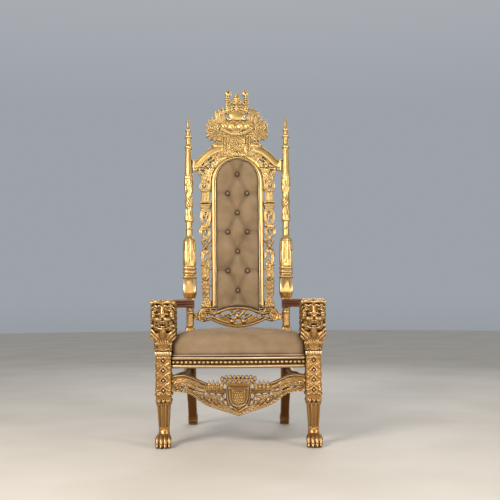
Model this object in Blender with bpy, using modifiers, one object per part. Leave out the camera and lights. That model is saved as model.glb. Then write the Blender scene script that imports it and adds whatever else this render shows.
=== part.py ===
"""A tall carved and gilded throne, with lion front legs, turned posts, pierced carving and velvet.

Everything is in metres with +Z up. The throne faces -Y, and its origin lies on the
floor, midway between its sides and between the front of its paws and its rear heels.
The back leans, so its pieces are laid out in the back's own plane (across, up the
slope, forward) and then turned into place.

The paths of the carved forms are points measured on the photograph, in metres: across
and up the back for its pieces, and across and up from the floor for the aprons.
"""

import math

import bmesh
import bpy
import numpy as np
from mathutils import Matrix, Vector

# Overall size
HEIGHT = 1.842
DEPTH = 0.76
JOINT_GAP = 0.0003
FRONT_TOE_Y = -DEPTH / 2
REAR_HEEL_Y = DEPTH / 2

# Front legs
FRONT_LEG_X = 0.349
TOE_REACH = 0.080
FRONT_LEG_Y = FRONT_TOE_Y + TOE_REACH
COLUMN_WIDTH = 0.070
COLUMN_TOP = 0.4215
COLUMN_RING_HEIGHT = 0.0215
COLUMN_BOTTOM = 0.222
SHAFT_WIDTH_TOP = 0.062
SHAFT_WIDTH_BOTTOM = 0.048
SHAFT_FLUTES = 3
FLUTE_DEPTH = 0.005
DIAMOND_PITCH = 0.0458
DIAMOND_COUNT = 4
DIAMOND_HALF = 0.0165
DIAMOND_DEPTH = 0.005
BOSS_RADIUS = 0.0065
ANKLE_HEIGHT = 0.079
PAW_WIDTH = 0.070
TOE_COUNT = 4
HEAD_WIDTH = 0.118
HEAD_BOTTOM = 0.506
ARM_TOP = 0.687
MUZZLE_REACH = 0.072
HEAD_LENGTH = 0.126
MUZZLE_Y = FRONT_LEG_Y - MUZZLE_REACH
HEAD_BACK_Y = MUZZLE_Y + HEAD_LENGTH

# Arms
ARM_HEIGHT = 0.042
ARM_WIDTH = 0.050
ARM_BOW = 0.010
ARM_GROOVE = 0.004

# Back: its lean, and the plane that its pieces lie in
BACK_LEAN = math.radians(6.5)
REAR_LEG_REACH = 0.180
BACK_FOOT_Y = REAR_HEEL_Y - REAR_LEG_REACH
BACK_FOOT_Z = 0.42
POST_X = 0.255
POST_TIP_X = 0.268
POST_LENGTH = 1.275
POST_SIDES = 8
BLOCK_HALF = 0.0356
ARM_BLOCK_HALF = 0.0235
REAR_LEG_WIDTH = 0.052
REAR_FOOT_WIDTH = 0.046

# Seat
RAIL_TOP = 0.418
RAIL_HEIGHT = 0.053
RAIL_THICKNESS = 0.034
FRONT_RAIL_BOW = 0.018
BEAD_COUNT = 31
BEAD_RADIUS = 0.0075
CUSHION_CROWN = 0.542
CUSHION_EDGE = 0.055
CUSHION_FULLNESS = 3.2
LEG_CLEARANCE = 0.0042
CUSHION_FRONT_WIDTH = 0.676
CUSHION_REAR_WIDTH = 0.536

# Back frame and its pad
FRAME_HALF = 0.141
FRAME_SIDE_WIDTH = 0.0265
FRAME_TOP_WIDTH = 0.0165
FRAME_CENTRE = 0.910
FRAME_FRONT = 0.018
FRAME_BACK = 0.012
SHOULDER = 0.2215
PAD_GAP = 0.0010
PAD_FRONT = 0.026
PAD_CROWN = 0.012
BUTTON_RADIUS = 0.011
BUTTON_PITCH = 0.106
BUTTON_TOP = 0.949
BUTTON_SPREAD = 0.0525
TUFT_DEPTH = 0.016
COVER_THICKNESS = 0.008

# Pierced carving
FRETWORK_CENTRE = 0.173
FRETWORK_TOP = 0.990
FRETWORK_BACK = 0.009
BROW_TOP = 0.2275
BROW_DROP = 0.0275
LOWER_RAIL_BACK = 0.012
CREST_BACK = 0.014
APRON_BACK = 0.010
SIDE_APRON_BACK = 0.009
SIDE_APRON_TOP = 0.335
SIDE_APRON_SHARE = 0.56
APRON_BOW = 0.012
POST_SEAT_RADIUS_TOP = 0.0228
POST_SEAT_RADIUS_LOW = 0.0203
CARVING_GRID = 0.004

FINIAL_FRONT = 0.012
DISC_RADIUS = 0.0175
CREST_TOP = (HEIGHT - BACK_FOOT_Z - FINIAL_FRONT * math.sin(BACK_LEAN)) / math.cos(BACK_LEAN)

GOLD = ("gilded carved wood", (0.62, 0.40, 0.12, 1.0), 0.36, 0.85)
VELVET = ("tan velvet", (0.36, 0.235, 0.15, 1.0), 0.9, 0.0)


def clear_scene():
    """Removes the objects of the startup scene."""
    for existing in list(bpy.data.objects):
        bpy.data.objects.remove(existing, do_unlink=True)


def material(finish):
    """A Principled material of a named finish, made once."""
    name, colour, roughness, metallic = finish
    found = bpy.data.materials.get(name)
    if found:
        return found
    made = bpy.data.materials.new(name)
    made.use_nodes = True
    shader = made.node_tree.nodes["Principled BSDF"]
    shader.inputs["Base Color"].default_value = colour
    shader.inputs["Roughness"].default_value = roughness
    shader.inputs["Metallic"].default_value = metallic
    return made


def new_object(name, mesh, finish, collection):
    """Puts a mesh in the scene under its piece's name."""
    mesh.name = name
    made = bpy.data.objects.new(name, mesh)
    mesh.materials.clear()
    mesh.materials.append(material(finish))
    collection.objects.link(made)
    return made


def baked(helper):
    """The mesh of an object as its modifiers leave it, with the helper object removed."""
    graph = bpy.context.evaluated_depsgraph_get()
    graph.update()
    mesh = bpy.data.meshes.new_from_object(helper.evaluated_get(graph))
    mesh.transform(helper.matrix_world)
    bpy.data.objects.remove(helper, do_unlink=True)
    return mesh


def helper_object(mesh):
    """A cutter or a shape still being made, which isn't a piece."""
    made = bpy.data.objects.new("helper", mesh)
    made.hide_render = True
    made.display_type = "WIRE"
    HELPERS.objects.link(made)
    return made


def combined(base, others, operation):
    """One mesh from Booleans of the same kind, run one after another."""
    body = helper_object(base)
    cutters = [helper_object(other) for other in others]
    for cutter in cutters:
        step = body.modifiers.new("step", "BOOLEAN")
        step.operation = operation
        step.object = cutter
    mesh = baked(body)
    for cutter in cutters:
        bpy.data.objects.remove(cutter, do_unlink=True)
    return mesh


def mesh_from(shape):
    """A mesh from a bmesh, which is freed."""
    mesh = bpy.data.meshes.new("shape")
    shape.to_mesh(mesh)
    shape.free()
    return mesh


def box_mesh(low, high):
    """A box between two corners."""
    shape = bmesh.new()
    size = [high[k] - low[k] for k in range(3)]
    middle = [(high[k] + low[k]) / 2 for k in range(3)]
    bmesh.ops.create_cube(shape, size=1.0, matrix=Matrix.Translation(middle) @ Matrix.Diagonal((*size,
                          1.0)))
    return mesh_from(shape)


def ball_mesh(centre, radii, sides=8, rings=6):
    """An ellipsoid."""
    shape = bmesh.new()
    place = Matrix.Translation(centre) @ Matrix.Diagonal((*radii, 1.0))
    bmesh.ops.create_uvsphere(shape, u_segments=sides, v_segments=rings, radius=1.0, matrix=place)
    return mesh_from(shape)


def loft_mesh(rings):
    """A closed skin over rings of the same number of points, with flat ends."""
    count = len(rings[0])
    points = [tuple(point) for ring in rings for point in ring]
    faces = [tuple(range(count))[::-1], tuple(range((len(rings) - 1) * count, len(rings) * count))]
    for level in range(len(rings) - 1):
        for side in range(count):
            after = (side + 1) % count
            here = level * count
            faces.append((here + side, here + after, here + count + after, here + count + side))
    mesh = bpy.data.meshes.new("loft")
    mesh.from_pydata(points, [], faces)
    shape = bmesh.new()
    shape.from_mesh(mesh)
    bmesh.ops.recalc_face_normals(shape, faces=shape.faces)
    shape.to_mesh(mesh)
    shape.free()
    return mesh


def rounded_ring(half, squareness, sides):
    """Points of a superellipse: squareness 2 is round, and higher is squarer."""
    ring = []
    for side in range(sides):
        angle = 2 * math.pi * side / sides
        c, s = math.cos(angle), math.sin(angle)
        reach = (abs(c) ** squareness + abs(s) ** squareness) ** (-1 / squareness)
        ring.append((half * reach * c, half * reach * s))
    return ring


def mirrored(mesh):
    """The same shape on the other side of the throne."""
    other = mesh.copy()
    other.transform(Matrix.Diagonal((-1.0, 1.0, 1.0, 1.0)))
    other.flip_normals()
    return other


def thinned(mesh, triangles):
    """The same shape with about this many triangles."""
    body = helper_object(mesh)
    corners = body.modifiers.new("corners", "TRIANGULATE")
    corners.show_render = corners.show_viewport
    now = sum(len(face.vertices) - 2 for face in mesh.polygons)
    fewer = body.modifiers.new("fewer", "DECIMATE")
    fewer.ratio = min(1.0, triangles / now)
    return baked(body)


def melted(shapes, voxel, triangles):
    """Overlapping shapes run together as if carved from one block, with about this many triangles."""
    shape = bmesh.new()
    for part in shapes:
        shape.from_mesh(part)
    body = helper_object(mesh_from(shape))
    skin = body.modifiers.new("skin", "REMESH")
    skin.mode = "VOXEL"
    skin.voxel_size = voxel
    return thinned(baked(body), triangles)


def back_place(across, up, forward):
    """World points of the back's own coordinates."""
    y = BACK_FOOT_Y + up * math.sin(BACK_LEAN) - forward * math.cos(BACK_LEAN)
    z = BACK_FOOT_Z + up * math.cos(BACK_LEAN) + forward * math.sin(BACK_LEAN)
    return across, y, z


class Carving:
    """A pierced plate of carving on a grid: how far each point is inside the wood, and how high it stands."""

    def __init__(self, low, high, step=CARVING_GRID, mirror=False):
        count = [max(4, round((high[k] - low[k]) / step)) + 1 for k in range(2)]
        across = np.linspace(low[0], high[0], count[0])
        up = np.linspace(low[1], high[1], count[1])
        self.place_across, self.up = np.meshgrid(across, up, indexing="ij")
        self.across = np.abs(self.place_across) if mirror else self.place_across
        self.inside = np.full(self.across.shape, -1.0)
        self.height = np.zeros(self.across.shape)
        self.margin = 1.6 * step

    def add(self, inside, height):
        """Joins on a form that is wood where inside is above zero."""
        near = inside > -self.margin
        self.height = np.where(near, np.maximum(self.height, height), self.height)
        self.inside = np.maximum(self.inside, inside)

    def pierce(self, inside):
        """Cuts a hole where inside is above zero."""
        self.inside = np.minimum(self.inside, -inside)

    def disc(self, across, up, radius, rise, base=0.0):
        """A round boss."""
        away = np.hypot(self.across - across, self.up - up)
        dome = np.sqrt(np.clip(1 - (away / radius) ** 2, 0, 1))
        self.add(radius - away, base + rise * dome)

    def oval(self, across, up, half_across, half_up):
        """How far each point is inside an oval, about in metres."""
        away = np.hypot((self.across - across) / half_across, (self.up - up) / half_up)
        return (1 - away) * min(half_across, half_up)

    def stroke(self, path, widths, rise, base=0.0, hollow=False, lobes=0, lobe=0.0):
        """A band along a path, round-backed or hollowed, whose edge may be lobed like a leaf."""
        away = np.full(self.across.shape, 9.0)
        along = np.zeros(self.across.shape)
        lengths = [math.dist(path[k], path[k + 1]) for k in range(len(path) - 1)]
        total = sum(lengths)
        start = 0.0
        for (a, b), length in zip(zip(path, path[1:]), lengths):
            du, dv = (b[0] - a[0]) / length, (b[1] - a[1]) / length
            t = np.clip((self.across - a[0]) * du + (self.up - a[1]) * dv, 0, length)
            gap = np.hypot(self.across - a[0] - t * du, self.up - a[1] - t * dv)
            nearer = gap < away
            away = np.where(nearer, gap, away)
            along = np.where(nearer, (start + t) / total, along)
            start += length
        width = np.interp(along, np.linspace(0, 1, len(widths)), widths)
        if lobes:
            width = width * (1 + lobe * (np.abs(np.sin(math.pi * lobes * along)) - 0.5))
        ratio = np.clip(away / np.maximum(width, 1e-6), 0, 1)
        crown = 0.35 + 0.65 * ratio**2 if hollow else np.sqrt(1 - ratio**2)
        self.add(width - away, base + rise * crown)

    def kept(self):
        """The grid with only its largest connected patch of wood."""
        wood = self.inside > 0
        label = np.where(wood, np.arange(wood.size).reshape(wood.shape) + 1, 0)
        while True:
            grown = label.copy()
            for axis, shift in ((0, 1), (0, -1), (1, 1), (1, -1)):
                moved = np.roll(label, shift, axis)
                edge = [slice(None), slice(None)]
                edge[axis] = 0 if shift > 0 else -1
                moved[tuple(edge)] = 0
                grown = np.where(wood, np.maximum(grown, moved), 0)
            if (grown == label).all():
                break
            label = grown
        names, counts = np.unique(label[label > 0], return_counts=True)
        return np.where(wood & (label != names[counts.argmax()]), -0.5 * self.margin, self.inside)

    def solid(self, back, place, triangles):
        """A closed solid: carved front, flat back, and walls along every edge and hole."""
        inside = self.kept()
        rows, columns = inside.shape
        for edge in (inside[0], inside[-1], inside[:, 0], inside[:, -1]):
            np.minimum(edge, -1e-4, out=edge)
        index = np.arange(rows * columns).reshape(rows, columns)
        a, b, c, d = index[:-1, :-1], index[1:, :-1], index[1:, 1:], index[:-1, 1:]
        flip = (np.add.outer(np.arange(rows - 1), np.arange(columns - 1)) % 2).astype(bool)
        first = np.where(flip[..., None], np.stack([a, b, d], -1), np.stack([a, b, c], -1))
        second = np.where(flip[..., None], np.stack([b, c, d], -1), np.stack([a, c, d], -1))
        corners = np.concatenate([first.reshape(-1, 3), second.reshape(-1, 3)])
        value = inside.ravel()
        grid = np.stack([self.place_across.ravel(), self.up.ravel(), self.height.ravel()], 1)
        points, made, faces = [], {}, []

        def point(i, j):
            """A grid point, or the crossing of the outline on the edge between two of them."""
            key = (min(i, j), max(i, j))
            if key not in made:
                i, j = key
                share = 0.0 if i == j else value[i] / (value[i] - value[j])
                share = share if i == j else min(0.88, max(0.12, share))
                made[key] = len(points)
                points.append(grid[i] * (1 - share) + grid[j] * share)
            return made[key]

        for triangle in corners[(value[corners] > 0).any(axis=1)]:
            ring = []
            for k in range(3):
                i, j = int(triangle[k]), int(triangle[(k + 1) % 3])
                if value[i] > 0:
                    ring.append(point(i, i))
                if (value[i] > 0) != (value[j] > 0):
                    ring.append(point(i, j))
            faces.append(ring)
        front = np.array(points)
        count = len(front)
        rear = front.copy()
        rear[:, 2] = -back
        everything = np.concatenate([front, rear])
        edges = {}
        for ring in faces:
            for k, i in enumerate(ring):
                edges[(i, ring[(k + 1) % len(ring)])] = True
        walls = [(j, i, i + count, j + count) for i, j in edges if (j, i) not in edges]
        skin = faces + [tuple(i + count for i in ring[::-1]) for ring in faces] + walls
        x, y, z = place(everything[:, 0], everything[:, 1], everything[:, 2])
        mesh = bpy.data.meshes.new("carving")
        mesh.from_pydata(np.stack(np.broadcast_arrays(x, y, z), 1).tolist(), [], skin)
        shape = bmesh.new()
        shape.from_mesh(mesh)
        bmesh.ops.recalc_face_normals(shape, faces=shape.faces)
        shape.to_mesh(mesh)
        shape.free()
        return thinned(mesh, triangles)


def fluted_ring(half, flutes, depth):
    """A square ring whose four faces each carry this many flutes."""
    face = [(-half, -half)]
    step = 2 * half / (flutes + 0.8)
    for flute in range(flutes):
        start = -half + step * (flute + 0.4)
        face.append((start, -half))
        face.append((start + 0.5 * step, -half + depth))
    face.append((half - 0.4 * step, -half))
    ring = []
    for turn in range(4):
        c, s = round(math.cos(turn * math.pi / 2)), round(math.sin(turn * math.pi / 2))
        ring += [(x * c - y * s, x * s + y * c) for x, y in face]
    return ring


def leg_column():
    """The square column of a front leg, its leafy collar and the fluted shaft below it."""
    levels = [
        (HEAD_BOTTOM + 0.020, 0.049),
        (0.482, 0.038),
        (COLUMN_TOP + COLUMN_RING_HEIGHT + 0.004, COLUMN_WIDTH / 2 - 0.0005),
        (COLUMN_TOP + COLUMN_RING_HEIGHT, COLUMN_WIDTH / 2 + 0.0035),
        (COLUMN_TOP + 0.004, COLUMN_WIDTH / 2 + 0.0035),
        (COLUMN_TOP, COLUMN_WIDTH / 2),
        (COLUMN_BOTTOM, COLUMN_WIDTH / 2),
        (COLUMN_BOTTOM - 0.012, COLUMN_WIDTH / 2 - 0.002),
        (COLUMN_BOTTOM - 0.013, SHAFT_WIDTH_TOP / 2 - 0.002),
    ]
    rings = []
    for z, half in levels:
        ring = rounded_ring(half, 14, 8)
        rings.append([(FRONT_LEG_X + x, FRONT_LEG_Y + y, z) for x, y in ring])
    column = loft_mesh(rings[::-1])
    rings = []
    shaft_levels = [
        (ANKLE_HEIGHT - 0.016, 0.5 * SHAFT_WIDTH_BOTTOM, 0.0),
        (ANKLE_HEIGHT + 0.006, 0.5 * SHAFT_WIDTH_BOTTOM, FLUTE_DEPTH),
        (COLUMN_BOTTOM, 0.5 * SHAFT_WIDTH_TOP, FLUTE_DEPTH),
    ]
    for z, half, depth in shaft_levels:
        ring = fluted_ring(half, SHAFT_FLUTES, depth)
        rings.append([(FRONT_LEG_X + x, FRONT_LEG_Y + y, z) for x, y in ring])
    shaft = loft_mesh(rings)
    return combined(column, [shaft], "UNION")


def diamonds(column):
    """Sinks framed diamonds with a boss in each into the front and outer faces of the column."""
    frames, hollows, bosses = [], [], []
    face = COLUMN_WIDTH / 2
    first = COLUMN_TOP - 0.0209
    for count in range(DIAMOND_COUNT):
        z = first - count * DIAMOND_PITCH
        for outward in ((0.0, -1.0), (1.0, 0.0)):
            middle = Vector((FRONT_LEG_X + outward[0] * face, FRONT_LEG_Y + outward[1] * face, z))
            normal = Vector((*outward, 0.0))
            turn = normal.to_track_quat("Z", "Y").to_matrix().to_4x4()
            place = Matrix.Translation(middle) @ turn
            for kind, reach, low, high in (
                (frames, DIAMOND_HALF + 0.0045, -0.006, 0.0025),
                (hollows, DIAMOND_HALF, -DIAMOND_DEPTH, 0.004),
            ):
                shape = bmesh.new()
                depth = high - low
                bmesh.ops.create_cone(
                    shape,
                    cap_ends=True,
                    segments=4,
                    radius1=reach * (0.9 if kind is hollows else 1.0),
                    radius2=reach,
                    depth=depth,
                    matrix=place @ Matrix.Translation((0, 0, low + depth / 2)),
                )
                kind.append(mesh_from(shape))
            seat = middle - normal * (DIAMOND_DEPTH - 0.001)
            bosses.append(ball_mesh(seat, (BOSS_RADIUS,) * 3, 4, 2))
    framed = combined(column, frames, "UNION")
    sunk = combined(framed, hollows, "DIFFERENCE")
    return combined(sunk, bosses, "UNION")


def lion_head():
    """The lion's head that ends an arm: a block with brow, nose, muzzle, jaw, beard and mane worked on it."""
    half = HEAD_WIDTH / 2 - 0.006
    tall = ARM_TOP - HEAD_BOTTOM
    shapes = [
        box_mesh(
            (FRONT_LEG_X - half, MUZZLE_Y + 0.030, HEAD_BOTTOM + 0.016),
            (FRONT_LEG_X + half, HEAD_BACK_Y + 0.010, ARM_TOP),
        )
    ]
    features = [
        (0.027, 0.028, 0.93, 0.027, 0.014, 0.012),
        (0.024, 0.018, 0.80, 0.024, 0.012, 0.009),
        (0.027, 0.024, 0.71, 0.011, 0.010, 0.007),
        (0.000, 0.014, 0.68, 0.016, 0.018, 0.030),
        (0.000, 0.010, 0.565, 0.023, 0.013, 0.009),
        (0.022, 0.017, 0.475, 0.024, 0.018, 0.015),
        (0.046, 0.040, 0.60, 0.013, 0.028, 0.034),
        (0.000, 0.022, 0.265, 0.028, 0.017, 0.011),
        (0.042, 0.030, 0.34, 0.011, 0.014, 0.011),
        (0.000, 0.030, 0.13, 0.016, 0.017, 0.028),
        (0.034, 0.036, 0.12, 0.019, 0.020, 0.021),
    ]
    for across, behind, share, *radii in features:
        for side in (1, -1) if across else (1,):
            centre = (FRONT_LEG_X + side * across, MUZZLE_Y + behind, HEAD_BOTTOM + share * tall)
            shapes.append(ball_mesh(centre, radii, 16, 12))
    for lock in range(5):
        for row in range(2):
            for side in (1, -1):
                centre = (
                    FRONT_LEG_X + side * half,
                    MUZZLE_Y + 0.058 + 0.034 * row,
                    HEAD_BOTTOM + (0.17 + 0.18 * lock + 0.09 * row) * tall,
                )
                shapes.append(ball_mesh(centre, (0.0048, 0.018, 0.016), 12, 8))
    head = melted(shapes, 0.004, 228)
    behind = box_mesh(
        (FRONT_LEG_X - HEAD_WIDTH, HEAD_BACK_Y, HEAD_BOTTOM - 0.02),
        (FRONT_LEG_X + HEAD_WIDTH, HEAD_BACK_Y + 0.05, ARM_TOP + 0.02),
    )
    return combined(head, [behind], "DIFFERENCE")


def paw():
    """The lion's paw that a front leg stands on, with its toes and flat underside."""
    shapes = [
        ball_mesh((FRONT_LEG_X, FRONT_LEG_Y - 0.004, 0.052), (0.030, 0.032, 0.034), 16, 12),
        ball_mesh((FRONT_LEG_X, FRONT_LEG_Y - 0.006, 0.020), (0.033, 0.040, 0.026), 16, 12),
    ]
    spacing = (PAW_WIDTH - 0.020) / (TOE_COUNT - 1)
    for toe in range(TOE_COUNT):
        x = FRONT_LEG_X + (toe - (TOE_COUNT - 1) / 2) * spacing
        shapes.append(ball_mesh((x, FRONT_TOE_Y + 0.040, 0.034), (0.0105, 0.030, 0.019), 12, 8))
        shapes.append(ball_mesh((x, FRONT_TOE_Y + 0.0175, 0.014), (0.0098, 0.017, 0.016), 12, 8))
    foot = melted(shapes, 0.0032, 126)
    ground = box_mesh(
        (FRONT_LEG_X - PAW_WIDTH, FRONT_TOE_Y - 0.05, -0.05),
        (FRONT_LEG_X + PAW_WIDTH, FRONT_LEG_Y + 0.10, 0.0),
    )
    return combined(foot, [ground], "DIFFERENCE")


def front_leg():
    """The right front leg, carved in one with its lion head and paw."""
    return combined(diamonds(leg_column()), [lion_head(), paw()], "UNION")


def back_face_y(z, forward):
    """Where a plane of the leaning back lies at a height."""
    up = (z - BACK_FOOT_Z - forward * math.sin(BACK_LEAN)) / math.cos(BACK_LEAN)
    return BACK_FOOT_Y + up * math.sin(BACK_LEAN) - forward * math.cos(BACK_LEAN)


def arm():
    """The right arm: a moulded rail from the lion's head back to the post."""
    half, tall, groove = ARM_WIDTH / 2, ARM_HEIGHT, ARM_GROOVE
    section = [
        (half - 0.004, 0.0), (half, 0.34 * tall), (half - groove, 0.45 * tall),
        (half, 0.58 * tall), (half - 0.002, 0.85 * tall), (half - 0.009, tall),
    ]
    section += [(-across, up) for across, up in section[::-1]]
    start_y = HEAD_BACK_Y + JOINT_GAP
    end_forward = ARM_BLOCK_HALF + JOINT_GAP
    rings = []
    stations = 4
    for station in range(stations + 1):
        share = station / stations
        x = FRONT_LEG_X + (POST_X + 0.002 - FRONT_LEG_X) * share + ARM_BOW * math.sin(math.pi * share)
        ring = []
        for across, up in section:
            z = ARM_TOP - ARM_HEIGHT + up
            end_y = back_face_y(z, end_forward)
            ring.append((x + across, start_y + (end_y - start_y) * share, z))
        rings.append(ring)
    return loft_mesh(rings)


POST_PROFILE = [
    (0.0976, 0.0268, 6), (0.108, 0.0262, 5), (0.120, 0.0205, 2), (0.190, 0.0195, 2),
    (0.1965, 0.0225, 2),
    (0.203, 0.0195, 2), (0.2225, 0.0200, 4), (0.2226, ARM_BLOCK_HALF, 14), (0.270, ARM_BLOCK_HALF, 14),
    (0.292, 0.0315, 5), (0.3075, BLOCK_HALF, 14), (0.375, BLOCK_HALF, 14), (0.376, 0.0330, 4),
    (0.386, 0.0372, 4),
    (0.396, 0.0325, 4), (0.413, 0.0366, 4), (0.424, 0.0325, 4), (0.436, 0.0362, 4), (0.447, 0.0330, 4),
    (0.578, 0.0350, 4), (0.595, 0.0300, 3), (0.6126, 0.0190, 2), (0.689, 0.0176, 2), (0.690, 0.0228, 2),
    (0.770, 0.0182, 2), (0.780, 0.0240, 2), (0.815, 0.0240, 2), (0.822, 0.0190, 2), (0.862, 0.0205, 2),
    (0.880, 0.0245, 2), (0.925, 0.0222, 2), (0.934, 0.0235, 2), (0.945, 0.0225, 2), (1.096, 0.0160, 2),
    (1.107, 0.0220, 2), (1.116, 0.0145, 2), (1.156, 0.0135, 2), (1.165, 0.0220, 2), (1.174, 0.0110, 2),
    (1.185, 0.0125, 2), (1.193, 0.0110, 2), (1.202, 0.0180, 2), (1.212, 0.0120, 2), (1.265, 0.0090, 2),
    (POST_LENGTH, 0.0050, 2),
]


def rear_stile():
    """The right rear stile: the turned post, in one with the square leg that sweeps back below it."""
    lean_out = math.atan((POST_TIP_X - POST_X) / POST_LENGTH)
    rings = []
    for up, half, squareness in POST_PROFILE:
        ring = []
        for across, forward in rounded_ring(half, squareness, POST_SIDES):
            across_back = POST_X + up * math.sin(lean_out) + across * math.cos(lean_out)
            ring.append(back_place(across_back, up - across * math.sin(lean_out), -forward))
        rings.append(ring)
    post = loft_mesh(rings)
    top, foot = REAR_LEG_WIDTH / 2, REAR_FOOT_WIDTH / 2
    heel = REAR_HEEL_Y - foot
    path = [
        (0.528, 0.0115, top), (0.450, 0.0, top), (0.340, 0.0, top), (0.270, 0.012, top - 0.001),
        (0.200, 0.038, top - 0.002), (0.130, 0.082, foot + 0.001),
        (0.066, heel - BACK_FOOT_Y - 0.014, foot),
    ]
    rings = []
    for z, behind, half in path:
        corners = ((-half, -half), (half, -half), (half, half), (-half, half))
        rings.append([(POST_X - 0.003 + x, BACK_FOOT_Y + behind + y, z) for x, y in corners])
    leg = loft_mesh(rings)
    shape = bmesh.new()
    turn = Matrix.Rotation(math.pi / 2, 4, "Y")
    place = Matrix.Translation((POST_X - 0.003, heel - 0.006, 0.048)) @ turn @ Matrix.Diagonal((0.8,
                               1.15, 1.0, 1.0))
    bmesh.ops.create_cone(
        shape, cap_ends=True, segments=10, radius1=0.025, radius2=0.025, depth=2 * foot + 0.004, matrix=place
    )
    roll = mesh_from(shape)
    pad = box_mesh(
        (POST_X - 0.003 - foot, heel - foot - 0.006, 0.0), (POST_X - 0.003 + foot, REAR_HEEL_Y, 0.020)
    )
    neck = box_mesh(
        (POST_X - foot, heel - foot + 0.004, 0.010), (POST_X - 0.006 + foot, heel + foot - 0.006, 0.045)
    )
    return combined(post, [leg, roll, pad, neck], "UNION")


def front_rail():
    """The bowed front seat rail with its row of beads between a fillet and a round."""
    half = FRONT_LEG_X - COLUMN_WIDTH / 2 - JOINT_GAP
    bottom = RAIL_TOP - RAIL_HEIGHT
    section = [
        (RAIL_THICKNESS, RAIL_TOP), (0.002, RAIL_TOP), (0.0, RAIL_TOP - 0.013),
        (0.007, RAIL_TOP - 0.017), (0.007, RAIL_TOP - 0.034), (0.001, RAIL_TOP - 0.037),
        (-0.002, bottom + 0.009), (0.004, bottom), (RAIL_THICKNESS, bottom),
    ]
    front = FRONT_LEG_Y - 0.017
    rings = []
    stations = 6
    for station in range(stations + 1):
        share = 2 * station / stations - 1
        bow = FRONT_RAIL_BOW * (1 - share**2)
        rings.append([(half * share, front - bow + behind * (1 + bow / RAIL_THICKNESS),
                     z) for behind, z in section])
    beads = []
    for bead in range(BEAD_COUNT):
        share = 2 * (bead + 0.5) / BEAD_COUNT - 1
        y = front - FRONT_RAIL_BOW * (1 - share**2) + 0.0055
        beads.append(ball_mesh((half * share, y, RAIL_TOP - 0.0255), (BEAD_RADIUS,) * 3, 4, 2))
    return combined(loft_mesh(rings), beads, "UNION")


def side_rail():
    """The right side rail, from the front leg to the rear stile."""
    bottom = RAIL_TOP - RAIL_HEIGHT
    half = RAIL_THICKNESS / 2
    section = [
        (-half, bottom), (half - 0.005, bottom), (half, bottom + 0.008), (half - 0.002, bottom + 0.017),
        (half - 0.006, bottom + 0.020), (half - 0.006, RAIL_TOP - 0.015), (half, RAIL_TOP - 0.012),
        (half, RAIL_TOP - 0.003), (half - 0.004, RAIL_TOP), (-half, RAIL_TOP),
    ]
    start = (FRONT_LEG_X - 0.006, FRONT_LEG_Y + COLUMN_WIDTH / 2 + JOINT_GAP)
    end = (POST_X - 0.003, BACK_FOOT_Y - REAR_LEG_WIDTH / 2 - JOINT_GAP)
    return loft_mesh([[(x + across, y, z) for across, z in section] for x, y in (start, end)])


def back_rail():
    """The rear seat rail between the stiles."""
    half = POST_X - 0.003 - REAR_LEG_WIDTH / 2 - JOINT_GAP
    return box_mesh(
        (-half, BACK_FOOT_Y - RAIL_THICKNESS / 2, RAIL_TOP - RAIL_HEIGHT),
        (half, BACK_FOOT_Y + RAIL_THICKNESS / 2, RAIL_TOP),
    )


def arch_points(half, rise, foot, segments=12):
    """Points up one side, over a round or oval arch and down the other, in the back's plane."""
    points = [(half, foot)]
    for step in range(segments + 1):
        angle = math.pi * step / segments
        points.append((half * math.cos(angle), FRAME_CENTRE + rise * math.sin(angle)))
    points.append((-half, foot))
    return points


def outline_mesh(points, low, high):
    """A flat outline in the back's plane, thick from low to high along its forward axis."""
    shape = bmesh.new()
    corners = [shape.verts.new((u, v, low)) for u, v in points]
    face = shape.faces.new(corners)
    made = bmesh.ops.extrude_face_region(shape, geom=[face])
    moved = [item for item in made["geom"] if isinstance(item, bmesh.types.BMVert)]
    bmesh.ops.translate(shape, verts=moved, vec=(0, 0, high - low))
    for vertex in shape.verts:
        vertex.co = Vector(back_place(*vertex.co))
    bmesh.ops.recalc_face_normals(shape, faces=shape.faces)
    return mesh_from(shape)


def back_frame():
    """The moulded frame that runs up both sides of the back and over its round top."""
    outer = arch_points(FRAME_HALF, FRAME_HALF, SHOULDER + JOINT_GAP)
    opening = FRAME_HALF - FRAME_SIDE_WIDTH
    inner = arch_points(opening, FRAME_HALF - FRAME_TOP_WIDTH, SHOULDER + JOINT_GAP)
    section = [
        (0.0, -FRAME_BACK), (0.0, 0.6 * FRAME_FRONT), (0.2, FRAME_FRONT), (0.42, FRAME_FRONT),
        (0.62, 0.6 * FRAME_FRONT), (1.0, 0.5 * FRAME_FRONT), (1.0, -FRAME_BACK),
    ]
    rings = []
    for near, far in zip(inner, outer):
        ring = []
        for share, forward in section:
            across = near[0] + (far[0] - near[0]) * share
            up = near[1] + (far[1] - near[1]) * share
            ring.append(back_place(across, up, forward))
        rings.append(ring)
    return loft_mesh(rings)


def brow_height(across):
    """How far up the back the eyebrow moulding's upper edge stands, across the opening."""
    share = across / (FRAME_HALF - FRAME_SIDE_WIDTH)
    return BROW_TOP - BROW_DROP * np.abs(share) ** 2.2


def opening_outline(gap):
    """The outline inside the frame and above the eyebrow moulding, drawn in by a gap."""
    half = FRAME_HALF - FRAME_SIDE_WIDTH - gap
    points = arch_points(half, FRAME_HALF - FRAME_TOP_WIDTH - gap, float(brow_height(half)) + gap)
    steps = 10
    for step in range(1, steps):
        across = half * (2 * step / steps - 1)
        points.append((across, float(brow_height(across)) + gap))
    return points


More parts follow.
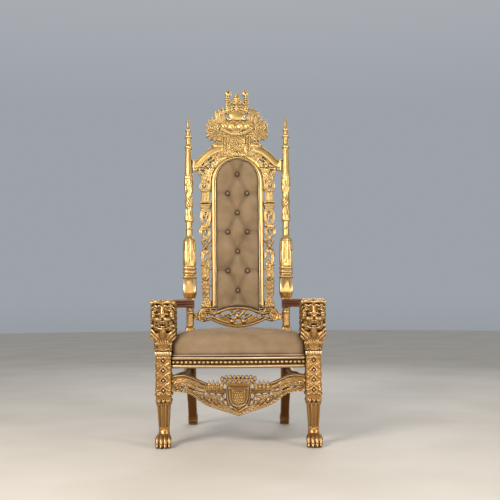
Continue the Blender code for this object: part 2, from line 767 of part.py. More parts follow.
def fretwork():
    """The right pierced strip of scrolls, leaves and panels between the frame and the open side."""
    carving = Carving((FRAME_HALF - 0.030, SHOULDER - 0.002), (0.212, FRETWORK_TOP + 0.006), 0.0032)
    middle = FRETWORK_CENTRE
    carving.stroke([(0.150, 0.222), (0.158, 0.250), (0.170, 0.272)], [0.024, 0.022, 0.014],
                   0.010, 0.002, lobes=3, lobe=0.2)
    carving.stroke([(0.183, 0.222), (0.181, 0.245), (0.172, 0.272)], [0.011, 0.012, 0.008],
                   0.009, 0.003)
    for husk in range(4):
        up = 0.290 + 0.0245 * husk
        reach = 0.0145 + 0.0022 * husk
        carving.stroke([(middle - 0.004, up - 0.012), (middle + 0.006, up),
                       (middle + 0.012, up + 0.014)],
                       [0.006, reach * 0.8, 0.004], 0.009, 0.003)
        carving.stroke([(middle - 0.006, up - 0.012), (middle - 0.010, up + 0.014)], [0.007, 0.010],
                       0.009, 0.003)
    for up, tall in ((0.4165, 0.036), (0.829, 0.031)):
        box = np.minimum(0.0195 - np.abs(carving.across - middle), tall - np.abs(carving.up - up))
        sunk = np.minimum(0.013 - np.abs(carving.across - middle),
                          tall - 0.006 - np.abs(carving.up - up))
        carving.add(box, np.where(sunk > 0, 0.004, 0.0085))
    carving.stroke([(0.166, 0.452), (0.182, 0.468), (0.187, 0.490), (0.183, 0.512), (0.172, 0.527)],
                   [0.016, 0.010, 0.0075, 0.0080, 0.011], 0.010, 0.002)
    carving.stroke([(0.172, 0.527), (0.152, 0.520), (0.146, 0.505), (0.141, 0.500)],
                   [0.010, 0.0065, 0.006, 0.008], 0.009, 0.002)
    carving.disc(0.160, 0.484, 0.0085, 0.009, 0.003)
    carving.stroke([(0.160, 0.484), (0.166, 0.462)], [0.006, 0.012], 0.008, 0.002)
    carving.stroke([(0.170, 0.530), (0.181, 0.552), (0.194, 0.570)], [0.0065, 0.0065, 0.0075],
                   0.009, 0.003)
    carving.stroke([(0.170, 0.530), (0.160, 0.548), (0.151, 0.562)], [0.0065, 0.006, 0.007],
                   0.009, 0.003)
    carving.stroke([(0.194, 0.570), (0.178, 0.575), (0.168, 0.594)], [0.0065, 0.0065, 0.009],
                   0.009, 0.003)
    carving.stroke([(0.148, 0.588), (0.168, 0.592), (0.182, 0.612)], [0.0075, 0.011, 0.007],
                   0.010, 0.003)
    carving.stroke([(0.168, 0.600), (0.154, 0.618), (0.155, 0.640), (0.168, 0.655), (0.184, 0.656),
                   (0.196, 0.645),
                    (0.197, 0.628), (0.186, 0.612)], [0.008, 0.007, 0.0065, 0.007, 0.009, 0.009, 0.008,
                    0.006], 0.010, 0.002)
    carving.stroke([(0.170, 0.650), (0.166, 0.632)], [0.007, 0.007], 0.008, 0.003)
    carving.stroke([(0.156, 0.668), (0.176, 0.668), (0.196, 0.663)], [0.011, 0.013, 0.009],
                   0.010, 0.003)
    carving.stroke([(0.176, 0.672), (0.190, 0.690), (0.195, 0.715), (0.190, 0.740), (0.174, 0.753),
                   (0.158, 0.748),
                    (0.149, 0.728), (0.151, 0.702), (0.160, 0.682)],
                   [0.008, 0.0065, 0.0065, 0.008, 0.009, 0.009, 0.0075, 0.008, 0.009], 0.010, 0.002)
    carving.stroke([(0.186, 0.742), (0.182, 0.722)], [0.009, 0.008], 0.008, 0.003)
    carving.stroke([(0.160, 0.735), (0.168, 0.712), (0.160, 0.694)], [0.008, 0.009, 0.008],
                   0.008, 0.003)
    carving.stroke([(middle, 0.757), (middle + 0.002, 0.782)], [0.020, 0.029],
                   0.009, 0.003, lobes=2, lobe=0.12)
    carving.pierce(0.0035 - np.hypot((carving.across - middle) * 0.25, carving.up - 0.7925))
    carving.stroke([(0.150, 0.792), (0.150, 0.802)], [0.006, 0.006], 0.007, 0.002)
    carving.stroke([(0.196, 0.792), (0.193, 0.802)], [0.006, 0.006], 0.007, 0.002)
    carving.stroke([(0.186, 0.862), (0.198, 0.876), (0.196, 0.896), (0.182, 0.908), (0.166, 0.904),
                   (0.159, 0.888),
                    (0.163, 0.870), (0.172, 0.862)], [0.007, 0.006, 0.0075, 0.008, 0.009, 0.008, 0.007,
                    0.006], 0.010, 0.002)
    carving.stroke([(0.178, 0.898), (0.181, 0.884)], [0.008, 0.0065], 0.009, 0.003)
    carving.stroke([(0.150, 0.870), (0.146, 0.900), (0.142, 0.930)], [0.006, 0.009, 0.012],
                   0.008, 0.002)
    carving.stroke([(0.174, 0.905), (0.173, 0.925), (0.168, 0.948)], [0.020, 0.025, 0.026],
                   0.010, 0.002, lobes=3, lobe=0.12)
    carving.stroke([(0.186, 0.945), (0.200, 0.966)], [0.012, 0.012], 0.009, 0.002)
    carving.stroke([(0.150, 0.940), (0.150, 0.965), (0.136, 0.985)], [0.018, 0.020, 0.026],
                   0.009, 0.002)
    carving.stroke([(0.190, 0.985), (0.165, 0.978)], [0.010, 0.012], 0.009, 0.002)
    for across, up, tall in ((0.196, 0.949, 0.005), (0.177, 0.957, 0.006), (0.183, 0.884, 0.0)):
        carving.pierce(tall - np.hypot(carving.across - across, (carving.up - up) * 0.6))
    carving.stroke([(0.144, 0.432), (0.154, 0.436)], [0.005, 0.005], 0.006, 0.002)
    carving.stroke([(0.143, 0.342), (0.160, 0.342)], [0.005, 0.006], 0.006, 0.002)
    strip = carving.solid(FRETWORK_BACK, back_place, 316)
    arch = outline_mesh(arch_points(FRAME_HALF + JOINT_GAP, FRAME_HALF + JOINT_GAP, SHOULDER - 0.05),
                        -0.05, 0.05)
    below = outline_mesh([(0.0, SHOULDER - 0.05), (0.3, SHOULDER - 0.05), (0.3, SHOULDER + JOINT_GAP),
                          (0.0, SHOULDER + JOINT_GAP)], -0.051, 0.051)
    above = outline_mesh([(0.0, FRETWORK_TOP), (0.3, FRETWORK_TOP), (0.3, FRETWORK_TOP + 0.05),
                          (0.0, FRETWORK_TOP + 0.05)], -0.052, 0.052)
    return combined(strip, [arch, below, above], "DIFFERENCE")


def post_cutters(up, radius):
    """Round cutters that seat a rail's ends against the posts at this height up the back."""
    lean_out = (POST_TIP_X - POST_X) / POST_LENGTH
    cutters = []
    for side in (1, -1):
        rings = []
        for level in (-0.08, 0.08):
            across = side * (POST_X + (up + level) * lean_out)
            ring = rounded_ring(radius, 2, 24)
            rings.append([back_place(across + x, up + level, forward) for x, forward in ring])
        cutters.append(loft_mesh(rings))
    return cutters


def crest():
    """The crest: crown, plumes, manes, torse and shield over the arch, in one with its sloping shoulders."""
    carving = Carving((-0.252, FRETWORK_TOP - 0.034), (0.252, CREST_TOP + 0.004), 0.0036, mirror=True)
    shoulder = [(0.246, 0.9925), (0.228, 1.000), (0.206, 1.018), (0.186, 1.045), (0.165, 1.068),
                 (0.140, 1.083), (0.110, 1.090)]
    carving.stroke(shoulder, [0.029, 0.030, 0.027, 0.026, 0.025, 0.023, 0.022], 0.008, 0.004)
    end = np.minimum(0.0285 - np.abs(carving.up - 0.9925), carving.across - 0.229)
    carving.add(np.minimum(end, 0.250 - carving.across), 0.013 + 0 * end)
    carving.stroke([(0.165, 0.992), (0.150, 1.010), (0.134, 1.030), (0.112, 1.050)],
                   [0.016, 0.016, 0.016, 0.018], 0.010, 0.002)
    carving.stroke([(0.190, 0.990), (0.176, 1.004), (0.160, 1.016)], [0.009, 0.010, 0.010],
                   0.009, 0.002)
    carving.stroke([(0.126, 1.008), (0.102, 1.032), (0.074, 1.048)], [0.014, 0.017, 0.017],
                   0.010, 0.002)
    for across, up in ((0.146, 1.038), (0.128, 1.034)):
        slot = (carving.across - across) * 0.7 + (carving.up - up) * 0.7
        along = (carving.across - across) * -0.7 + (carving.up - up) * 0.7
        carving.pierce(0.0055 - np.hypot(slot, along * 0.45))
    body = 0.150 - np.hypot(carving.across * 1.0, (carving.up - 1.170) * 1.55)
    carving.add(np.minimum(body, carving.up - 1.128), 0.006 + 0 * body)
    pillar = np.minimum(0.073 - carving.across, np.minimum(carving.up - 1.040, 1.30 - carving.up))
    carving.add(pillar, 0.004 + 0 * pillar)
    for fillet in (0.052, 0.066):
        carving.stroke([(fillet, 1.062), (fillet + 0.001, 1.160)], [0.0045, 0.0050], 0.008, 0.005)
    shield = np.minimum(0.0425 - carving.across, 1.162 - carving.up)
    shield = np.minimum(shield, 0.046 - np.hypot(carving.across, np.minimum(0, carving.up - 1.119)))
    carving.add(shield, np.where(shield > 0.006, 0.011, 0.016))
    carving.disc(0.0, 1.118, 0.018, 0.007, 0.010)
    for feather in range(4):
        angle = math.radians(90 + 24 * feather)
        tip = (-0.030 * math.cos(angle), 1.060 - 0.012 + 0.018 * math.sin(angle))
        carving.stroke([(0.0, 1.072), tip], [0.006, 0.0075], 0.010, 0.004)
    torse = [(0.085, 1.196), (0.055, 1.184), (0.025, 1.179), (0.0, 1.178)]
    carving.stroke(torse, [0.012, 0.012, 0.012, 0.012], 0.014, 0.010, lobes=9, lobe=0.2)
    for centre, reach, turns in (((0.136, 1.207), 0.034, 1), ((0.108, 1.178), 0.026, -1)):
        spiral = []
        for step in range(15):
            angle = turns * (0.6 + step * 0.48)
            radius = reach * (1 - step / 18)
            spiral.append((centre[0] + radius * math.cos(angle) * 0.85,
                          centre[1] + radius * math.sin(angle)))
        carving.stroke(spiral, [0.0095, 0.0085, 0.0075, 0.006], 0.013, 0.006)
        carving.disc(*centre, 0.010, 0.012, 0.008)
    for spike in range(6):
        angle = math.radians(28 + 22 * spike)
        start = (0.128 + 0.022 * math.cos(angle), 1.213 + 0.022 * math.sin(angle))
        tip = (0.128 + 0.047 * math.cos(angle), 1.213 + 0.047 * math.sin(angle))
        carving.stroke([start, tip], [0.0085, 0.0015], 0.009, 0.005)
    for spike in range(6):
        angle = math.radians(-110 + 24 * spike)
        start = (0.128 + 0.024 * math.cos(angle), 1.182 + 0.024 * math.sin(angle))
        tip = (0.128 + 0.050 * math.cos(angle), 1.182 + 0.048 * math.sin(angle))
        carving.stroke([start, tip], [0.0085, 0.0015], 0.009, 0.005)
    for tip in ((0.1215, 1.316), (0.106, 1.322), (0.088, 1.331)):
        carving.stroke([(0.088, 1.238), ((0.092 + tip[0]) / 2 + 0.004, 1.282), tip],
                       [0.017, 0.0125, 0.001], 0.012, 0.004)
    for lobe in range(3):
        carving.disc(0.022 + 0.026 * lobe, 1.226 + 0.004 * lobe, 0.016, 0.012, 0.006)
    carving.disc(0.0, 1.214, 0.018, 0.014, 0.008)
    carving.add(carving.oval(0, 1.284, 0.0425, 0.031), 0.010 + 0 * body)
    carving.add(carving.oval(0, 1.284, 0.0335, 0.0225), 0.014 + 0 * body)
    carving.stroke([(0.066, 1.262), (0.062, 1.300), (0.050, 1.325)], [0.013, 0.012, 0.015],
                   0.010, 0.003)
    crown = np.minimum(0.058 - carving.across, 1.375 - 0.35 * carving.across - carving.up)
    carving.add(np.minimum(crown, carving.up - 1.290), 0.007 + 0 * body)
    for jewel in range(4):
        carving.disc(0.018 * jewel, 1.322 - 0.003 * jewel, 0.008, 0.008, 0.006)
    carving.stroke([(0.0, 1.330), (0.0, 1.378)], [0.010, 0.008], 0.009, 0.006)
    carving.disc(0.0, 1.380, 0.013, 0.009, 0.006)
    disc_up = CREST_TOP - DISC_RADIUS
    carving.stroke([(0.0, 1.384), (0.0, CREST_TOP - 0.010)], [0.0125, 0.0015], 0.009, 0.005)
    for bead in range(5):
        carving.disc(0.0555 + 0.0006 * bead, 1.392 - 0.0165 * bead, 0.0108, 0.010, 0.005)
    carving.stroke([(0.053, disc_up - 0.010), (0.056, 1.320)], [0.008, 0.009], 0.006, 0.004)
    carving.disc(0.0475, disc_up, DISC_RADIUS, 0.010, 0.006)
    carving.pierce(0.0055 - np.hypot(carving.across - 0.0475, carving.up - disc_up))
    carving.pierce(0.0075 - np.hypot((carving.across - 0.0285) * 0.62, carving.up - 1.3430))
    slot = (carving.across - 0.049) * 0.55 - (carving.up - 1.284) * 0.83
    along = (carving.across - 0.049) * 0.83 + (carving.up - 1.284) * 0.55
    carving.pierce(0.0065 - np.hypot(slot * 0.45, along))
    carving.add(carving.oval(0.103, 1.110, 0.030, 0.017), 0.010 + 0 * body)
    carving.pierce(0.0062 - np.hypot((carving.across - 0.094) * 0.5, carving.up - 1.1335))
    carving.pierce(0.0050 - np.hypot((carving.across - 0.124) * 0.5, carving.up - 1.1335))
    piece = carving.solid(CREST_BACK, back_place, 704)
    inner = arch_points(FRAME_HALF + JOINT_GAP, FRAME_HALF + JOINT_GAP, FRETWORK_TOP - 0.20)
    cutters = [outline_mesh(inner, -0.06, 0.06)]
    low = FRETWORK_TOP + JOINT_GAP
    for side in (1, -1):
        corners = [(0.0, 0.90), (0.2125 * side, 0.90), (0.2125 * side, low), (0.0, low)]
        cutters.append(outline_mesh(corners, -0.061, 0.061))
    return combined(piece, cutters + post_cutters(0.995, POST_SEAT_RADIUS_TOP), "DIFFERENCE")


def lower_back_rail():
    """The pierced rail below the pad: scrolled ends, eyebrow moulding, tracery and scaled crescent."""
    carving = Carving((-0.252, 0.100), (0.252, BROW_TOP + 0.010), 0.0034, mirror=True)
    brow = [(0.118 - 0.0295 * k, float(brow_height(0.118 - 0.0295 * k)) - 0.0065) for k in range(5)]
    carving.stroke(brow, [0.0068], 0.013, 0.005)
    crescent = [(0.156, 0.176), (0.128, 0.161), (0.098, 0.148), (0.062, 0.137), (0.030, 0.131),
                 (0.0, 0.128)]
    carving.stroke(crescent, [0.006, 0.0105, 0.0115, 0.011, 0.010, 0.010],
                   0.009, 0.002, lobes=13, lobe=0.12)
    carving.stroke([(0.208, 0.176), (0.203, 0.196), (0.186, 0.208), (0.166, 0.208), (0.148, 0.196),
                   (0.130, 0.183), (0.112, 0.190)],
                   [0.008, 0.010, 0.011, 0.012, 0.012, 0.010, 0.008], 0.012, 0.004)
    carving.stroke([(0.196, 0.211), (0.160, 0.214), (0.120, 0.212)], [0.012, 0.013, 0.012],
                   0.008, 0.003)
    carving.stroke([(0.176, 0.160), (0.160, 0.158), (0.146, 0.166)], [0.008, 0.007, 0.008],
                   0.010, 0.003)
    carving.disc(0.190, 0.167, 0.0225, 0.012, 0.006)
    carving.disc(0.188, 0.167, 0.010, 0.012, 0.012)
    peg = np.minimum(0.0155 - np.abs(carving.up - 0.169), np.minimum(carving.across - 0.190,
                     0.2505 - carving.across))
    carving.add(peg, 0.010 + 0 * peg)
    carving.stroke([(0.112, 0.178), (0.096, 0.160), (0.076, 0.146)], [0.009, 0.0085, 0.007],
                   0.010, 0.003)
    carving.stroke([(0.088, 0.176), (0.072, 0.165), (0.056, 0.172)], [0.006, 0.0085, 0.005],
                   0.009, 0.003)
    carving.stroke([(0.060, 0.172), (0.046, 0.186), (0.050, 0.202)], [0.005, 0.0045, 0.0055],
                   0.009, 0.003)
    carving.stroke([(0.012, 0.168), (0.030, 0.188), (0.046, 0.204)], [0.006, 0.0045, 0.0045],
                   0.009, 0.003)
    carving.stroke([(0.046, 0.178), (0.030, 0.190), (0.016, 0.206)], [0.0045, 0.0045, 0.005],
                   0.009, 0.003)
    carving.stroke([(0.074, 0.150), (0.052, 0.158), (0.030, 0.166)], [0.005, 0.0055, 0.0055],
                   0.009, 0.003)
    carving.disc(0.0335, 0.1425, 0.0125, 0.012, 0.004)
    carving.disc(0.0, 0.163, 0.0135, 0.012, 0.004)
    carving.stroke([(0.0, 0.165), (0.0, 0.198), (0.0, 0.214)], [0.006, 0.0045, 0.006], 0.009, 0.003)
    carving.stroke([(0.022, 0.156), (0.012, 0.150)], [0.006, 0.006], 0.008, 0.003)
    opening = FRAME_HALF - FRAME_SIDE_WIDTH
    piece = carving.solid(LOWER_RAIL_BACK, back_place, 390)
    cutters = [outline_mesh(opening_outline(0.0), -0.056, 0.061)]
    for side in (1, -1):
        near, far = side * (opening - 0.001), side * 0.3
        corners = [(near, SHOULDER), (far, SHOULDER), (far, SHOULDER + 0.1), (near, SHOULDER + 0.1)]
        cutters.append(outline_mesh(corners, -0.05, 0.05))
    return combined(piece, cutters + post_cutters(0.169, POST_SEAT_RADIUS_LOW), "DIFFERENCE")


def back_pad():
    """The tufted velvet pad that fills the frame, hollowed round each button."""
    half = FRAME_HALF - FRAME_SIDE_WIDTH - PAD_GAP
    rise = FRAME_HALF - FRAME_TOP_WIDTH - PAD_GAP
    carving = Carving((-half - 0.010, BROW_TOP - BROW_DROP - 0.006),
                      (half + 0.010, FRAME_CENTRE + rise + 0.010), 0.0075)
    above = np.maximum(carving.up - FRAME_CENTRE, 0)
    away = np.hypot(carving.across / half, above / rise)
    past_frame = 0.003
    inside = np.minimum((1 - away) * half, carving.up - brow_height(carving.across)) + past_frame
    edge = np.clip(inside / 0.020, 0, 1)
    height = PAD_FRONT - 0.014 + 0.014 * np.sqrt(1 - (1 - edge) ** 2)
    height += PAD_CROWN * np.clip(1 - (carving.across / half) ** 2, 0, 1)
    for across, up in button_places():
        gap = np.hypot(carving.across - across, carving.up - up)
        height -= TUFT_DEPTH * np.exp(-((gap / 0.018) ** 2))
    carving.add(inside, height)
    pad = carving.solid(FRAME_BACK - 0.001, back_place, 190)
    pockets = []
    for across, up in button_places():
        ring = rounded_ring(1.45 * BUTTON_RADIUS, 2, 4)
        levels = (button_seat(), PAD_FRONT + PAD_CROWN + 0.02)
        pockets.append(loft_mesh([[back_place(across + x, up + y, level) for x,
                       y in ring] for level in levels]))
    opening = outline_mesh(opening_outline(PAD_GAP), -0.1, 0.1)
    return combined(combined(pad, [opening], "INTERSECT"), pockets, "DIFFERENCE")


def button_places():
    """Where the tufting buttons sit: a middle column of four, with three pairs between."""
    places = []
    for row in range(7):
        up = BUTTON_TOP - row * BUTTON_PITCH
        places += [(0.0, up)] if row % 2 == 0 else [(-BUTTON_SPREAD, up), (BUTTON_SPREAD, up)]
    return places


def button_seat():
    """How far forward a button's pocket is cut."""
    return PAD_FRONT + PAD_CROWN - TUFT_DEPTH - 0.002


def button(across, up):
    """A covered button: a low dome in its pocket."""
    seat = button_seat() + JOINT_GAP
    rings = []
    for level, share in ((0.0, 1.0), (0.0070, 0.6)):
        ring = rounded_ring(BUTTON_RADIUS * share, 2, 6)
        rings.append([back_place(across + x, up + y, seat + level) for x, y in ring])
    return loft_mesh(rings)


def back_cover():
    """The plain upholstered board behind the pad."""
    half = FRAME_HALF - FRAME_SIDE_WIDTH + 0.010
    rise = FRAME_HALF - FRAME_TOP_WIDTH + 0.006
    outline = arch_points(half, rise, SHOULDER + 0.002)
    low = -FRAME_BACK - JOINT_GAP - COVER_THICKNESS
    return outline_mesh(outline, low, -FRAME_BACK - JOINT_GAP)


def cushion():
    """The domed seat cushion, fitted round the front legs and the posts."""
    front = FRONT_LEG_Y - 0.020
    leg_side = FRONT_LEG_X - COLUMN_WIDTH / 2 - LEG_CLEARANCE
    leg_back = FRONT_LEG_Y + COLUMN_WIDTH / 2 + LEG_CLEARANCE
    post_front = BACK_FOOT_Y - REAR_LEG_WIDTH / 2 - 0.002
    post_side = POST_X - 0.003 - REAR_LEG_WIDTH / 2 - 0.0015
    wide, narrow = CUSHION_FRONT_WIDTH / 2, CUSHION_REAR_WIDTH / 2
    half = [
        (0.0, front - 0.014), (leg_side * 0.5, front - 0.010), (leg_side - 0.010, front),
        (leg_side, front + 0.008),
        (leg_side, leg_back), (wide - 0.006, leg_back), (wide, leg_back + 0.008),
        (wide - 0.3 * (wide - narrow), leg_back + 0.3 * (post_front - leg_back)),
        (wide - 0.7 * (wide - narrow), leg_back + 0.7 * (post_front - leg_back)),
        (narrow, post_front), (post_side, post_front), (post_side, BACK_FOOT_Y + 0.010),
        (post_side * 0.5, BACK_FOOT_Y + 0.012),
    ]
    outline = half + [(-x, y) for x, y in half[:0:-1]]
    middle = (0.0, (leg_back + post_front) / 2 - 0.02)
    rings = []
    levels = 4
    for level in range(levels + 1):
        angle = math.pi / 2 * level / levels
        share = max(0.07, max(0.0, math.cos(angle)) ** (2 / CUSHION_FULLNESS))
        side = RAIL_TOP + JOINT_GAP
        dome = (CUSHION_CROWN - side - CUSHION_EDGE) * math.sin(angle) ** (2 / CUSHION_FULLNESS)
        z = side + CUSHION_EDGE * min(1, level) + dome
        rings.append([(middle[0] + (x - middle[0]) * share, middle[1] + (y - middle[1]) * share,
                     z) for x, y in outline])
    return loft_mesh(rings)


def apron_carving(carving, half, top_lobe):
    """Half an apron's carving, which the grid mirrors: leaves, bar scroll, lower leaf and rib."""
    k = half / 0.3135
    at = [(0.313, 0.313), (0.272, 0.312), (0.234, 0.311), (0.200, 0.301), (0.170, 0.287),
           (0.150, 0.281)]
    carving.stroke([(u * k, v) for u, v in at], [0.026, 0.022, 0.0215, 0.020, 0.016, 0.010],
                   0.012, 0.002, lobes=5, lobe=0.12)
    carving.stroke([(0.290 * k, 0.300), (0.262 * k, 0.326), (0.215 * k, 0.322), (0.180 * k, 0.302)],
                   [0.006, 0.006, 0.005, 0.004], 0.013, 0.007)
    carving.stroke([(0.156 * k, 0.282), (0.116 * k, 0.276), (0.070 * k, 0.268)], [0.015, 0.016, 0.010],
                   0.011, 0.002)
    for tip in range(4):
        u = (0.146 - 0.022 * tip) * k
        carving.stroke([(u - 0.010, 0.276), (u + 0.002, 0.300 - 0.007 * tip)], [0.010, 0.0035],
                       0.011, 0.002)
    carving.stroke([(0.150 * k, 0.256), (0.110 * k, 0.257), (0.062 * k, 0.256)],
                   [0.0105, 0.0095, 0.0105], 0.010, 0.003)
    carving.stroke([(0.306 * k, 0.318), (0.298 * k, 0.292), (0.288 * k, 0.270)], [0.018, 0.018, 0.019],
                   0.009, 0.002)
    carving.disc(0.285 * k, 0.2680, 0.0195, 0.014, 0.002)
    carving.stroke([(0.268 * k, 0.290), (0.262 * k, 0.272), (0.250 * k, 0.262)],
                   [0.006, 0.0065, 0.007], 0.012, 0.003)
    rib = [(0.254, 0.264), (0.236, 0.268), (0.202, 0.250), (0.178, 0.224), (0.154, 0.204),
            (0.118, 0.192), (0.084, 0.184),
           (0.050, 0.169), (0.0, 0.1535)]
    carving.stroke([(u * k, v) for u, v in rib], [0.0065, 0.0065, 0.007, 0.007, 0.007, 0.0065, 0.006,
                   0.006, 0.0075], 0.014, 0.003)
    body = [(0.205, 0.256), (0.180, 0.238), (0.150, 0.222), (0.116, 0.208), (0.086, 0.198)]
    carving.stroke([(u * k, v) for u, v in body], [0.006, 0.015, 0.019, 0.017, 0.010],
                   0.010, 0.002, lobes=6, lobe=0.25)
    for tip in range(4):
        u = (0.142 - 0.021 * tip) * k
        carving.stroke([(u, 0.222 - 0.006 * tip), (u + 0.004, 0.247 - 0.006 * tip)], [0.0085, 0.0035],
                       0.011, 0.002)
    carving.stroke([(0.086 * k, 0.196), (0.074 * k, 0.214), (0.072 * k, 0.242)], [0.008, 0.006, 0.007],
                   0.010, 0.002)
    shield = np.minimum(0.0585 - carving.across, 0.289 - carving.up)
    lower = 0.0585 * np.sqrt(np.clip(1 - np.clip((0.226 - carving.up) / 0.064, 0, 1) ** 1.5, 0,
                             1)) - carving.across
    carving.add(np.minimum(shield, lower), np.where(np.minimum(shield, lower) > 0.008, 0.009, 0.015))
    carving.add(np.minimum(0.036 - carving.across, 0.028 - np.abs(carving.up - 0.242)),
                0.013 + 0 * shield)
    if top_lobe:
        crown = np.minimum(0.080 + 0.35 * (carving.up - 0.300) - carving.across, carving.up - 0.286)
        scallop = 0.3230 + 0.006 * np.abs(np.cos(carving.across / 0.090 * 2.5 * math.pi)) - carving.up
        carving.add(np.minimum(crown, scallop), 0.010 + 0 * crown)
    else:
        carving.stroke([(0.060, 0.292), (0.0, 0.300)], [0.010, 0.014], 0.010, 0.002)


def bowed_front(across, up, forward):
    """World points of the front apron, which bows out a little between the legs."""
    bow = APRON_BOW * (1 - (across / FRONT_LEG_X) ** 2)
    return across, FRONT_LEG_Y + 0.004 - bow - forward, up


def front_apron():
    """The pierced front apron with its crowned shield, between the front legs."""
    half = FRONT_LEG_X - COLUMN_WIDTH / 2 - JOINT_GAP
    carving = Carving((-half - 0.004, 0.138), (half + 0.004, 0.346), 0.0038, mirror=True)
    apron_carving(carving, half, True)
    piece = carving.solid(APRON_BACK, bowed_front, 604)
    ends = [box_mesh((side * (half + 0.1) - 0.1, -0.5, 0.05),
                     (side * (half + 0.1) + 0.1, 0.0, 0.45)) for side in (1, -1)]
    return combined(piece, ends, "DIFFERENCE")


def side_apron():
    """The right side apron, plainer and lower than the front one, from front leg to rear leg."""
    start = (FRONT_LEG_X - 0.008, FRONT_LEG_Y + COLUMN_WIDTH / 2 + JOINT_GAP)
    end = (POST_X - 0.003, BACK_FOOT_Y - REAR_LEG_WIDTH / 2 + 0.012)
    half = math.dist(start, end) / 2
    carving = Carving((-half - 0.004, 0.160), (half + 0.004, 0.346), 0.0046, mirror=True)
    apron_carving(carving, half, False)

    def place(across, up, forward):
        """World points of the apron, which runs in towards the back."""
        share = (across / half + 1) / 2
        return (
            start[0] + (end[0] - start[0]) * share + forward,
            start[1] + (end[1] - start[1]) * share,
            SIDE_APRON_TOP + (up - SIDE_APRON_TOP) * SIDE_APRON_SHARE,
        )

    piece = carving.solid(SIDE_APRON_BACK, place, 180)
    front_cut = box_mesh((0.0, start[1] - 0.05, 0.05), (0.5, start[1], 0.45))
    rear_cut = rear_leg_cutter()
    return combined(piece, [front_cut, rear_cut], "DIFFERENCE")


def rear_leg_cutter():
    """The right rear leg and the space behind its front face, which the side apron is cut to."""
    grown = REAR_LEG_WIDTH / 2 + JOINT_GAP
    front = [(0.45, 0.0), (0.340, 0.0), (0.270, 0.012), (0.200, 0.038), (0.130, 0.082)]
    rings = []
    for z, behind in front:
        y = BACK_FOOT_Y + behind - grown - 0.0006
        rings.append([(0.1, y, z), (0.4, y, z), (0.4, 0.5, z), (0.1, 0.5, z)])
    return loft_mesh(rings)


def build():
    """Makes every piece of the throne."""
    clear_scene()
    pieces = bpy.data.collections.new("throne")
    bpy.context.scene.collection.children.link(pieces)
    for name, maker in (
        ("front_leg", front_leg), ("arm", arm), ("rear_stile", rear_stile), ("side_rail", side_rail),
        ("side_apron", side_apron), ("fretwork", fretwork),
    ):
        mesh = maker()
        other = mirrored(mesh)
        new_object(name + "_right", mesh, GOLD, pieces)
        new_object(name + "_left", other, GOLD, pieces)
    for name, maker in (
        ("front_rail", front_rail), ("back_rail", back_rail), ("back_frame", back_frame),
        ("lower_back_rail", lower_back_rail), ("crest", crest), ("front_apron", front_apron),
    ):
        new_object(name, maker(), GOLD, pieces)
    for name, maker in (("seat_cushion", cushion), ("back_pad", back_pad), ("back_cover", back_cover)):
        new_object(name, maker(), VELVET, pieces)
    for count, (across, up) in enumerate(button_places(), 1):
        new_object(f"button_{count:02d}", button(across, up), VELVET, pieces)


HELPERS = bpy.data.collections.new("helpers")
bpy.context.scene.collection.children.link(HELPERS)
build()
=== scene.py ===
"""Looks of the throne: gold leaf over carved wood, with tan velvet on its seat and back.

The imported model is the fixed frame, in metres with +Z up and the throne facing -Y. Flat
carving is drawn as strokes on a grid (Relief), the front legs are modelled in a distance
field (Clay), and what repeats or follows a path is grown with Geometry Nodes. Places on the
leaning back are given across, up its slope and forward from it.
"""

import logging
import math
from collections.abc import Callable, Sequence
from dataclasses import dataclass, field
from enum import Enum

import bmesh
import bpy
import numpy as np
from mathutils import Matrix, Vector

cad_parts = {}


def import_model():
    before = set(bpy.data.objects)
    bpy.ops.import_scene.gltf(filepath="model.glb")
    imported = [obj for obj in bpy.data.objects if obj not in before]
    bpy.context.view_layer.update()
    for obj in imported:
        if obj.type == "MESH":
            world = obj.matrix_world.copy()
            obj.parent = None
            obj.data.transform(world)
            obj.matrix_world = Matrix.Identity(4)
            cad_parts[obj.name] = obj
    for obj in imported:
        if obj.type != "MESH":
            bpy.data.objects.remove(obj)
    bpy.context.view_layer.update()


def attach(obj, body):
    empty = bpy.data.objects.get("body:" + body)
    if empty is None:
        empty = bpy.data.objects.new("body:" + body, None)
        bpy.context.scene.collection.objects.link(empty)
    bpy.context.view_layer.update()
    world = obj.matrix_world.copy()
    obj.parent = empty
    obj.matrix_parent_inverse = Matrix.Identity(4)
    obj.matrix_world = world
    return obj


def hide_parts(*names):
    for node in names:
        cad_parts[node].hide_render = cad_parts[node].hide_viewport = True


LOG = logging.getLogger("throne")
MILLIMETRE = 0.001

Point = tuple[float, float]
Triple = tuple[float, float, float]
Tree = bpy.types.NodeTree
Node = bpy.types.Node
Socket = bpy.types.NodeSocket
Grids = tuple[np.ndarray, np.ndarray, np.ndarray]
Place = Callable[[np.ndarray, np.ndarray, np.ndarray], Grids]


def linear_colour(code: str, alpha: float = 1.0) -> tuple[float, float, float, float]:
    """Turns an sRGB hex colour into the linear values that Blender's sockets take.

    Args:
        code: Six hex digits.
        alpha: Opacity.

    Returns:
        Red, green, blue and alpha.
    """
    parts = [int(code[k : k + 2], 16) / 255 for k in (0, 2, 4)]
    red, green, blue = (c / 12.92 if c <= 0.04045 else ((c + 0.055) / 1.055) ** 2.4 for c in parts)
    return red, green, blue, alpha


def add_node(tree: Tree, kind: str, settings: dict | None = None, inputs: dict | None = None) -> Node:
    """Adds a node with its settings, and sets or links its inputs.

    Args:
        tree: The shader or geometry tree.
        kind: The node's type name.
        settings: The node's own properties.
        inputs: Values or other nodes' output sockets, by input name or number.

    Returns:
        The new node.
    """
    node = tree.nodes.new(kind)
    for name, value in (settings or {}).items():
        setattr(node, name, value)
    for key, value in (inputs or {}).items():
        if isinstance(value, bpy.types.NodeSocket):
            tree.links.new(value, node.inputs[key])
        else:
            node.inputs[key].default_value = value
    return node


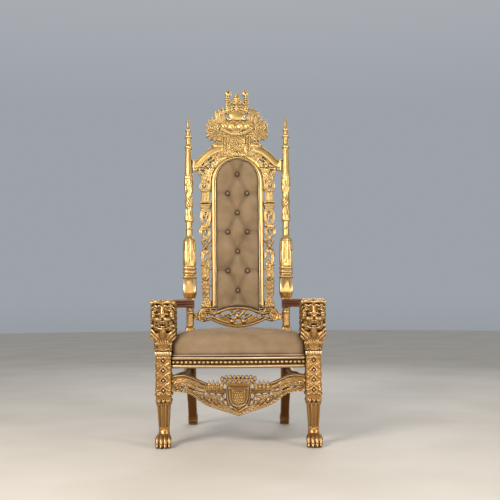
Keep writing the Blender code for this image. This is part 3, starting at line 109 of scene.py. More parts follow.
def mapped(tree: Tree, value: Socket, old: Point, new: Point, smooth: bool = False) -> Socket:
    """The value moved from its old range into a new one, and held inside it."""
    settings = {"interpolation_type": "SMOOTHSTEP"} if smooth else None
    ends = {"From Min": old[0], "From Max": old[1], "To Min": new[0], "To Max": new[1]}
    return add_node(tree, "ShaderNodeMapRange", settings, {"Value": value} | ends).outputs["Result"]


def blended(tree: Tree, share: Socket, first: Socket | Sequence[float], second: Sequence[float]) -> Socket:
    """Two colours mixed by a share of the second."""
    return add_node(tree, "ShaderNodeMix", {"data_type": "RGBA"},
                    {0: share, 6: first, 7: second}).outputs[2]


def worked(tree: Tree, operation: str, *values: Socket | float) -> Socket:
    """The result of a sum on sockets or numbers."""
    return add_node(tree, "ShaderNodeMath", {"operation": operation}, dict(enumerate(values))).outputs[0]


def noise(tree: Tree, place: Socket, size: float, detail: float, roughness: float = 0.5) -> Socket:
    """Soft noise with patches of about one size, in metres."""
    inputs = {"Vector": place, "Scale": 1 / size, "Detail": detail, "Roughness": roughness}
    return add_node(tree, "ShaderNodeTexNoise", None, inputs).outputs["Fac"]


def openness(tree: Tree, reach: float) -> Socket:
    """How open a place is to its surroundings: one on proud faces, and less in hollows."""
    inputs = {"Distance": reach}
    return add_node(tree, "ShaderNodeAmbientOcclusion", {"samples": 6}, inputs).outputs["AO"]


def bumped(tree: Tree, height: Socket, strength: float, depth: float) -> Socket:
    """A normal that follows a fine grain of some depth, in metres."""
    inputs = {"Strength": strength, "Distance": depth, "Height": height}
    return add_node(tree, "ShaderNodeBump", None, inputs).outputs["Normal"]


def ramp_stops(node: Node, stops: Sequence[tuple[float, str]]) -> None:
    """Gives a Color Ramp node its stops.

    Args:
        node: The ramp.
        stops: Position and sRGB hex colour of each stop, from low to high.
    """
    elements = node.color_ramp.elements
    while len(elements) < len(stops):
        elements.new(0.5)
    for element, (position, code) in zip(elements, stops):
        element.position = position
        element.color = linear_colour(code)


def empty_material(name: str) -> tuple[bpy.types.Material, bpy.types.ShaderNodeTree, object]:
    """A new node material, its tree and its Principled shader."""
    material = bpy.data.materials.new(name)
    material.use_nodes = True
    tree = material.node_tree
    return material, tree, tree.nodes["Principled BSDF"]


@dataclass(frozen=True)
class GoldLeaf:
    """Loose gold leaf laid on gesso over carved wood, then toned with brown wax.

    The metal is warm and satin. Wax stays in the hollows and dulls them to brown. Proud edges that face
    out and forward are painted pale and a little brighter: partly rubbed wear, partly painted highlight.
    The leaf is painted a deeper tone towards the floor as painted shade, and the rear legs behind and
    under the seat are painted mostly dark brown as painted shadow.
    """

    name: str
    leaf: str = "DCBB78"
    # pale rubbed colour: partly wear, partly painted highlight
    rubbed_and_highlight: str = "FDEBC0"
    # toned colour: random tone in the clouds, and also the painted shade towards the floor
    toned_and_low_shade: str = "8F5F2A"
    wax: str = "2C1606"
    # painted shadow colour of the rear legs behind and under the seat
    painted_rear_shadow: str = "6E4119"
    roughness: float = 0.28
    hollow_reach: float = 10 * MILLIMETRE
    leaf_size: float = 80 * MILLIMETRE
    brush_pitch: float = 3 * MILLIMETRE

    def rubbing_and_highlight(self, tree: Tree, spot: bpy.types.NodeOutputs) -> Socket:
        """The share of the pale rubbed colour on proud edges, though not on the back or on inner sides:
        partly wear, partly painted highlight.
        """
        surface = add_node(tree, "ShaderNodeNewGeometry").outputs
        proud = mapped(tree, surface["Pointiness"], (0.505, 0.6), (0.0, 0.85), smooth=True)
        facing = add_node(tree, "ShaderNodeSeparateXYZ", None, {"Vector": surface["True Normal"]}).outputs
        outwards = worked(tree, "MULTIPLY", facing["X"], spot["X"])
        not_inner = mapped(tree, outwards, (-0.24, -0.1), (0.0, 1.0))
        not_back = mapped(tree, facing["Y"], (0.55, 0.85), (1.0, 0.0))
        return worked(tree, "MULTIPLY", proud, worked(tree, "MULTIPLY", not_inner, not_back))

    def ground(self, tree: Tree, place: Socket, spot: bpy.types.NodeOutputs) -> Socket:
        """The leaf's colour in soft clouds, painted deeper towards the floor as painted shade, and painted
        dark brown behind and under the seat as painted shadow.
        """
        clouds = noise(tree, place, self.leaf_size, 4.0, 0.6)
        tone = mapped(tree, clouds, (0.35, 0.7), (0.0, 0.34))
        leaf = blended(tree, tone, linear_colour(self.leaf), linear_colour(self.toned_and_low_shade))
        # painted shade: the leaf turns to the toned colour towards the floor
        painted_low_shade = mapped(tree, spot["Z"], (0.4, 1.25), (0.74, 0.0), smooth=True)
        low_shaded_leaf = blended(tree, painted_low_shade, leaf, linear_colour(self.toned_and_low_shade))
        # painted shadow: the rear legs behind and below the seat turn mostly dark brown
        behind = mapped(tree, spot["Y"], (0.08, 0.17), (0.0, 0.9))
        below = mapped(tree, spot["Z"], (0.36, 0.44), (1.0, 0.0))
        rear_shadow_share = worked(tree, "MULTIPLY", behind, below)
        return blended(tree, rear_shadow_share, low_shaded_leaf, linear_colour(self.painted_rear_shadow))

    def build(self) -> bpy.types.Material:
        """Makes the material."""
        material, tree, shader = empty_material(self.name)
        place = add_node(tree, "ShaderNodeTexCoord").outputs["Object"]
        spot = add_node(tree, "ShaderNodeSeparateXYZ", None, {"Vector": place}).outputs
        brushed = noise(tree, place, self.brush_pitch, 3.0, 0.65)
        hollow = openness(tree, self.hollow_reach)
        depth = worked(tree, "ADD", hollow, worked(tree, "MULTIPLY_ADD", brushed, 0.22, -0.11))
        waxed = mapped(tree, depth, (0.34, 0.93), (1.0, 0.0), smooth=True)
        ground = self.ground(tree, place, spot)
        # pale proud edges: partly rubbed wear, partly painted highlight
        proud = blended(tree, self.rubbing_and_highlight(tree, spot), ground, linear_colour(self.rubbed_and_highlight))
        colour = blended(tree, waxed, proud, linear_colour(self.wax))
        dull = mapped(tree, waxed, (0.0, 1.0), (self.roughness, 0.62))
        rough = worked(tree, "MULTIPLY_ADD", brushed, 0.14, dull)
        metal = mapped(tree, waxed, (0.0, 1.0), (0.92, 0.35))
        tree.links.new(colour, shader.inputs["Base Color"])
        tree.links.new(rough, shader.inputs["Roughness"])
        tree.links.new(metal, shader.inputs["Metallic"])
        tree.links.new(bumped(tree, brushed, 0.22, 0.35 * MILLIMETRE), shader.inputs["Normal"])
        return material


@dataclass(frozen=True)
class Velvet:
    """Short-pile polyester velvet: matt, with a pale sheen where the pile is seen edge on.

    Stroked pile lies in soft patches that are a little lighter or darker, and the ground weave
    shows as a fine grain. Folds and tufts are painted dark brown as painted shade.
    """

    name: str
    pile: str = "887358"
    stroked: str = "98816A"
    shaded: str = "745F49"
    # painted shade colour for folds and tufts
    painted_fold_shade: str = "38261A"
    sheen: str = "E2D2BC"
    sheen_weight: float = 0.28
    patch: float = 90 * MILLIMETRE
    pile_pitch: float = 1.4 * MILLIMETRE
    hollow_reach: float = 30 * MILLIMETRE

    def build(self) -> bpy.types.Material:
        """Makes the material."""
        material, tree, shader = empty_material(self.name)
        place = add_node(tree, "ShaderNodeTexCoord").outputs["Object"]
        patches = noise(tree, place, self.patch, 3.0)
        grain = noise(tree, place, self.pile_pitch, 2.0, 0.7)
        lay = worked(tree, "MULTIPLY_ADD", grain, 0.35, patches)
        ramp = add_node(tree, "ShaderNodeValToRGB", None, {"Fac": lay})
        ramp_stops(ramp, ((0.38, self.shaded), (0.66, self.pile), (1.0, self.stroked)))
        hollow = openness(tree, self.hollow_reach)
        # painted shade: folds and tufts darken to dark brown, by how open each place is
        painted_fold_shade = mapped(tree, hollow, (0.5, 0.98), (0.8, 0.0), smooth=True)
        colour = blended(tree, painted_fold_shade, ramp.outputs["Color"], linear_colour(self.painted_fold_shade))
        tree.links.new(colour, shader.inputs["Base Color"])
        tree.links.new(bumped(tree, grain, 0.3, 0.4 * MILLIMETRE), shader.inputs["Normal"])
        shader.inputs["Roughness"].default_value = 0.92
        shader.inputs["Specular IOR Level"].default_value = 0.15
        shader.inputs["Sheen Weight"].default_value = self.sheen_weight
        shader.inputs["Sheen Roughness"].default_value = 0.38
        shader.inputs["Sheen Tint"].default_value = linear_colour(self.sheen)
        return material


@dataclass(frozen=True)
class PaintedFloor:
    """A plain pale studio floor, matt with the faint mottle of rolled paint."""

    name: str = "pale floor paint"
    pale: str = "CFC9BF"
    mottle: str = "C6BFB4"

    def build(self) -> bpy.types.Material:
        """Makes the material."""
        material, tree, shader = empty_material(self.name)
        place = add_node(tree, "ShaderNodeTexCoord").outputs["Object"]
        clouds = noise(tree, place, 1 / 1.7, 4.0)
        ramp = add_node(tree, "ShaderNodeValToRGB", None, {"Fac": clouds})
        ramp_stops(ramp, ((0.35, self.mottle), (0.65, self.pale)))
        tree.links.new(ramp.outputs["Color"], shader.inputs["Base Color"])
        shader.inputs["Roughness"].default_value = 0.7
        return material


class Finish(Enum):
    """The finishes of the throne and of what it stands on."""

    GOLD = GoldLeaf("toned gold leaf")
    # the arms' rubbed colour is also partly painted highlight, and their toned colour also painted low
    # shade
    ARM_GOLD = GoldLeaf(
        "worn gold leaf on the arms", leaf="9A5018", rubbed_and_highlight="D0924A", toned_and_low_shade="70320E", wax="2A1106"
    )
    VELVET = Velvet("tan velvet")
    PIPING = Velvet("velvet piping", pile="A68670", stroked="B4947E", shaded="8E705A")
    FLOOR = PaintedFloor()

    def material(self) -> bpy.types.Material:
        """The finish's material, made the first time it is asked for."""
        return bpy.data.materials.get(self.value.name) or self.value.build()


def piece(name: str, mesh: bpy.types.Mesh, finish: Finish, nodes: Sequence[str] = ()) -> bpy.types.Object:
    """Puts a finished mesh in the scene as a piece of the throne.

    Args:
        name: The piece's name.
        mesh: Its mesh, in the frame's own coordinates.
        finish: Its finish.
        nodes: The CAD nodes it stands for.

    Returns:
        The piece, which rides on the throne's one body.
    """
    mesh.name = name
    mesh.materials.clear()
    mesh.materials.append(finish.material())
    mesh.polygons.foreach_set("material_index", np.zeros(len(mesh.polygons), np.int32))
    made = bpy.data.objects.new(name, mesh)
    bpy.context.scene.collection.objects.link(made)
    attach(made, "root")
    if nodes:
        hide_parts(*nodes)
    LOG.info("%s: %d faces", name, len(mesh.polygons))
    return made


def mesh_from(points: np.ndarray, faces: Sequence) -> bpy.types.Mesh:
    """A smooth-shaded mesh from points and faces."""
    mesh = bpy.data.meshes.new("shape")
    mesh.from_pydata(np.asarray(points).tolist(), [], [list(face) for face in faces])
    mesh.shade_smooth()
    return mesh


def modified(mesh: bpy.types.Mesh, steps: Sequence[tuple[str, dict]]) -> bpy.types.Mesh:
    """The mesh as a few modifiers leave it.

    Args:
        mesh: The mesh to start from.
        steps: Each modifier's type and settings.

    Returns:
        A new mesh without modifiers.
    """
    helper = bpy.data.objects.new("helper", mesh)
    bpy.context.scene.collection.objects.link(helper)
    for kind, settings in steps:
        modifier = helper.modifiers.new(kind, kind)
        for name, value in settings.items():
            setattr(modifier, name, value)
    graph = bpy.context.evaluated_depsgraph_get()
    graph.update()
    made = bpy.data.meshes.new_from_object(helper.evaluated_get(graph))
    bpy.data.objects.remove(helper, do_unlink=True)
    made.shade_smooth()
    return made


def thinned(mesh: bpy.types.Mesh, triangles: int) -> bpy.types.Mesh:
    """The same shape with at most about this many triangles, fewest where it is flattest."""
    now = sum(len(face.vertices) - 2 for face in mesh.polygons)
    if now <= triangles:
        return mesh
    return modified(mesh, [("TRIANGULATE", {}), ("DECIMATE", {"ratio": triangles / now})])


def outward(mesh: bpy.types.Mesh) -> bpy.types.Mesh:
    """The same mesh with its doubles merged and its normals pointing outwards."""
    shape = bmesh.new()
    shape.from_mesh(mesh)
    bmesh.ops.remove_doubles(shape, verts=shape.verts, dist=1e-6)
    bmesh.ops.recalc_face_normals(shape, faces=shape.faces)
    shape.to_mesh(mesh)
    shape.free()
    mesh.shade_smooth()
    return mesh


def mirrored(mesh: bpy.types.Mesh) -> bpy.types.Mesh:
    """The same shape on the throne's other side."""
    other = mesh.copy()
    other.transform(Matrix.Diagonal((-1.0, 1.0, 1.0, 1.0)))
    other.flip_normals()
    return other


def joined(meshes: Sequence[bpy.types.Mesh]) -> bpy.types.Mesh:
    """One mesh that holds several."""
    shape = bmesh.new()
    for part in meshes:
        shape.from_mesh(part)
    mesh = bpy.data.meshes.new("joined")
    shape.to_mesh(mesh)
    shape.free()
    mesh.shade_smooth()
    return mesh


def lofted(rings: np.ndarray, closed_ends: bool = True) -> bpy.types.Mesh:
    """A skin over rings of points.

    Args:
        rings: Points, as levels by sides by three.
        closed_ends: Whether the first and last ring get a face.

    Returns:
        The mesh, with its normals outwards.
    """
    levels, sides = rings.shape[:2]
    index = np.arange(levels * sides).reshape(levels, sides)
    after = np.roll(index, -1, axis=1)
    quads = np.stack([index[:-1], after[:-1], after[1:], index[1:]], -1).reshape(-1, 4).tolist()
    if closed_ends:
        quads += [index[0][::-1].tolist(), index[-1].tolist()]
    return outward(mesh_from(rings.reshape(-1, 3), quads))


def smooth_path(path: Sequence[Sequence[float]], spans: int = 7) -> np.ndarray:
    """A Catmull-Rom curve through points.

    Args:
        path: The points.
        spans: Steps between two of them.

    Returns:
        The curve's points.
    """
    points = np.asarray(path, float)
    if len(points) < 3:
        return points
    padded = np.concatenate([[2 * points[0] - points[1]], points, [2 * points[-1] - points[-2]]])
    share = np.linspace(0, 1, spans, endpoint=False)[:, None]
    curve = []
    for a, b, c, d in zip(padded, padded[1:], padded[2:], padded[3:]):
        bend, twist = 2 * a - 5 * b + 4 * c - d, 3 * b - a - 3 * c + d
        curve.append(0.5 * (2 * b + (c - a) * share + bend * share**2 + twist * share**3))
    return np.concatenate([*curve, points[-1:]])


def spiral_path(centre: Point, reach: float, start: float, turns: float, last: float = 0.22) -> list[Point]:
    """A spiral from its outside to near its middle.

    Args:
        centre: Its middle.
        reach: Its outer radius.
        start: Where it starts, in degrees.
        turns: How far it winds, anticlockwise if above zero.
        last: Its inner radius as a share of the outer one.

    Returns:
        The points.
    """
    steps = max(6, round(abs(turns) * 10))
    path = []
    for step in range(steps + 1):
        share = step / steps
        angle = math.radians(start) + 2 * math.pi * turns * share
        radius = reach * (1 - (1 - last) * share)
        path.append((centre[0] + radius * math.cos(angle), centre[1] + radius * math.sin(angle)))
    return path


@dataclass(frozen=True)
class BackPlane:
    """The plane that the throne's back leans in."""

    lean: float = math.radians(6.5)
    foot_y: float = 0.2
    foot_z: float = 0.42

    def __call__(self, across: np.ndarray, up: np.ndarray, forward: np.ndarray) -> Grids:
        """World coordinates of points across, up and forward of the back."""
        y = self.foot_y + up * math.sin(self.lean) - forward * math.cos(self.lean)
        z = self.foot_z + up * math.cos(self.lean) + forward * math.sin(self.lean)
        return across, y, z


BACK = BackPlane()


class Section(Enum):
    """How a carved band is rounded across its width."""

    ROUND = "round"
    HOLLOW = "hollow"
    RIDGE = "ridge"
    FLAT = "flat"
    LEAF = "leaf"
    TWIST = "twist"


@dataclass
class Relief:
    """Low carving on a grid: where there is wood, and how far it stands forward.

    Attributes:
        low: The grid's lowest corner.
        high: Its highest corner.
        step: The distance between its points.
        symmetric: Whether only the half at and above zero across is drawn, and then mirrored.
    """

    low: Point
    high: Point
    step: float = 1.4 * MILLIMETRE
    symmetric: bool = False
    across: np.ndarray = field(init=False)
    up: np.ndarray = field(init=False)
    inside: np.ndarray = field(init=False)
    height: np.ndarray = field(init=False)

    def __post_init__(self) -> None:
        """Lays out the grid, which starts with no wood."""
        first = 0.0 if self.symmetric else self.low[0]
        self.across = np.arange(first, self.high[0] + self.step, self.step)
        self.up = np.arange(self.low[1], self.high[1] + self.step, self.step)
        self.inside = np.full((len(self.across), len(self.up)), -1.0)
        self.height = np.zeros((len(self.across), len(self.up)))

    def window(self, low: Point, high: Point) -> tuple[tuple[slice, slice], np.ndarray, np.ndarray]:
        """The part of the grid between two corners.

        Returns:
            Its slices, and its points' coordinates across and up.
        """
        margin = 3 * self.step
        i = np.searchsorted(self.across, (low[0] - margin, high[0] + margin))
        j = np.searchsorted(self.up, (low[1] - margin, high[1] + margin))
        part = (slice(i[0], i[1]), slice(j[0], j[1]))
        return part, self.across[part[0]][:, None], self.up[part[1]][None, :]

    def join(self, part: tuple[slice, ...], inside: np.ndarray, height: np.ndarray | float) -> None:
        """Joins a form on, keeping whichever stands higher."""
        near = inside > -1.6 * self.step
        old = self.height[part]
        self.height[part] = np.where(near, np.maximum(old, height), old)
        self.inside[part] = np.maximum(self.inside[part], inside)

    def to_path(
        self, across: np.ndarray, up: np.ndarray, points: np.ndarray
    ) -> tuple[np.ndarray, np.ndarray, np.ndarray, float]:
        """How far grid points are from a path, how far along it, and on which side."""
        away = np.full(np.broadcast_shapes(across.shape, up.shape), 9.0)
        along = np.zeros(away.shape)
        side = np.zeros(away.shape)
        spans = np.linalg.norm(np.diff(points, axis=0), axis=1)
        total = spans.sum()
        start = 0.0
        for a, b, span in zip(points, points[1:], spans):
            if span < 1e-9:
                continue
            du, dv = (b - a) / span
            t = np.clip((across - a[0]) * du + (up - a[1]) * dv, 0, span)
            across_gap, up_gap = across - a[0] - t * du, up - a[1] - t * dv
            gap = np.hypot(across_gap, up_gap)
            nearer = gap < away
            away = np.where(nearer, gap, away)
            along = np.where(nearer, (start + t) / total, along)
            side = np.where(nearer, np.sign(du * up_gap - dv * across_gap), side)
            start += span
        return away, along, side, total

    def band(
        self,
        path: Sequence[Point],
        widths: Sequence[float],
        rise: float,
        base: float = 0.003,
        section: Section = Section.ROUND,
        lobes: float = 0,
        lobe: float = 0.35,
        pitch: float = 7 * MILLIMETRE,
    ) -> None:
        """Carves a band along a path.

        Args:
            path: Points that the middle of the band runs through.
            widths: Half widths, evenly spaced along it.
            rise: How far its crown stands above its base.
            base: How far its edge stands above the ground.
            section: How it is rounded.
            lobes: How many lobes each edge of a leaf has.
            lobe: How deep they are cut, as a share of the width.
            pitch: Distance between the strands of a twisted band.
        """
        points = smooth_path(path)
        reach = max(widths)
        part, across, up = self.window(points.min(0) - reach, points.max(0) + reach)
        if 0 in self.inside[part].shape:
            return
        away, along, side, total = self.to_path(across, up, points)
        width = np.interp(along, np.linspace(0, 1, len(widths)), widths)
        ratio = np.clip(away / np.maximum(width, 1e-6), 0, 1)
        wave = np.ones(away.shape)
        if lobes:
            wave = np.abs(np.sin(math.pi * (lobes * along - 0.45 * ratio)))
            width = width * (1 - lobe * (1 - wave**0.6))
            ratio = np.clip(away / np.maximum(width, 1e-6), 0, 1)
        round_back = np.sqrt(1 - ratio**2)
        if section is Section.ROUND:
            height = base + rise * round_back
        elif section is Section.HOLLOW:
            height = base + rise * (0.62 + 0.38 * np.clip(ratio / 0.75, 0, 1) ** 2)
        elif section is Section.RIDGE:
            height = base + rise * (1 - 0.75 * ratio)
        elif section is Section.FLAT:
            height = base + rise + 0 * ratio
        elif section is Section.TWIST:
            strand = np.abs(np.sin(math.pi * (along * total / pitch + 0.55 * side * ratio)))
            height = base + rise * round_back * (0.55 + 0.45 * strand**0.6)
        else:
            rib = np.exp(-((away / (1.3 * MILLIMETRE)) ** 2)) + np.exp(-(((ratio - 0.62) / 0.12) ** 2))
            height = base + rise * (0.35 + 0.65 * round_back) * (0.86 + 0.14 * wave) - 0.32 * rise * rib
        self.join(part, width - away, height)

    def dome(self, across: float, up: float, radius: float, rise: float, base: float = 0.003) -> None:
        """Carves a round boss."""
        self.oval(across, up, radius, radius, rise, base)

    def oval(
        self, across: float, up: float, wide: float, tall: float, rise: float, base: float = 0.003,
        rim: float = 0.0
    ) -> None:
        """Carves an oval boss, with a raised rim if one is asked for."""
        part, u, v = self.window((across - wide, up - tall), (across + wide, up + tall))
        away = np.hypot((u - across) / wide, (v - up) / tall)
        height = base + rise * np.sqrt(np.clip(1 - away**2, 0, 1))
        if rim:
            height = height + rim * np.exp(-(((away - 0.86) / 0.09) ** 2))
        self.join(part, (1 - away) * min(wide, tall), height)

    def plate(self, corners: Sequence[Point], height: float, rim: float = 0.0,
              rim_width: float = 0.003) -> None:
        """Carves a flat plate with any outline, with a raised rim if one is asked for."""
        points = np.asarray(corners, float)
        part, u, v = self.window(points.min(0), points.max(0))
        inside = self.polygon(u, v, points)
        raised = np.clip(1 - np.abs(inside - rim_width) / rim_width, 0, 1)
        self.join(part, inside, height + rim * np.sqrt(raised))

    @staticmethod
    def polygon(across: np.ndarray, up: np.ndarray, points: np.ndarray) -> np.ndarray:
        """How far grid points are inside a polygon."""
        away = np.full(np.broadcast_shapes(across.shape, up.shape), 9.0)
        odd = np.zeros(away.shape, bool)
        for a, b in zip(points, np.roll(points, -1, axis=0)):
            edge = b - a
            length = max(float(edge @ edge), 1e-12)
            t = np.clip(((across - a[0]) * edge[0] + (up - a[1]) * edge[1]) / length, 0, 1)
            away = np.minimum(away, np.hypot(across - a[0] - t * edge[0], up - a[1] - t * edge[1]))
            if a[1] != b[1]:
                crossing = a[0] + (up - a[1]) * edge[0] / edge[1]
                odd ^= ((a[1] > up) != (b[1] > up)) & (across < crossing)
        return np.where(odd, away, -away)

    def scroll(
        self, centre: Point, reach: float, start: float, turns: float, width: float, rise: float,
        base: float = 0.004
    ) -> None:
        """Carves a volute: a hollowed band that winds in to a round eye."""
        path = spiral_path(centre, reach, start, turns)
        self.band(path, [width, 0.85 * width, 0.6 * width], rise, base, Section.HOLLOW)
        self.dome(centre[0], centre[1], 0.3 * reach, rise, base + 0.002)

    def beads(self, path: Sequence[Point], count: int, radius: float, rise: float, base: float) -> None:
        """Carves a row of round beads along a path."""
        points = smooth_path(path)
        gone = np.concatenate([[0], np.cumsum(np.linalg.norm(np.diff(points, axis=0), axis=1))])
        for place in np.linspace(0, gone[-1], count):
            across, up = (float(np.interp(place, gone, points[:, k])) for k in range(2))
            self.dome(across, up, radius, rise, base)

    def engrave(self, path: Sequence[Point], width: float, depth: float) -> None:
        """Cuts a groove along a path into what is there."""
        points = smooth_path(path)
        part, across, up = self.window(points.min(0) - 2 * width, points.max(0) + 2 * width)
        if 0 in self.inside[part].shape:
            return
        away = self.to_path(across, up, points)[0]
        self.height[part] -= depth * np.exp(-((away / width) ** 2))

    def pierce(self, path: Sequence[Point], widths: Sequence[float]) -> None:
        """Cuts a slot right through along a path, or a round hole where it has one point."""
        points = smooth_path(path if len(path) > 1 else [path[0], (path[0][0] + 1e-5, path[0][1])])
        reach = max(widths)
        part, across, up = self.window(points.min(0) - reach, points.max(0) + reach)
        if 0 in self.inside[part].shape:
            return
        away, along, _, _ = self.to_path(across, up, points)
        width = np.interp(along, np.linspace(0, 1, len(widths)), widths)
        self.inside[part] = np.minimum(self.inside[part], away - width)

    def trim(self, inside: Callable[[np.ndarray, np.ndarray], np.ndarray]) -> None:
        """Keeps only the wood where a function of across and up is above zero."""
        self.inside = np.minimum(self.inside, inside(self.across[:, None], self.up[None, :]))

    def sampled(self, across: np.ndarray, up: np.ndarray) -> np.ndarray:
        """The height at any places, read from the grid between its points."""
        if self.symmetric:
            across = np.abs(across)
        i = np.clip((across - self.across[0]) / self.step, 0, len(self.across) - 1.001)
        j = np.clip((up - self.up[0]) / self.step, 0, len(self.up) - 1.001)
        i, j = np.broadcast_arrays(i, j)
        low_i, low_j = i.astype(int), j.astype(int)
        share_i, share_j = i - low_i, j - low_j
        near = self.height[low_i, low_j] * (1 - share_j) + self.height[low_i, low_j + 1] * share_j
        far = self.height[low_i + 1, low_j] * (1 - share_j) + self.height[low_i + 1, low_j + 1] * share_j
        return near * (1 - share_i) + far * share_i

    def whole(self) -> tuple[np.ndarray, np.ndarray, np.ndarray]:
        """The coordinates across, the inside and the height of the full grid."""
        if not self.symmetric:
            return self.across, self.inside, self.height
        return (
            np.concatenate([-self.across[:0:-1], self.across]),
            np.concatenate([self.inside[:0:-1], self.inside]),
            np.concatenate([self.height[:0:-1], self.height]),
        )

    @staticmethod
    def largest(inside: np.ndarray) -> np.ndarray:
        """The grid without the loose islands round its largest patch of wood."""
        wood = inside > 0
        label = np.where(wood, np.arange(1, wood.size + 1, dtype=np.int32).reshape(wood.shape), 0)
        while True:
            grown = label.copy()
            grown[1:] = np.maximum(grown[1:], label[:-1])
            grown[:-1] = np.maximum(grown[:-1], label[1:])
            grown[:, 1:] = np.maximum(grown[:, 1:], grown[:, :-1])
            grown[:, :-1] = np.maximum(grown[:, :-1], grown[:, 1:])
            grown = np.where(wood, grown, 0)
            if (grown == label).all():
                break
            label = grown
        names, counts = np.unique(label[label > 0], return_counts=True)
        return np.where(wood & (label != names[counts.argmax()]), -0.001, inside)

    def mesh(self, back: float, place: Place, triangles: int, lip: float = 0.0028) -> bpy.types.Mesh:
        """Turns the carving into a closed mesh with a flat back.

        Args:
            back: How far the flat back lies behind the ground.
            place: Turns across, up and forward into world coordinates.
            triangles: About how many triangles it may have.
            lip: How far in from each edge the surface rounds over.

        Returns:
            The mesh.
        """
        across, inside, height = self.whole()
        inside = self.largest(inside)
        inside[0], inside[-1] = np.minimum(inside[0], -1e-5), np.minimum(inside[-1], -1e-5)
        inside[:, 0], inside[:, -1] = np.minimum(inside[:, 0], -1e-5), np.minimum(inside[:, -1], -1e-5)
        shoulder = np.sqrt(1 - (1 - np.clip(inside / lip, 0, 1)) ** 2)
        height = height * (0.42 + 0.58 * shoulder)
        wood = inside > 0
        cells = wood[:-1, :-1] | wood[1:, :-1] | wood[1:, 1:] | wood[:-1, 1:]
        used = np.zeros(wood.shape, bool)
        for di, dj in ((0, 0), (1, 0), (1, 1), (0, 1)):
            used[di : di + cells.shape[0], dj : dj + cells.shape[1]] |= cells
        slope = np.stack(np.gradient(inside, self.step), -1)
        steep = np.maximum((slope**2).sum(-1), 0.2)
        move = np.where(wood, 0, -inside / steep)[..., None] * slope
        reach = np.linalg.norm(move, axis=-1, keepdims=True)
        move *= np.minimum(1, 1.2 * self.step / np.maximum(reach, 1e-12))
        grid = np.stack(np.meshgrid(across, self.up, indexing="ij"), -1) + move
        index = np.full(wood.shape, -1)
        index[used] = np.arange(used.sum())
        flat = grid[used]
        front = np.concatenate([flat, height[used][:, None]], 1)
        rear = np.concatenate([flat, np.full((len(flat), 1), -back)], 1)
        i, j = np.nonzero(cells)
        quads = np.stack([index[i, j], index[i + 1, j], index[i + 1, j + 1], index[i, j + 1]], -1)
        edges = np.stack([quads, np.roll(quads, -1, axis=1)], -1).reshape(-1, 2)
        names = np.sort(edges, axis=1) @ np.array([len(flat), 1])
        _, first, count = np.unique(names, return_index=True, return_counts=True)
        rim = edges[first[count == 1]]
        walls = np.stack([rim[:, 1], rim[:, 0], rim[:, 0] + len(flat), rim[:, 1] + len(flat)], -1)
        everything = np.concatenate([front, rear])
        faces = np.concatenate([quads, quads[:, ::-1] + len(flat), walls])
        placed = np.stack(np.broadcast_arrays(*place(*everything.T)), -1)
        return thinned(outward(mesh_from(placed, faces)), triangles // (1))


def least(a: np.ndarray, b: np.ndarray, soft: float) -> np.ndarray:
    """The smaller of two distances, with their corner melted over this width."""
    blend = np.clip(1 - np.abs(a - b) / soft, 0, 1)
    return np.minimum(a, b) - 0.25 * soft * blend**2


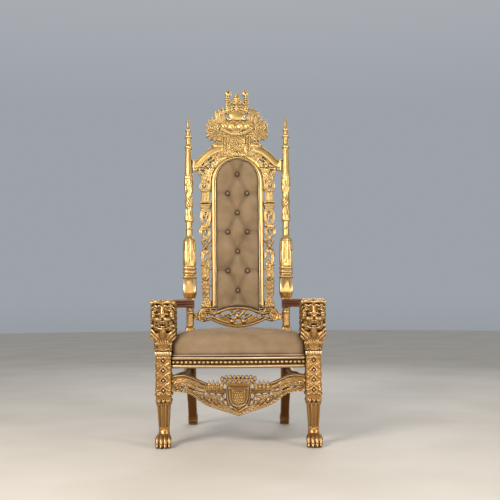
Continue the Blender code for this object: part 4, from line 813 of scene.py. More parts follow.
@dataclass
class Clay:
    """Wood carved in the round: distances on a grid that are below zero inside the wood.

    Places are across, forward and up. With symmetric set, only the half at and above zero
    across is modelled, and then mirrored.
    """

    low: Triple
    high: Triple
    step: float = 1.5 * MILLIMETRE
    symmetric: bool = True
    axes: list = field(init=False)
    gap: np.ndarray = field(init=False)

    def __post_init__(self) -> None:
        """Lays out the grid, which starts empty."""
        self.axes = [np.arange(a, b + self.step, self.step, np.float32) for a,
                     b in zip(self.low, self.high)]
        self.gap = np.full([len(axis) for axis in self.axes], 0.05, np.float32)

    def window(
        self, low: Sequence[float], high: Sequence[float], margin: float = 0.004
    ) -> tuple[tuple[slice, ...], np.ndarray, np.ndarray, np.ndarray]:
        """The part of the grid between two corners: its slices and its coordinates."""
        part = []
        for axis, a, b in zip(self.axes, low, high):
            first, last = np.searchsorted(axis, (a - margin, b + margin))
            part.append(slice(first, last))
        x, y, z = (axis[cut] for axis, cut in zip(self.axes, part))
        return tuple(part), x[:, None, None], y[None, :, None], z[None, None, :]

    def join(self, part: tuple[slice, ...], gap: np.ndarray, soft: float, cut: bool = False) -> None:
        """Melts a form on, or cuts it out."""
        old = self.gap[part]
        if old.size:
            self.gap[part] = -least(-old, gap, soft) if cut else least(old, gap, soft)

    def ball(self, centre: Triple, radii: Triple, soft: float = 0.003, cut: bool = False) -> None:
        """Melts on or cuts an ellipsoid."""
        low = [c - r for c, r in zip(centre, radii)]
        high = [c + r for c, r in zip(centre, radii)]
        part, *places = self.window(low, high)
        scaled = sum(((p - c) / r) ** 2 for p, c, r in zip(places, centre, radii))
        steep = sum(((p - c) / r**2) ** 2 for p, c, r in zip(places, centre, radii))
        near = np.sqrt(scaled)
        self.join(part, near * (near - 1) / np.sqrt(np.maximum(steep, 1e-6)), soft, cut)

    def bar(
        self,
        path: Sequence[Triple],
        radii: Sequence[float],
        soft: float = 0.0018,
        cut: bool = False,
        flat: Triple = (1, 1, 1),
    ) -> None:
        """Melts on or cuts a round bar along a smooth path.

        Args:
            path: Points that it runs through.
            radii: Its radius, evenly spaced along it.
            soft: How wide its joint with the rest is melted.
            cut: Whether it is cut out instead.
            flat: How many times thinner it is along each axis.
        """
        scale = np.asarray(flat, float)
        points = smooth_path(path, 5)
        reach = max(radii) / scale
        part, *places = self.window(points.min(0) - reach, points.max(0) + reach)
        shares = np.linspace(0, 1, len(points))
        radius = np.interp(shares, np.linspace(0, 1, len(radii)), radii)
        best = None
        for a, b, near, far in zip(points * scale, points[1:] * scale, radius, radius[1:]):
            line = b - a
            length = max(float(line @ line), 1e-12)
            offset = [p * s - c for p, s, c in zip(places, scale, a)]
            t = np.clip(sum(o * d for o, d in zip(offset, line)) / length, 0, 1)
            away = np.sqrt(sum((o - t * d) ** 2 for o, d in zip(offset, line)))
            gap = (away - near - (far - near) * t) / scale.max()
            best = gap if best is None else np.minimum(best, gap)
        self.join(part, best, soft, cut)

    def box(self, low: Triple, high: Triple, edge: float, soft: float = 0.002, cut: bool = False) -> None:
        """Melts on or cuts a box with rounded edges."""
        part, *places = self.window(low, high)
        over = [np.abs(p - (a + b) / 2) - (b - a) / 2 + edge for p, a, b in zip(places, low, high)]
        outside = np.sqrt(sum(np.maximum(o, 0) ** 2 for o in over))
        gap = outside + np.minimum(np.maximum(np.maximum(over[0], over[1]), over[2]), 0) - edge
        self.join(part, gap, soft, cut)

    def column(self, levels: Sequence[Point], carving: Relief | None = None, soft: float = 0.0015) -> None:
        """Melts on a square column.

        Args:
            levels: Height and half width of each level, from low to high.
            carving: Carving that stands on or is sunk into each of its four faces.
            soft: How wide its joint with the rest is melted.
        """
        heights, halves = zip(*levels)
        reach = max(halves) + 0.006
        part, x, y, z = self.window((-reach, -reach, heights[0]), (reach, reach, heights[-1]))
        half = np.interp(z, heights, halves)
        out_x, out_y = np.abs(x) - half, np.abs(y) - half
        if carving is not None:
            out_x, out_y = out_x - carving.sampled(y, z), out_y - carving.sampled(x, z)
        gap = -least(-out_x, -out_y, 0.0025)
        self.join(part, np.maximum(gap, np.maximum(heights[0] - z, z - heights[-1])), soft)

    def mesh(self, place: Place, triangles: int) -> bpy.types.Mesh:
        """Turns the wood's surface into a mesh with about this many triangles."""
        gap, axes = self.gap, list(self.axes)
        if self.symmetric:
            gap = np.concatenate([gap[:0:-1], gap])
            axes[0] = np.concatenate([-axes[0][:0:-1], axes[0]])
        gap = np.pad(gap, 1, constant_values=0.05)
        wood = gap < 0
        corners = [(a, b, c) for a in (0, 1) for b in (0, 1) for c in (0, 1)]
        size = [count - 1 for count in gap.shape]
        filled = sum(wood[a : a + size[0], b : b + size[1], c : c + size[2]].astype(np.int8) for a, b,
                     c in corners)
        mixed = (filled > 0) & (filled < 8)
        i, j, k = np.nonzero(mixed)
        value = np.stack([gap[i + a, j + b, k + c] for a, b, c in corners], -1)
        total, count = np.zeros((len(i), 3)), np.zeros((len(i), 1))
        for p, start in enumerate(corners):
            for q, end in enumerate(corners):
                if q > p and sum(abs(s - e) for s, e in zip(start, end)) == 1:
                    crossed = (value[:, p] < 0) != (value[:, q] < 0)
                    share = np.where(crossed, value[:, p] / (value[:, p] - value[:, q] + 1e-12), 0)[:, None]
                    spot = np.array(start) + share * (np.array(end) - np.array(start))
                    total += np.where(crossed[:, None], spot, 0)
                    count += crossed[:, None]
        first = np.array([axis[0] for axis in axes])
        points = (np.stack([i, j, k], -1) - 1 + total / np.maximum(count, 1)) * self.step + first
        index = np.full(mixed.shape, -1)
        index[mixed] = np.arange(len(i))
        faces = []
        for axis in range(3):
            other = [a for a in range(3) if a != axis]
            crossing = np.diff(wood, axis=axis)
            inner = [slice(1, -1)] * 3
            inner[axis] = slice(None)
            spots = np.stack(np.nonzero(crossing[tuple(inner)]), -1)
            spots[:, other] += 1
            ring = []
            for back_a, back_b in ((1, 1), (0, 1), (0, 0), (1, 0)):
                cell = spots.copy()
                cell[:, other[0]] -= back_a
                cell[:, other[1]] -= back_b
                ring.append(index[tuple(cell.T)])
            faces.append(np.stack(ring, -1))
        placed = np.stack(np.broadcast_arrays(*place(*points.T)), -1)
        return thinned(outward(mesh_from(placed, np.concatenate(faces))), triangles // (1))


@dataclass
class Turning:
    """A turned post with carving round it: how far out its surface lies, by height and angle."""

    levels: Sequence[Triple]
    step: float = 2.2 * MILLIMETRE
    sides: int = 72
    height: np.ndarray = field(init=False)
    angle: np.ndarray = field(init=False)
    radius: np.ndarray = field(init=False)

    def __post_init__(self) -> None:
        """Turns the plain profile: height, radius and squareness (2 is round) at each level."""
        heights, radii, squares = (np.array(values) for values in zip(*self.levels))
        rows = np.arange(heights[0], heights[-1], self.step)
        rows = np.unique(np.round(np.concatenate([rows, heights, heights + 0.0004]), 5))
        self.height = rows[rows <= heights[-1]][:, None]
        self.angle = np.linspace(0, 2 * math.pi, self.sides, endpoint=False)[None, :]
        square = np.interp(self.height, heights, squares)
        cosine, sine = np.abs(np.cos(self.angle)), np.abs(np.sin(self.angle))
        self.radius = np.interp(self.height, heights,
                                radii) * (cosine**square + sine**square) ** (-1 / square)

    def fade(self, low: float, high: float, edge: float = 0.003) -> np.ndarray:
        """One between two heights, and zero outside them."""
        inside = np.minimum(self.height - low, high - self.height)
        return np.clip(inside / edge, 0, 1)

    def reeds(
        self, low: float, high: float, count: int, depth: float, twist: float = 0.0, phase: float = 0.0
    ) -> None:
        """Cuts reeds round the post, upright or twisted.

        Args:
            low: Where they start.
            high: Where they end.
            count: How many there are round it.
            depth: How deep the valleys between them are.
            twist: Turns in each metre of height.
            phase: How far they are turned, in reeds.
        """
        turn = self.angle / (2 * math.pi) + twist * (self.height - low)
        valley = 1 - np.abs(np.sin(math.pi * (turn * count + phase)))
        self.radius -= depth * valley**1.6 * self.fade(low, high)

    def ring(self, middle: float, width: float, rise: float) -> None:
        """Adds a round ring, or cuts a groove where rise is below zero."""
        self.radius += rise * np.sqrt(np.clip(1 - ((self.height - middle) / width) ** 2, 0, 1))

    def leaves(self, foot: float, tip: float, count: int, rise: float, turned: float = 0.0) -> None:
        """Lays a row of pointed leaves with a vein in each against the post.

        Args:
            foot: The height they grow from.
            tip: The height their points reach, above or below the foot.
            count: How many there are round it.
            rise: How far they stand out.
            turned: How far the row is turned, in leaves.
        """
        share = np.clip((self.height - foot) / (tip - foot), 0, 1)
        wide = np.sqrt(np.clip(1 - share**2.2, 0, 1)) * (0.86 + 0.14 * np.sin(share * 9))
        across = np.abs(np.mod(self.angle * count / (2 * math.pi) + turned, 1) - 0.5) * 2
        ratio = across / np.maximum(wide, 0.02)
        body = np.sqrt(np.clip(1 - ratio**4, 0, 1))
        vein = np.exp(-((across / 0.12) ** 2))
        swell = rise * (0.75 + 0.6 * share) * body - 0.45 * rise * vein * body
        end = np.clip((1 - share) / 0.06, 0, 1) * (self.height - foot != 0)
        between = np.abs(self.height - (foot + tip) / 2) <= abs(tip - foot) / 2
        self.radius += swell * end * between

    def mesh(self, place: Place) -> bpy.types.Mesh:
        """Turns the post into a mesh.

        Args:
            place: Turns across, forward and up of the post's own axis into world coordinates.

        Returns:
            The closed mesh.
        """
        across = self.radius * np.cos(self.angle)
        forward = self.radius * np.sin(self.angle)
        rings = np.stack(np.broadcast_arrays(*place(across, forward, self.height + 0 * across)), -1)
        return lofted(rings)


class Growth:
    """Geometry Nodes trees that grow a repeating or swept piece along a path."""

    @staticmethod
    def start(name: str, numbers: dict[str, float]) -> tuple[Tree, Node, Node]:
        """A new tree with a geometry input and output, and named inputs for its sizes.

        Args:
            name: The tree's name.
            numbers: Each size's name and default, in metres or as a count if it is whole.

        Returns:
            The tree and its input and output nodes.
        """
        tree = bpy.data.node_groups.new(name, "GeometryNodeTree")
        tree.interface.new_socket("Path", in_out="INPUT", socket_type="NodeSocketGeometry")
        for label, value in numbers.items():
            kind = "NodeSocketInt" if isinstance(value, int) else "NodeSocketFloat"
            tree.interface.new_socket(label, in_out="INPUT", socket_type=kind).default_value = value
        tree.interface.new_socket("Finish", in_out="INPUT", socket_type="NodeSocketMaterial")
        tree.interface.new_socket("Shape", in_out="OUTPUT", socket_type="NodeSocketGeometry")
        return tree, tree.nodes.new("NodeGroupInput"), tree.nodes.new("NodeGroupOutput")

    @staticmethod
    def end(tree: Tree, group_in: Node, group_out: Node, shape: Socket) -> Tree:
        """Ends a tree with realised, smooth geometry of the finish."""
        real = add_node(tree, "GeometryNodeRealizeInstances", None, {"Geometry": shape})
        smooth = add_node(tree, "GeometryNodeSetShadeSmooth", None, {0: real.outputs[0]})
        dressed = add_node(
            tree, "GeometryNodeSetMaterial", None,
            {"Geometry": smooth.outputs[0], "Material": group_in.outputs["Finish"]},
        )
        tree.links.new(dressed.outputs[0], group_out.inputs["Shape"])
        return tree

    @classmethod
    def piping(cls) -> Tree:
        """Cord covered in fabric, swept round a closed or open path."""
        tree, group_in, group_out = cls.start("piping", {"Radius": 0.004, "Sides": 10})
        curve = add_node(tree, "GeometryNodeMeshToCurve", None, {"Mesh": group_in.outputs["Path"]})
        circle = add_node(
            tree, "GeometryNodeCurvePrimitiveCircle", None,
            {"Resolution": group_in.outputs["Sides"], "Radius": group_in.outputs["Radius"]},
        )
        swept = add_node(
            tree, "GeometryNodeCurveToMesh", None,
            {"Curve": curve.outputs[0], "Profile Curve": circle.outputs[0], "Fill Caps": True},
        )
        return cls.end(tree, group_in, group_out, swept.outputs[0])

    @classmethod
    def beads(cls) -> Tree:
        """Round beads spaced evenly along a path, each a little flattened along it."""
        tree, group_in, group_out = cls.start("bead row", {"Count": 31, "Radius": 0.0075, "Squash": 0.9})
        curve = add_node(tree, "GeometryNodeMeshToCurve", None, {"Mesh": group_in.outputs["Path"]})
        points = add_node(
            tree, "GeometryNodeCurveToPoints", {"mode": "COUNT"},
            {"Curve": curve.outputs[0], "Count": group_in.outputs["Count"]},
        )
        ball = add_node(
            tree, "GeometryNodeMeshUVSphere", None,
            {"Segments": 20, "Rings": 12, "Radius": group_in.outputs["Radius"]},
        )
        scale = add_node(
            tree, "ShaderNodeCombineXYZ", None, {"X": 1.0, "Y": 1.0, "Z": group_in.outputs["Squash"]}
        )
        placed = add_node(
            tree, "GeometryNodeInstanceOnPoints", None,
            {"Points": points.outputs[0], "Instance": ball.outputs[0],
             "Rotation": points.outputs["Rotation"],
             "Scale": scale.outputs[0]},
        )
        return cls.end(tree, group_in, group_out, placed.outputs[0])

    @classmethod
    def buttons(cls) -> Tree:
        """Covered buttons on points: a domed disc whose rim tucks under."""
        tree, group_in, group_out = cls.start("buttons", {"Radius": 0.011, "Dome": 0.55, "Lean": 0.0})
        ball = add_node(
            tree, "GeometryNodeMeshUVSphere", None,
            {"Segments": 28, "Rings": 18, "Radius": group_in.outputs["Radius"]},
        )
        scale = add_node(tree, "ShaderNodeCombineXYZ", None,
                         {"X": 1.0, "Y": 1.0, "Z": group_in.outputs["Dome"]})
        turn = add_node(tree, "ShaderNodeCombineXYZ", None, {"X": group_in.outputs["Lean"]})
        placed = add_node(
            tree, "GeometryNodeInstanceOnPoints", None,
            {"Points": group_in.outputs["Path"], "Instance": ball.outputs[0], "Rotation": turn.outputs[0],
             "Scale": scale.outputs[0]},
        )
        return cls.end(tree, group_in, group_out, placed.outputs[0])

    @staticmethod
    def grown(
        tree: bpy.types.GeometryNodeTree, points: Sequence[Triple], closed: bool, sizes: dict[str, float],
        finish: Finish, path: bool = True,
    ) -> bpy.types.Mesh:
        """Grows a tree's shape and turns it into a plain mesh.

        Args:
            tree: The tree.
            points: The path's points, or the points that carry an instance each.
            closed: Whether the path runs back to its start.
            sizes: Values for the tree's named inputs.
            finish: The finish of the shape.
            path: Whether the points are joined by edges.

        Returns:
            The mesh.
        """
        count = len(points)
        edges = [(k, (k + 1) % count) for k in range(count if closed else count - 1)] if path else []
        mesh = bpy.data.meshes.new("path")
        mesh.from_pydata([tuple(map(float, point)) for point in points], edges, [])
        helper = bpy.data.objects.new("path", mesh)
        bpy.context.scene.collection.objects.link(helper)
        modifier = helper.modifiers.new("growth", "NODES")
        modifier.node_group = tree
        for socket in tree.interface.items_tree:
            if socket.item_type == "SOCKET" and socket.in_out == "INPUT" and socket.name in sizes:
                modifier[socket.identifier] = sizes[socket.name]
            elif socket.item_type == "SOCKET" and socket.name == "Finish":
                modifier[socket.identifier] = finish.material()
        graph = bpy.context.evaluated_depsgraph_get()
        graph.update()
        made = bpy.data.meshes.new_from_object(helper.evaluated_get(graph))
        helper.modifiers.remove(modifier)
        bpy.data.objects.remove(helper, do_unlink=True)
        return made


def beside(path: Sequence[Point], distance: float) -> list[Point]:
    """The same smooth path, shifted to its left by a distance."""
    points = smooth_path(path)
    heading = np.gradient(points, axis=0)
    heading /= np.linalg.norm(heading, axis=1, keepdims=True)
    shifted = points + distance * np.stack([-heading[:, 1], heading[:, 0]], 1)
    return [tuple(point) for point in shifted[::3]] + [tuple(shifted[-1])]


@dataclass
class FrontLegs:
    """The two front legs: a lion's head that ends the arm, a column of diamonds, and a paw."""

    leg_x: float = 0.349
    leg_y: float = -0.3
    first_diamond: float = 0.4006
    diamond_pitch: float = 0.0458
    diamond_count: int = 4
    diamond_wide: float = 0.0186
    diamond_tall: float = 0.0213
    triangles: int = 100_000
    levels: tuple[Point, ...] = (
        (0.06, 0.0225), (0.085, 0.0235), (0.196, 0.03), (0.2085, 0.031), (0.2105, 0.034),
        (0.222, 0.035), (0.4215, 0.035), (0.4245, 0.0355), (0.426, 0.0382), (0.443, 0.0382),
        (0.444, 0.0345), (0.455, 0.0342), (0.478, 0.036), (0.49, 0.037), (0.506, 0.042),
        (0.53, 0.047),
    )

    def sink_diamonds(self, carving: Relief) -> None:
        """Sinks the framed diamonds, each with a boss, into a face of the column."""
        across, up = carving.across[:, None], carving.up[None, :]
        reach = self.diamond_wide * self.diamond_tall / math.hypot(self.diamond_wide, self.diamond_tall)
        for count in range(self.diamond_count):
            middle = self.first_diamond - count * self.diamond_pitch
            away = across / self.diamond_wide + np.abs(up - middle) / self.diamond_tall
            inside = (1 - away) * reach
            ridge = np.sqrt(np.clip(1 - ((inside - 0.002) / 0.0024) ** 2, 0, 1))
            sunk = -0.005 * np.clip((inside - 0.004) / 0.0022, 0, 1)
            carving.height = np.where(inside > -0.0004, sunk + 0.0018 * ridge, carving.height)
            carving.dome(0.0, middle, 0.0062, 0.0055, -0.0045)

    def carving(self) -> Relief:
        """The carving on each face of the column: flutes, tongues, diamonds, leaves and a shell."""
        face = Relief((0.0, 0.055), (0.052, 0.53), 0.9 * MILLIMETRE, symmetric=True)
        across, up = face.across[:, None], face.up[None, :]
        border = np.exp(-(((across - 0.0315) / 0.0014) ** 2)) * ((up > 0.222) & (up < 0.4215))
        face.height -= 0.0012 * border
        self.sink_diamonds(face)
        for count in range(self.diamond_count - 1):
            valley = self.first_diamond - (count + 0.5) * self.diamond_pitch
            face.band([(0.0105, valley), (0.019, valley + 0.005), (0.0275, valley + 0.012)],
                      [0.0035, 0.005, 0.0018], 0.0036, 0.0, Section.LEAF, 2, 0.3)
            face.band([(0.0105, valley), (0.019, valley - 0.005), (0.0275, valley - 0.012)],
                      [0.0035, 0.005, 0.0018], 0.0036, 0.0, Section.LEAF, 2, 0.3)
            face.dome(0.0245, valley, 0.0042, 0.0038, 0.0)
        for side_up in (self.first_diamond + 0.013, self.first_diamond - 3 * self.diamond_pitch - 0.014):
            face.band([(0.013, side_up), (0.027, side_up)], [0.005, 0.003], 0.0035, 0.0, Section.LEAF, 2,
                      0.3)
        face.dome(0.0275, 0.264, 0.0065, 0.005, 0.0)
        face.band([(0.018, 0.24), (0.0235, 0.248), (0.03, 0.242)], [0.0022, 0.0026, 0.0022], 0.003)
        reeds = 0.0016 * np.abs(np.cos(across / 0.0385 * 3.5 * math.pi)) ** 0.7
        face.height = np.where((up > 0.426) & (up < 0.443), reeds, face.height)
        self.shell(face)
        self.flutes(face, across, up)
        return face

    def shell(self, face: Relief) -> None:
        """The fan of ribs over the collar and the curled leaves at both its sides."""
        for rib in range(4):
            lean = math.radians(24 * rib)
            tip = (0.0285 * math.sin(lean), 0.447 + 0.033 * math.cos(lean))
            face.band([(0.0045 * math.sin(lean), 0.4475), tip], [0.0012, 0.0042, 0.003], 0.0048, 0.0005)
        for lobe in (0.0, 0.0095, 0.0185):
            face.band([(lobe, 0.47), (1.12 * lobe, 0.492)], [0.004, 0.005, 0.0022], 0.005, 0.001,
                      Section.LEAF)
        face.scroll((0.0265, 0.48), 0.0092, 200, -1.1, 0.0026, 0.005, 0.001)
        face.band([(0.03, 0.45), (0.035, 0.465), (0.034, 0.48)], [0.003, 0.0042, 0.003], 0.0045)

    def flutes(self, face: Relief, across: np.ndarray, up: np.ndarray) -> None:
        """Three flutes down the shaft, ended round, and the tongues that hang over them."""
        for centre, half, foot in ((0.0, 0.0068, 0.083), (0.0178, 0.0042, 0.088)):
            squeeze = np.interp(up, (0.08, 0.2), (0.84, 1.0))
            below = np.maximum(foot + half - up, 0)
            away = np.hypot((across - centre * squeeze) / squeeze, below) / half
            cut = -0.0042 * np.sqrt(np.clip(1 - away**2, 0, 1)) * (up < 0.2095)
            face.height += cut
        for place in (0.0, 0.02):
            tongue = [(place, 0.216), (place, 0.206), (0.96 * place, 0.1965)]
            face.band(tongue, [0.0062, 0.006, 0.003], 0.004, 0.0008)
            face.engrave([(place, 0.2205), (place + 1e-4, 0.2204)], 0.0026, 0.006)
        face.engrave([(0.01, 0.2215), (0.01, 0.2)], 0.0016, 0.003)

    def head(self, clay: Clay) -> None:
        """Models the lion's head: forelock, brows, eyes, broad nose, muzzle, jaw, beard and mane."""
        clay.box((-0.047, -0.054, 0.535), (0.047, 0.034, 0.684), 0.01)
        clay.box((-0.044, -0.054, 0.512), (0.044, 0.024, 0.56), 0.01, 0.008)
        clay.ball((0.0, 0.03, 0.64), (0.036, 0.024, 0.03), 0.01)
        self.face(clay)
        self.mouth(clay)
        self.mane(clay)

    def face(self, clay: Clay) -> None:
        """The forehead rolls, wavy brows, deep-set eyes, nose and cheeks."""
        clay.bar([(0.004, 0.047, 0.669), (0.028, 0.051, 0.674), (0.05, 0.045, 0.67)],
                 [0.007, 0.0088, 0.007])
        clay.ball((0.051, 0.046, 0.6705), (0.0095, 0.009, 0.0098))
        clay.bar([(0.0, 0.047, 0.658), (0.0, 0.04, 0.684)], [0.004, 0.0046])
        brow = [(0.004, 0.054, 0.652), (0.013, 0.058, 0.657), (0.023, 0.055, 0.652), (0.033, 0.052, 0.656),
                (0.043, 0.047, 0.65)]
        clay.bar(brow, [0.0042, 0.005, 0.0048, 0.0046, 0.004])
        clay.ball((0.0345, 0.053, 0.64), (0.0125, 0.011, 0.008), 0.003, cut=True)
        clay.ball((0.034, 0.044, 0.64), (0.0062, 0.006, 0.006), 0.0012)
        clay.bar([(0.0235, 0.047, 0.6385), (0.034, 0.051, 0.646), (0.044, 0.044, 0.64)],
                 [0.0022, 0.0026, 0.002])
        clay.bar([(0.024, 0.047, 0.637), (0.034, 0.05, 0.6335), (0.043, 0.044, 0.637)],
                 [0.002, 0.0024, 0.0018])
        clay.ball((0.0, 0.047, 0.634), (0.02, 0.015, 0.028), 0.006)
        clay.bar([(0.0, 0.059, 0.648), (0.0, 0.064, 0.622)], [0.0075, 0.011], 0.006)
        clay.bar([(0.0, 0.064, 0.6185), (0.012, 0.064, 0.6195), (0.024, 0.058, 0.6165)],
                 [0.0058, 0.0062, 0.0054])
        clay.ball((0.0, 0.064, 0.608), (0.015, 0.0085, 0.009), 0.002)
        clay.bar([(0.008, 0.069, 0.6085), (0.0135, 0.066, 0.605)], [0.003, 0.0024], 0.001, cut=True)
        clay.ball((0.043, 0.036, 0.613), (0.014, 0.015, 0.026), 0.004)
        clay.bar([(0.034, 0.048, 0.617), (0.044, 0.049, 0.62), (0.053, 0.041, 0.618)],
                 [0.0036, 0.0042, 0.003])
        clay.bar([(0.034, 0.048, 0.608), (0.045, 0.049, 0.609), (0.055, 0.039, 0.606)],
                 [0.0034, 0.0042, 0.003])
        clay.bar([(0.038, 0.046, 0.598), (0.048, 0.045, 0.597), (0.056, 0.036, 0.593)],
                 [0.0034, 0.004, 0.003])

    def mouth(self, clay: Clay) -> None:
        """The muzzle's two lobes, open mouth with teeth and tongue, lips and a pointed beard."""
        clay.ball((0.02, 0.053, 0.594), (0.0215, 0.018, 0.013), 0.0022)
        clay.bar([(0.0, 0.07, 0.6), (0.0, 0.069, 0.584)], [0.0013, 0.0016], 0.001, cut=True)
        for whisker in range(3):
            across = 0.013 + 0.0075 * whisker
            clay.ball((across, 0.0715 - 0.0024 * whisker, 0.595 - 0.001 * whisker), (0.0013,) * 3, 0.001,
                      cut=True)
        clay.box((-0.026, 0.02, 0.545), (0.026, 0.048, 0.59), 0.006)
        mouth = [(0.0, 0.062, 0.5755), (0.01, 0.06, 0.572), (0.0185, 0.056, 0.564)]
        clay.bar(mouth, [0.0068, 0.0066, 0.005], 0.0015, cut=True)
        clay.ball((0.0, 0.056, 0.564), (0.018, 0.014, 0.0095), 0.002, cut=True)
        clay.bar([(0.0, 0.062, 0.5845), (0.015, 0.06, 0.5815), (0.026, 0.053, 0.572)],
                 [0.0038, 0.0042, 0.0034])
        clay.bar([(0.0165, 0.057, 0.577), (0.0165, 0.058, 0.565)], [0.0036, 0.0014], 0.0012)
        clay.bar([(0.006, 0.059, 0.579), (0.006, 0.06, 0.573)], [0.0026, 0.0016], 0.0008)
        clay.ball((0.0, 0.05, 0.56), (0.014, 0.013, 0.0062), 0.0015)
        clay.bar([(0.0, 0.059, 0.55), (0.018, 0.055, 0.552), (0.031, 0.048, 0.56)],
                 [0.0042, 0.0042, 0.0036])
        clay.bar([(0.029, 0.052, 0.586), (0.035, 0.049, 0.572), (0.038, 0.046, 0.558)],
                 [0.004, 0.0048, 0.0036])
        clay.ball((0.047, 0.042, 0.564), (0.0105, 0.0085, 0.008), 0.0025)
        clay.bar([(0.0, 0.044, 0.538), (0.0, 0.041, 0.516), (0.0, 0.036, 0.498)], [0.0175, 0.0125, 0.005],
                 0.004)
        for strand in (0.004, 0.0105):
            groove = [(strand, 0.062, 0.545), (0.9 * strand, 0.056, 0.52), (0.4 * strand, 0.044, 0.501)]
            clay.bar(groove, [0.0013, 0.0018, 0.0012], 0.001, cut=True)

    def mane(self, clay: Clay) -> None:
        """Locks of the mane: under the jaw, in rows over each side, and combed back on top."""
        jaw = (
            ((0.052, 0.038, 0.545), (0.038, 0.043, 0.53), (0.024, 0.043, 0.514), (0.015, 0.04, 0.502)),
            ((0.055, 0.033, 0.528), (0.042, 0.039, 0.515), (0.029, 0.039, 0.501), (0.022, 0.037, 0.494)),
            ((0.056, 0.024, 0.513), (0.047, 0.03, 0.502), (0.037, 0.033, 0.492)),
        )
        for lock in jaw:
            clay.bar(lock, [0.006, 0.0078, 0.0066, 0.0022])
        for row in range(4):
            for lock in range(6):
                back = 0.026 - 0.0235 * row
                up = 0.662 - 0.0265 * lock - 0.011 * (row % 2)
                curl = [(0.0485, back + 0.006, up + 0.013), (0.053, back - 0.001, up + 0.003),
                        (0.0525, back - 0.011, up - 0.008), (0.049, back - 0.014, up - 0.017)]
                clay.bar(curl, [0.0048, 0.0074, 0.0062, 0.002])
                groove = [(0.06, back + 0.004, up + 0.008), (0.062, back - 0.002, up),
                          (0.059, back - 0.012, up - 0.011)]
                clay.bar(groove, [0.0016, 0.0022, 0.0012], 0.001, cut=True)
        for strand in range(4):
            across = 0.007 + 0.0125 * strand
            path = [(across, 0.044, 0.6765), (1.04 * across, 0.015, 0.682), (across, -0.03, 0.6815),
                    (across, -0.054, 0.68)]
            clay.bar(path, [0.006, 0.0056, 0.0052, 0.005])

    def paw(self, clay: Clay) -> None:
        """Models the paw: ankle, knuckled toes with claws, and the flat it stands on."""
        clay.ball((0.0, 0.004, 0.056), (0.0275, 0.029, 0.028), 0.006)
        clay.ball((0.0, 0.008, 0.024), (0.033, 0.042, 0.029), 0.006)
        for centre, back in ((0.0095, 0.0), (0.0275, 0.0095)):
            over = [(0.7 * centre, 0.016 - back, 0.056), (0.88 * centre, 0.04 - back, 0.05),
                    (centre, 0.0575 - back, 0.04), (centre, 0.067 - back, 0.025),
                    (centre, 0.069 - back, 0.01)]
            clay.bar(over, [0.0085, 0.01, 0.0108, 0.0096, 0.0092], 0.0012)
            clay.ball((centre, 0.062 - back, 0.035), (0.0098, 0.01, 0.0092), 0.0012)
            claw = [(centre, 0.073 - back, 0.0165), (centre, 0.0785 - back, 0.01),
                    (centre, 0.078 - back, 0.002)]
            clay.bar(claw, [0.0042, 0.0034, 0.0014], 0.001)
            clay.bar([(centre - 0.006, 0.0765 - back, 0.02), (centre + 0.006, 0.0765 - back, 0.02)],
                     [0.0012, 0.0012], 0.001, cut=True)
        clay.ball((0.019, 0.03, 0.064), (0.004, 0.007, 0.004), 0.001, cut=True)
        clay.box((-0.1, -0.1, -0.1), (0.1, 0.1, 0.0), 0.0, 0.0004, cut=True)

    def build(self) -> None:
        """Models the right leg and sets its mirror image on the left."""
        clay = Clay((0.0, -0.056, -0.003), (0.066, 0.084, 0.696), 1.25 * MILLIMETRE)
        clay.column(self.levels, self.carving())
        self.head(clay)
        self.paw(clay)
        behind = 1.0 * MILLIMETRE
        clay.box((-0.2, -0.2, 0.0), (0.2, -0.054 - behind, 1.0), 0.0, 0.0004, cut=True)
        right = clay.mesh(lambda u, f, z: (self.leg_x + u, self.leg_y - f, z), self.triangles)
        left = mirrored(right)
        piece("right_leg_carved", right, Finish.GOLD, ["front_leg_right"])
        piece("left_leg_carved", left, Finish.GOLD, ["front_leg_left"])


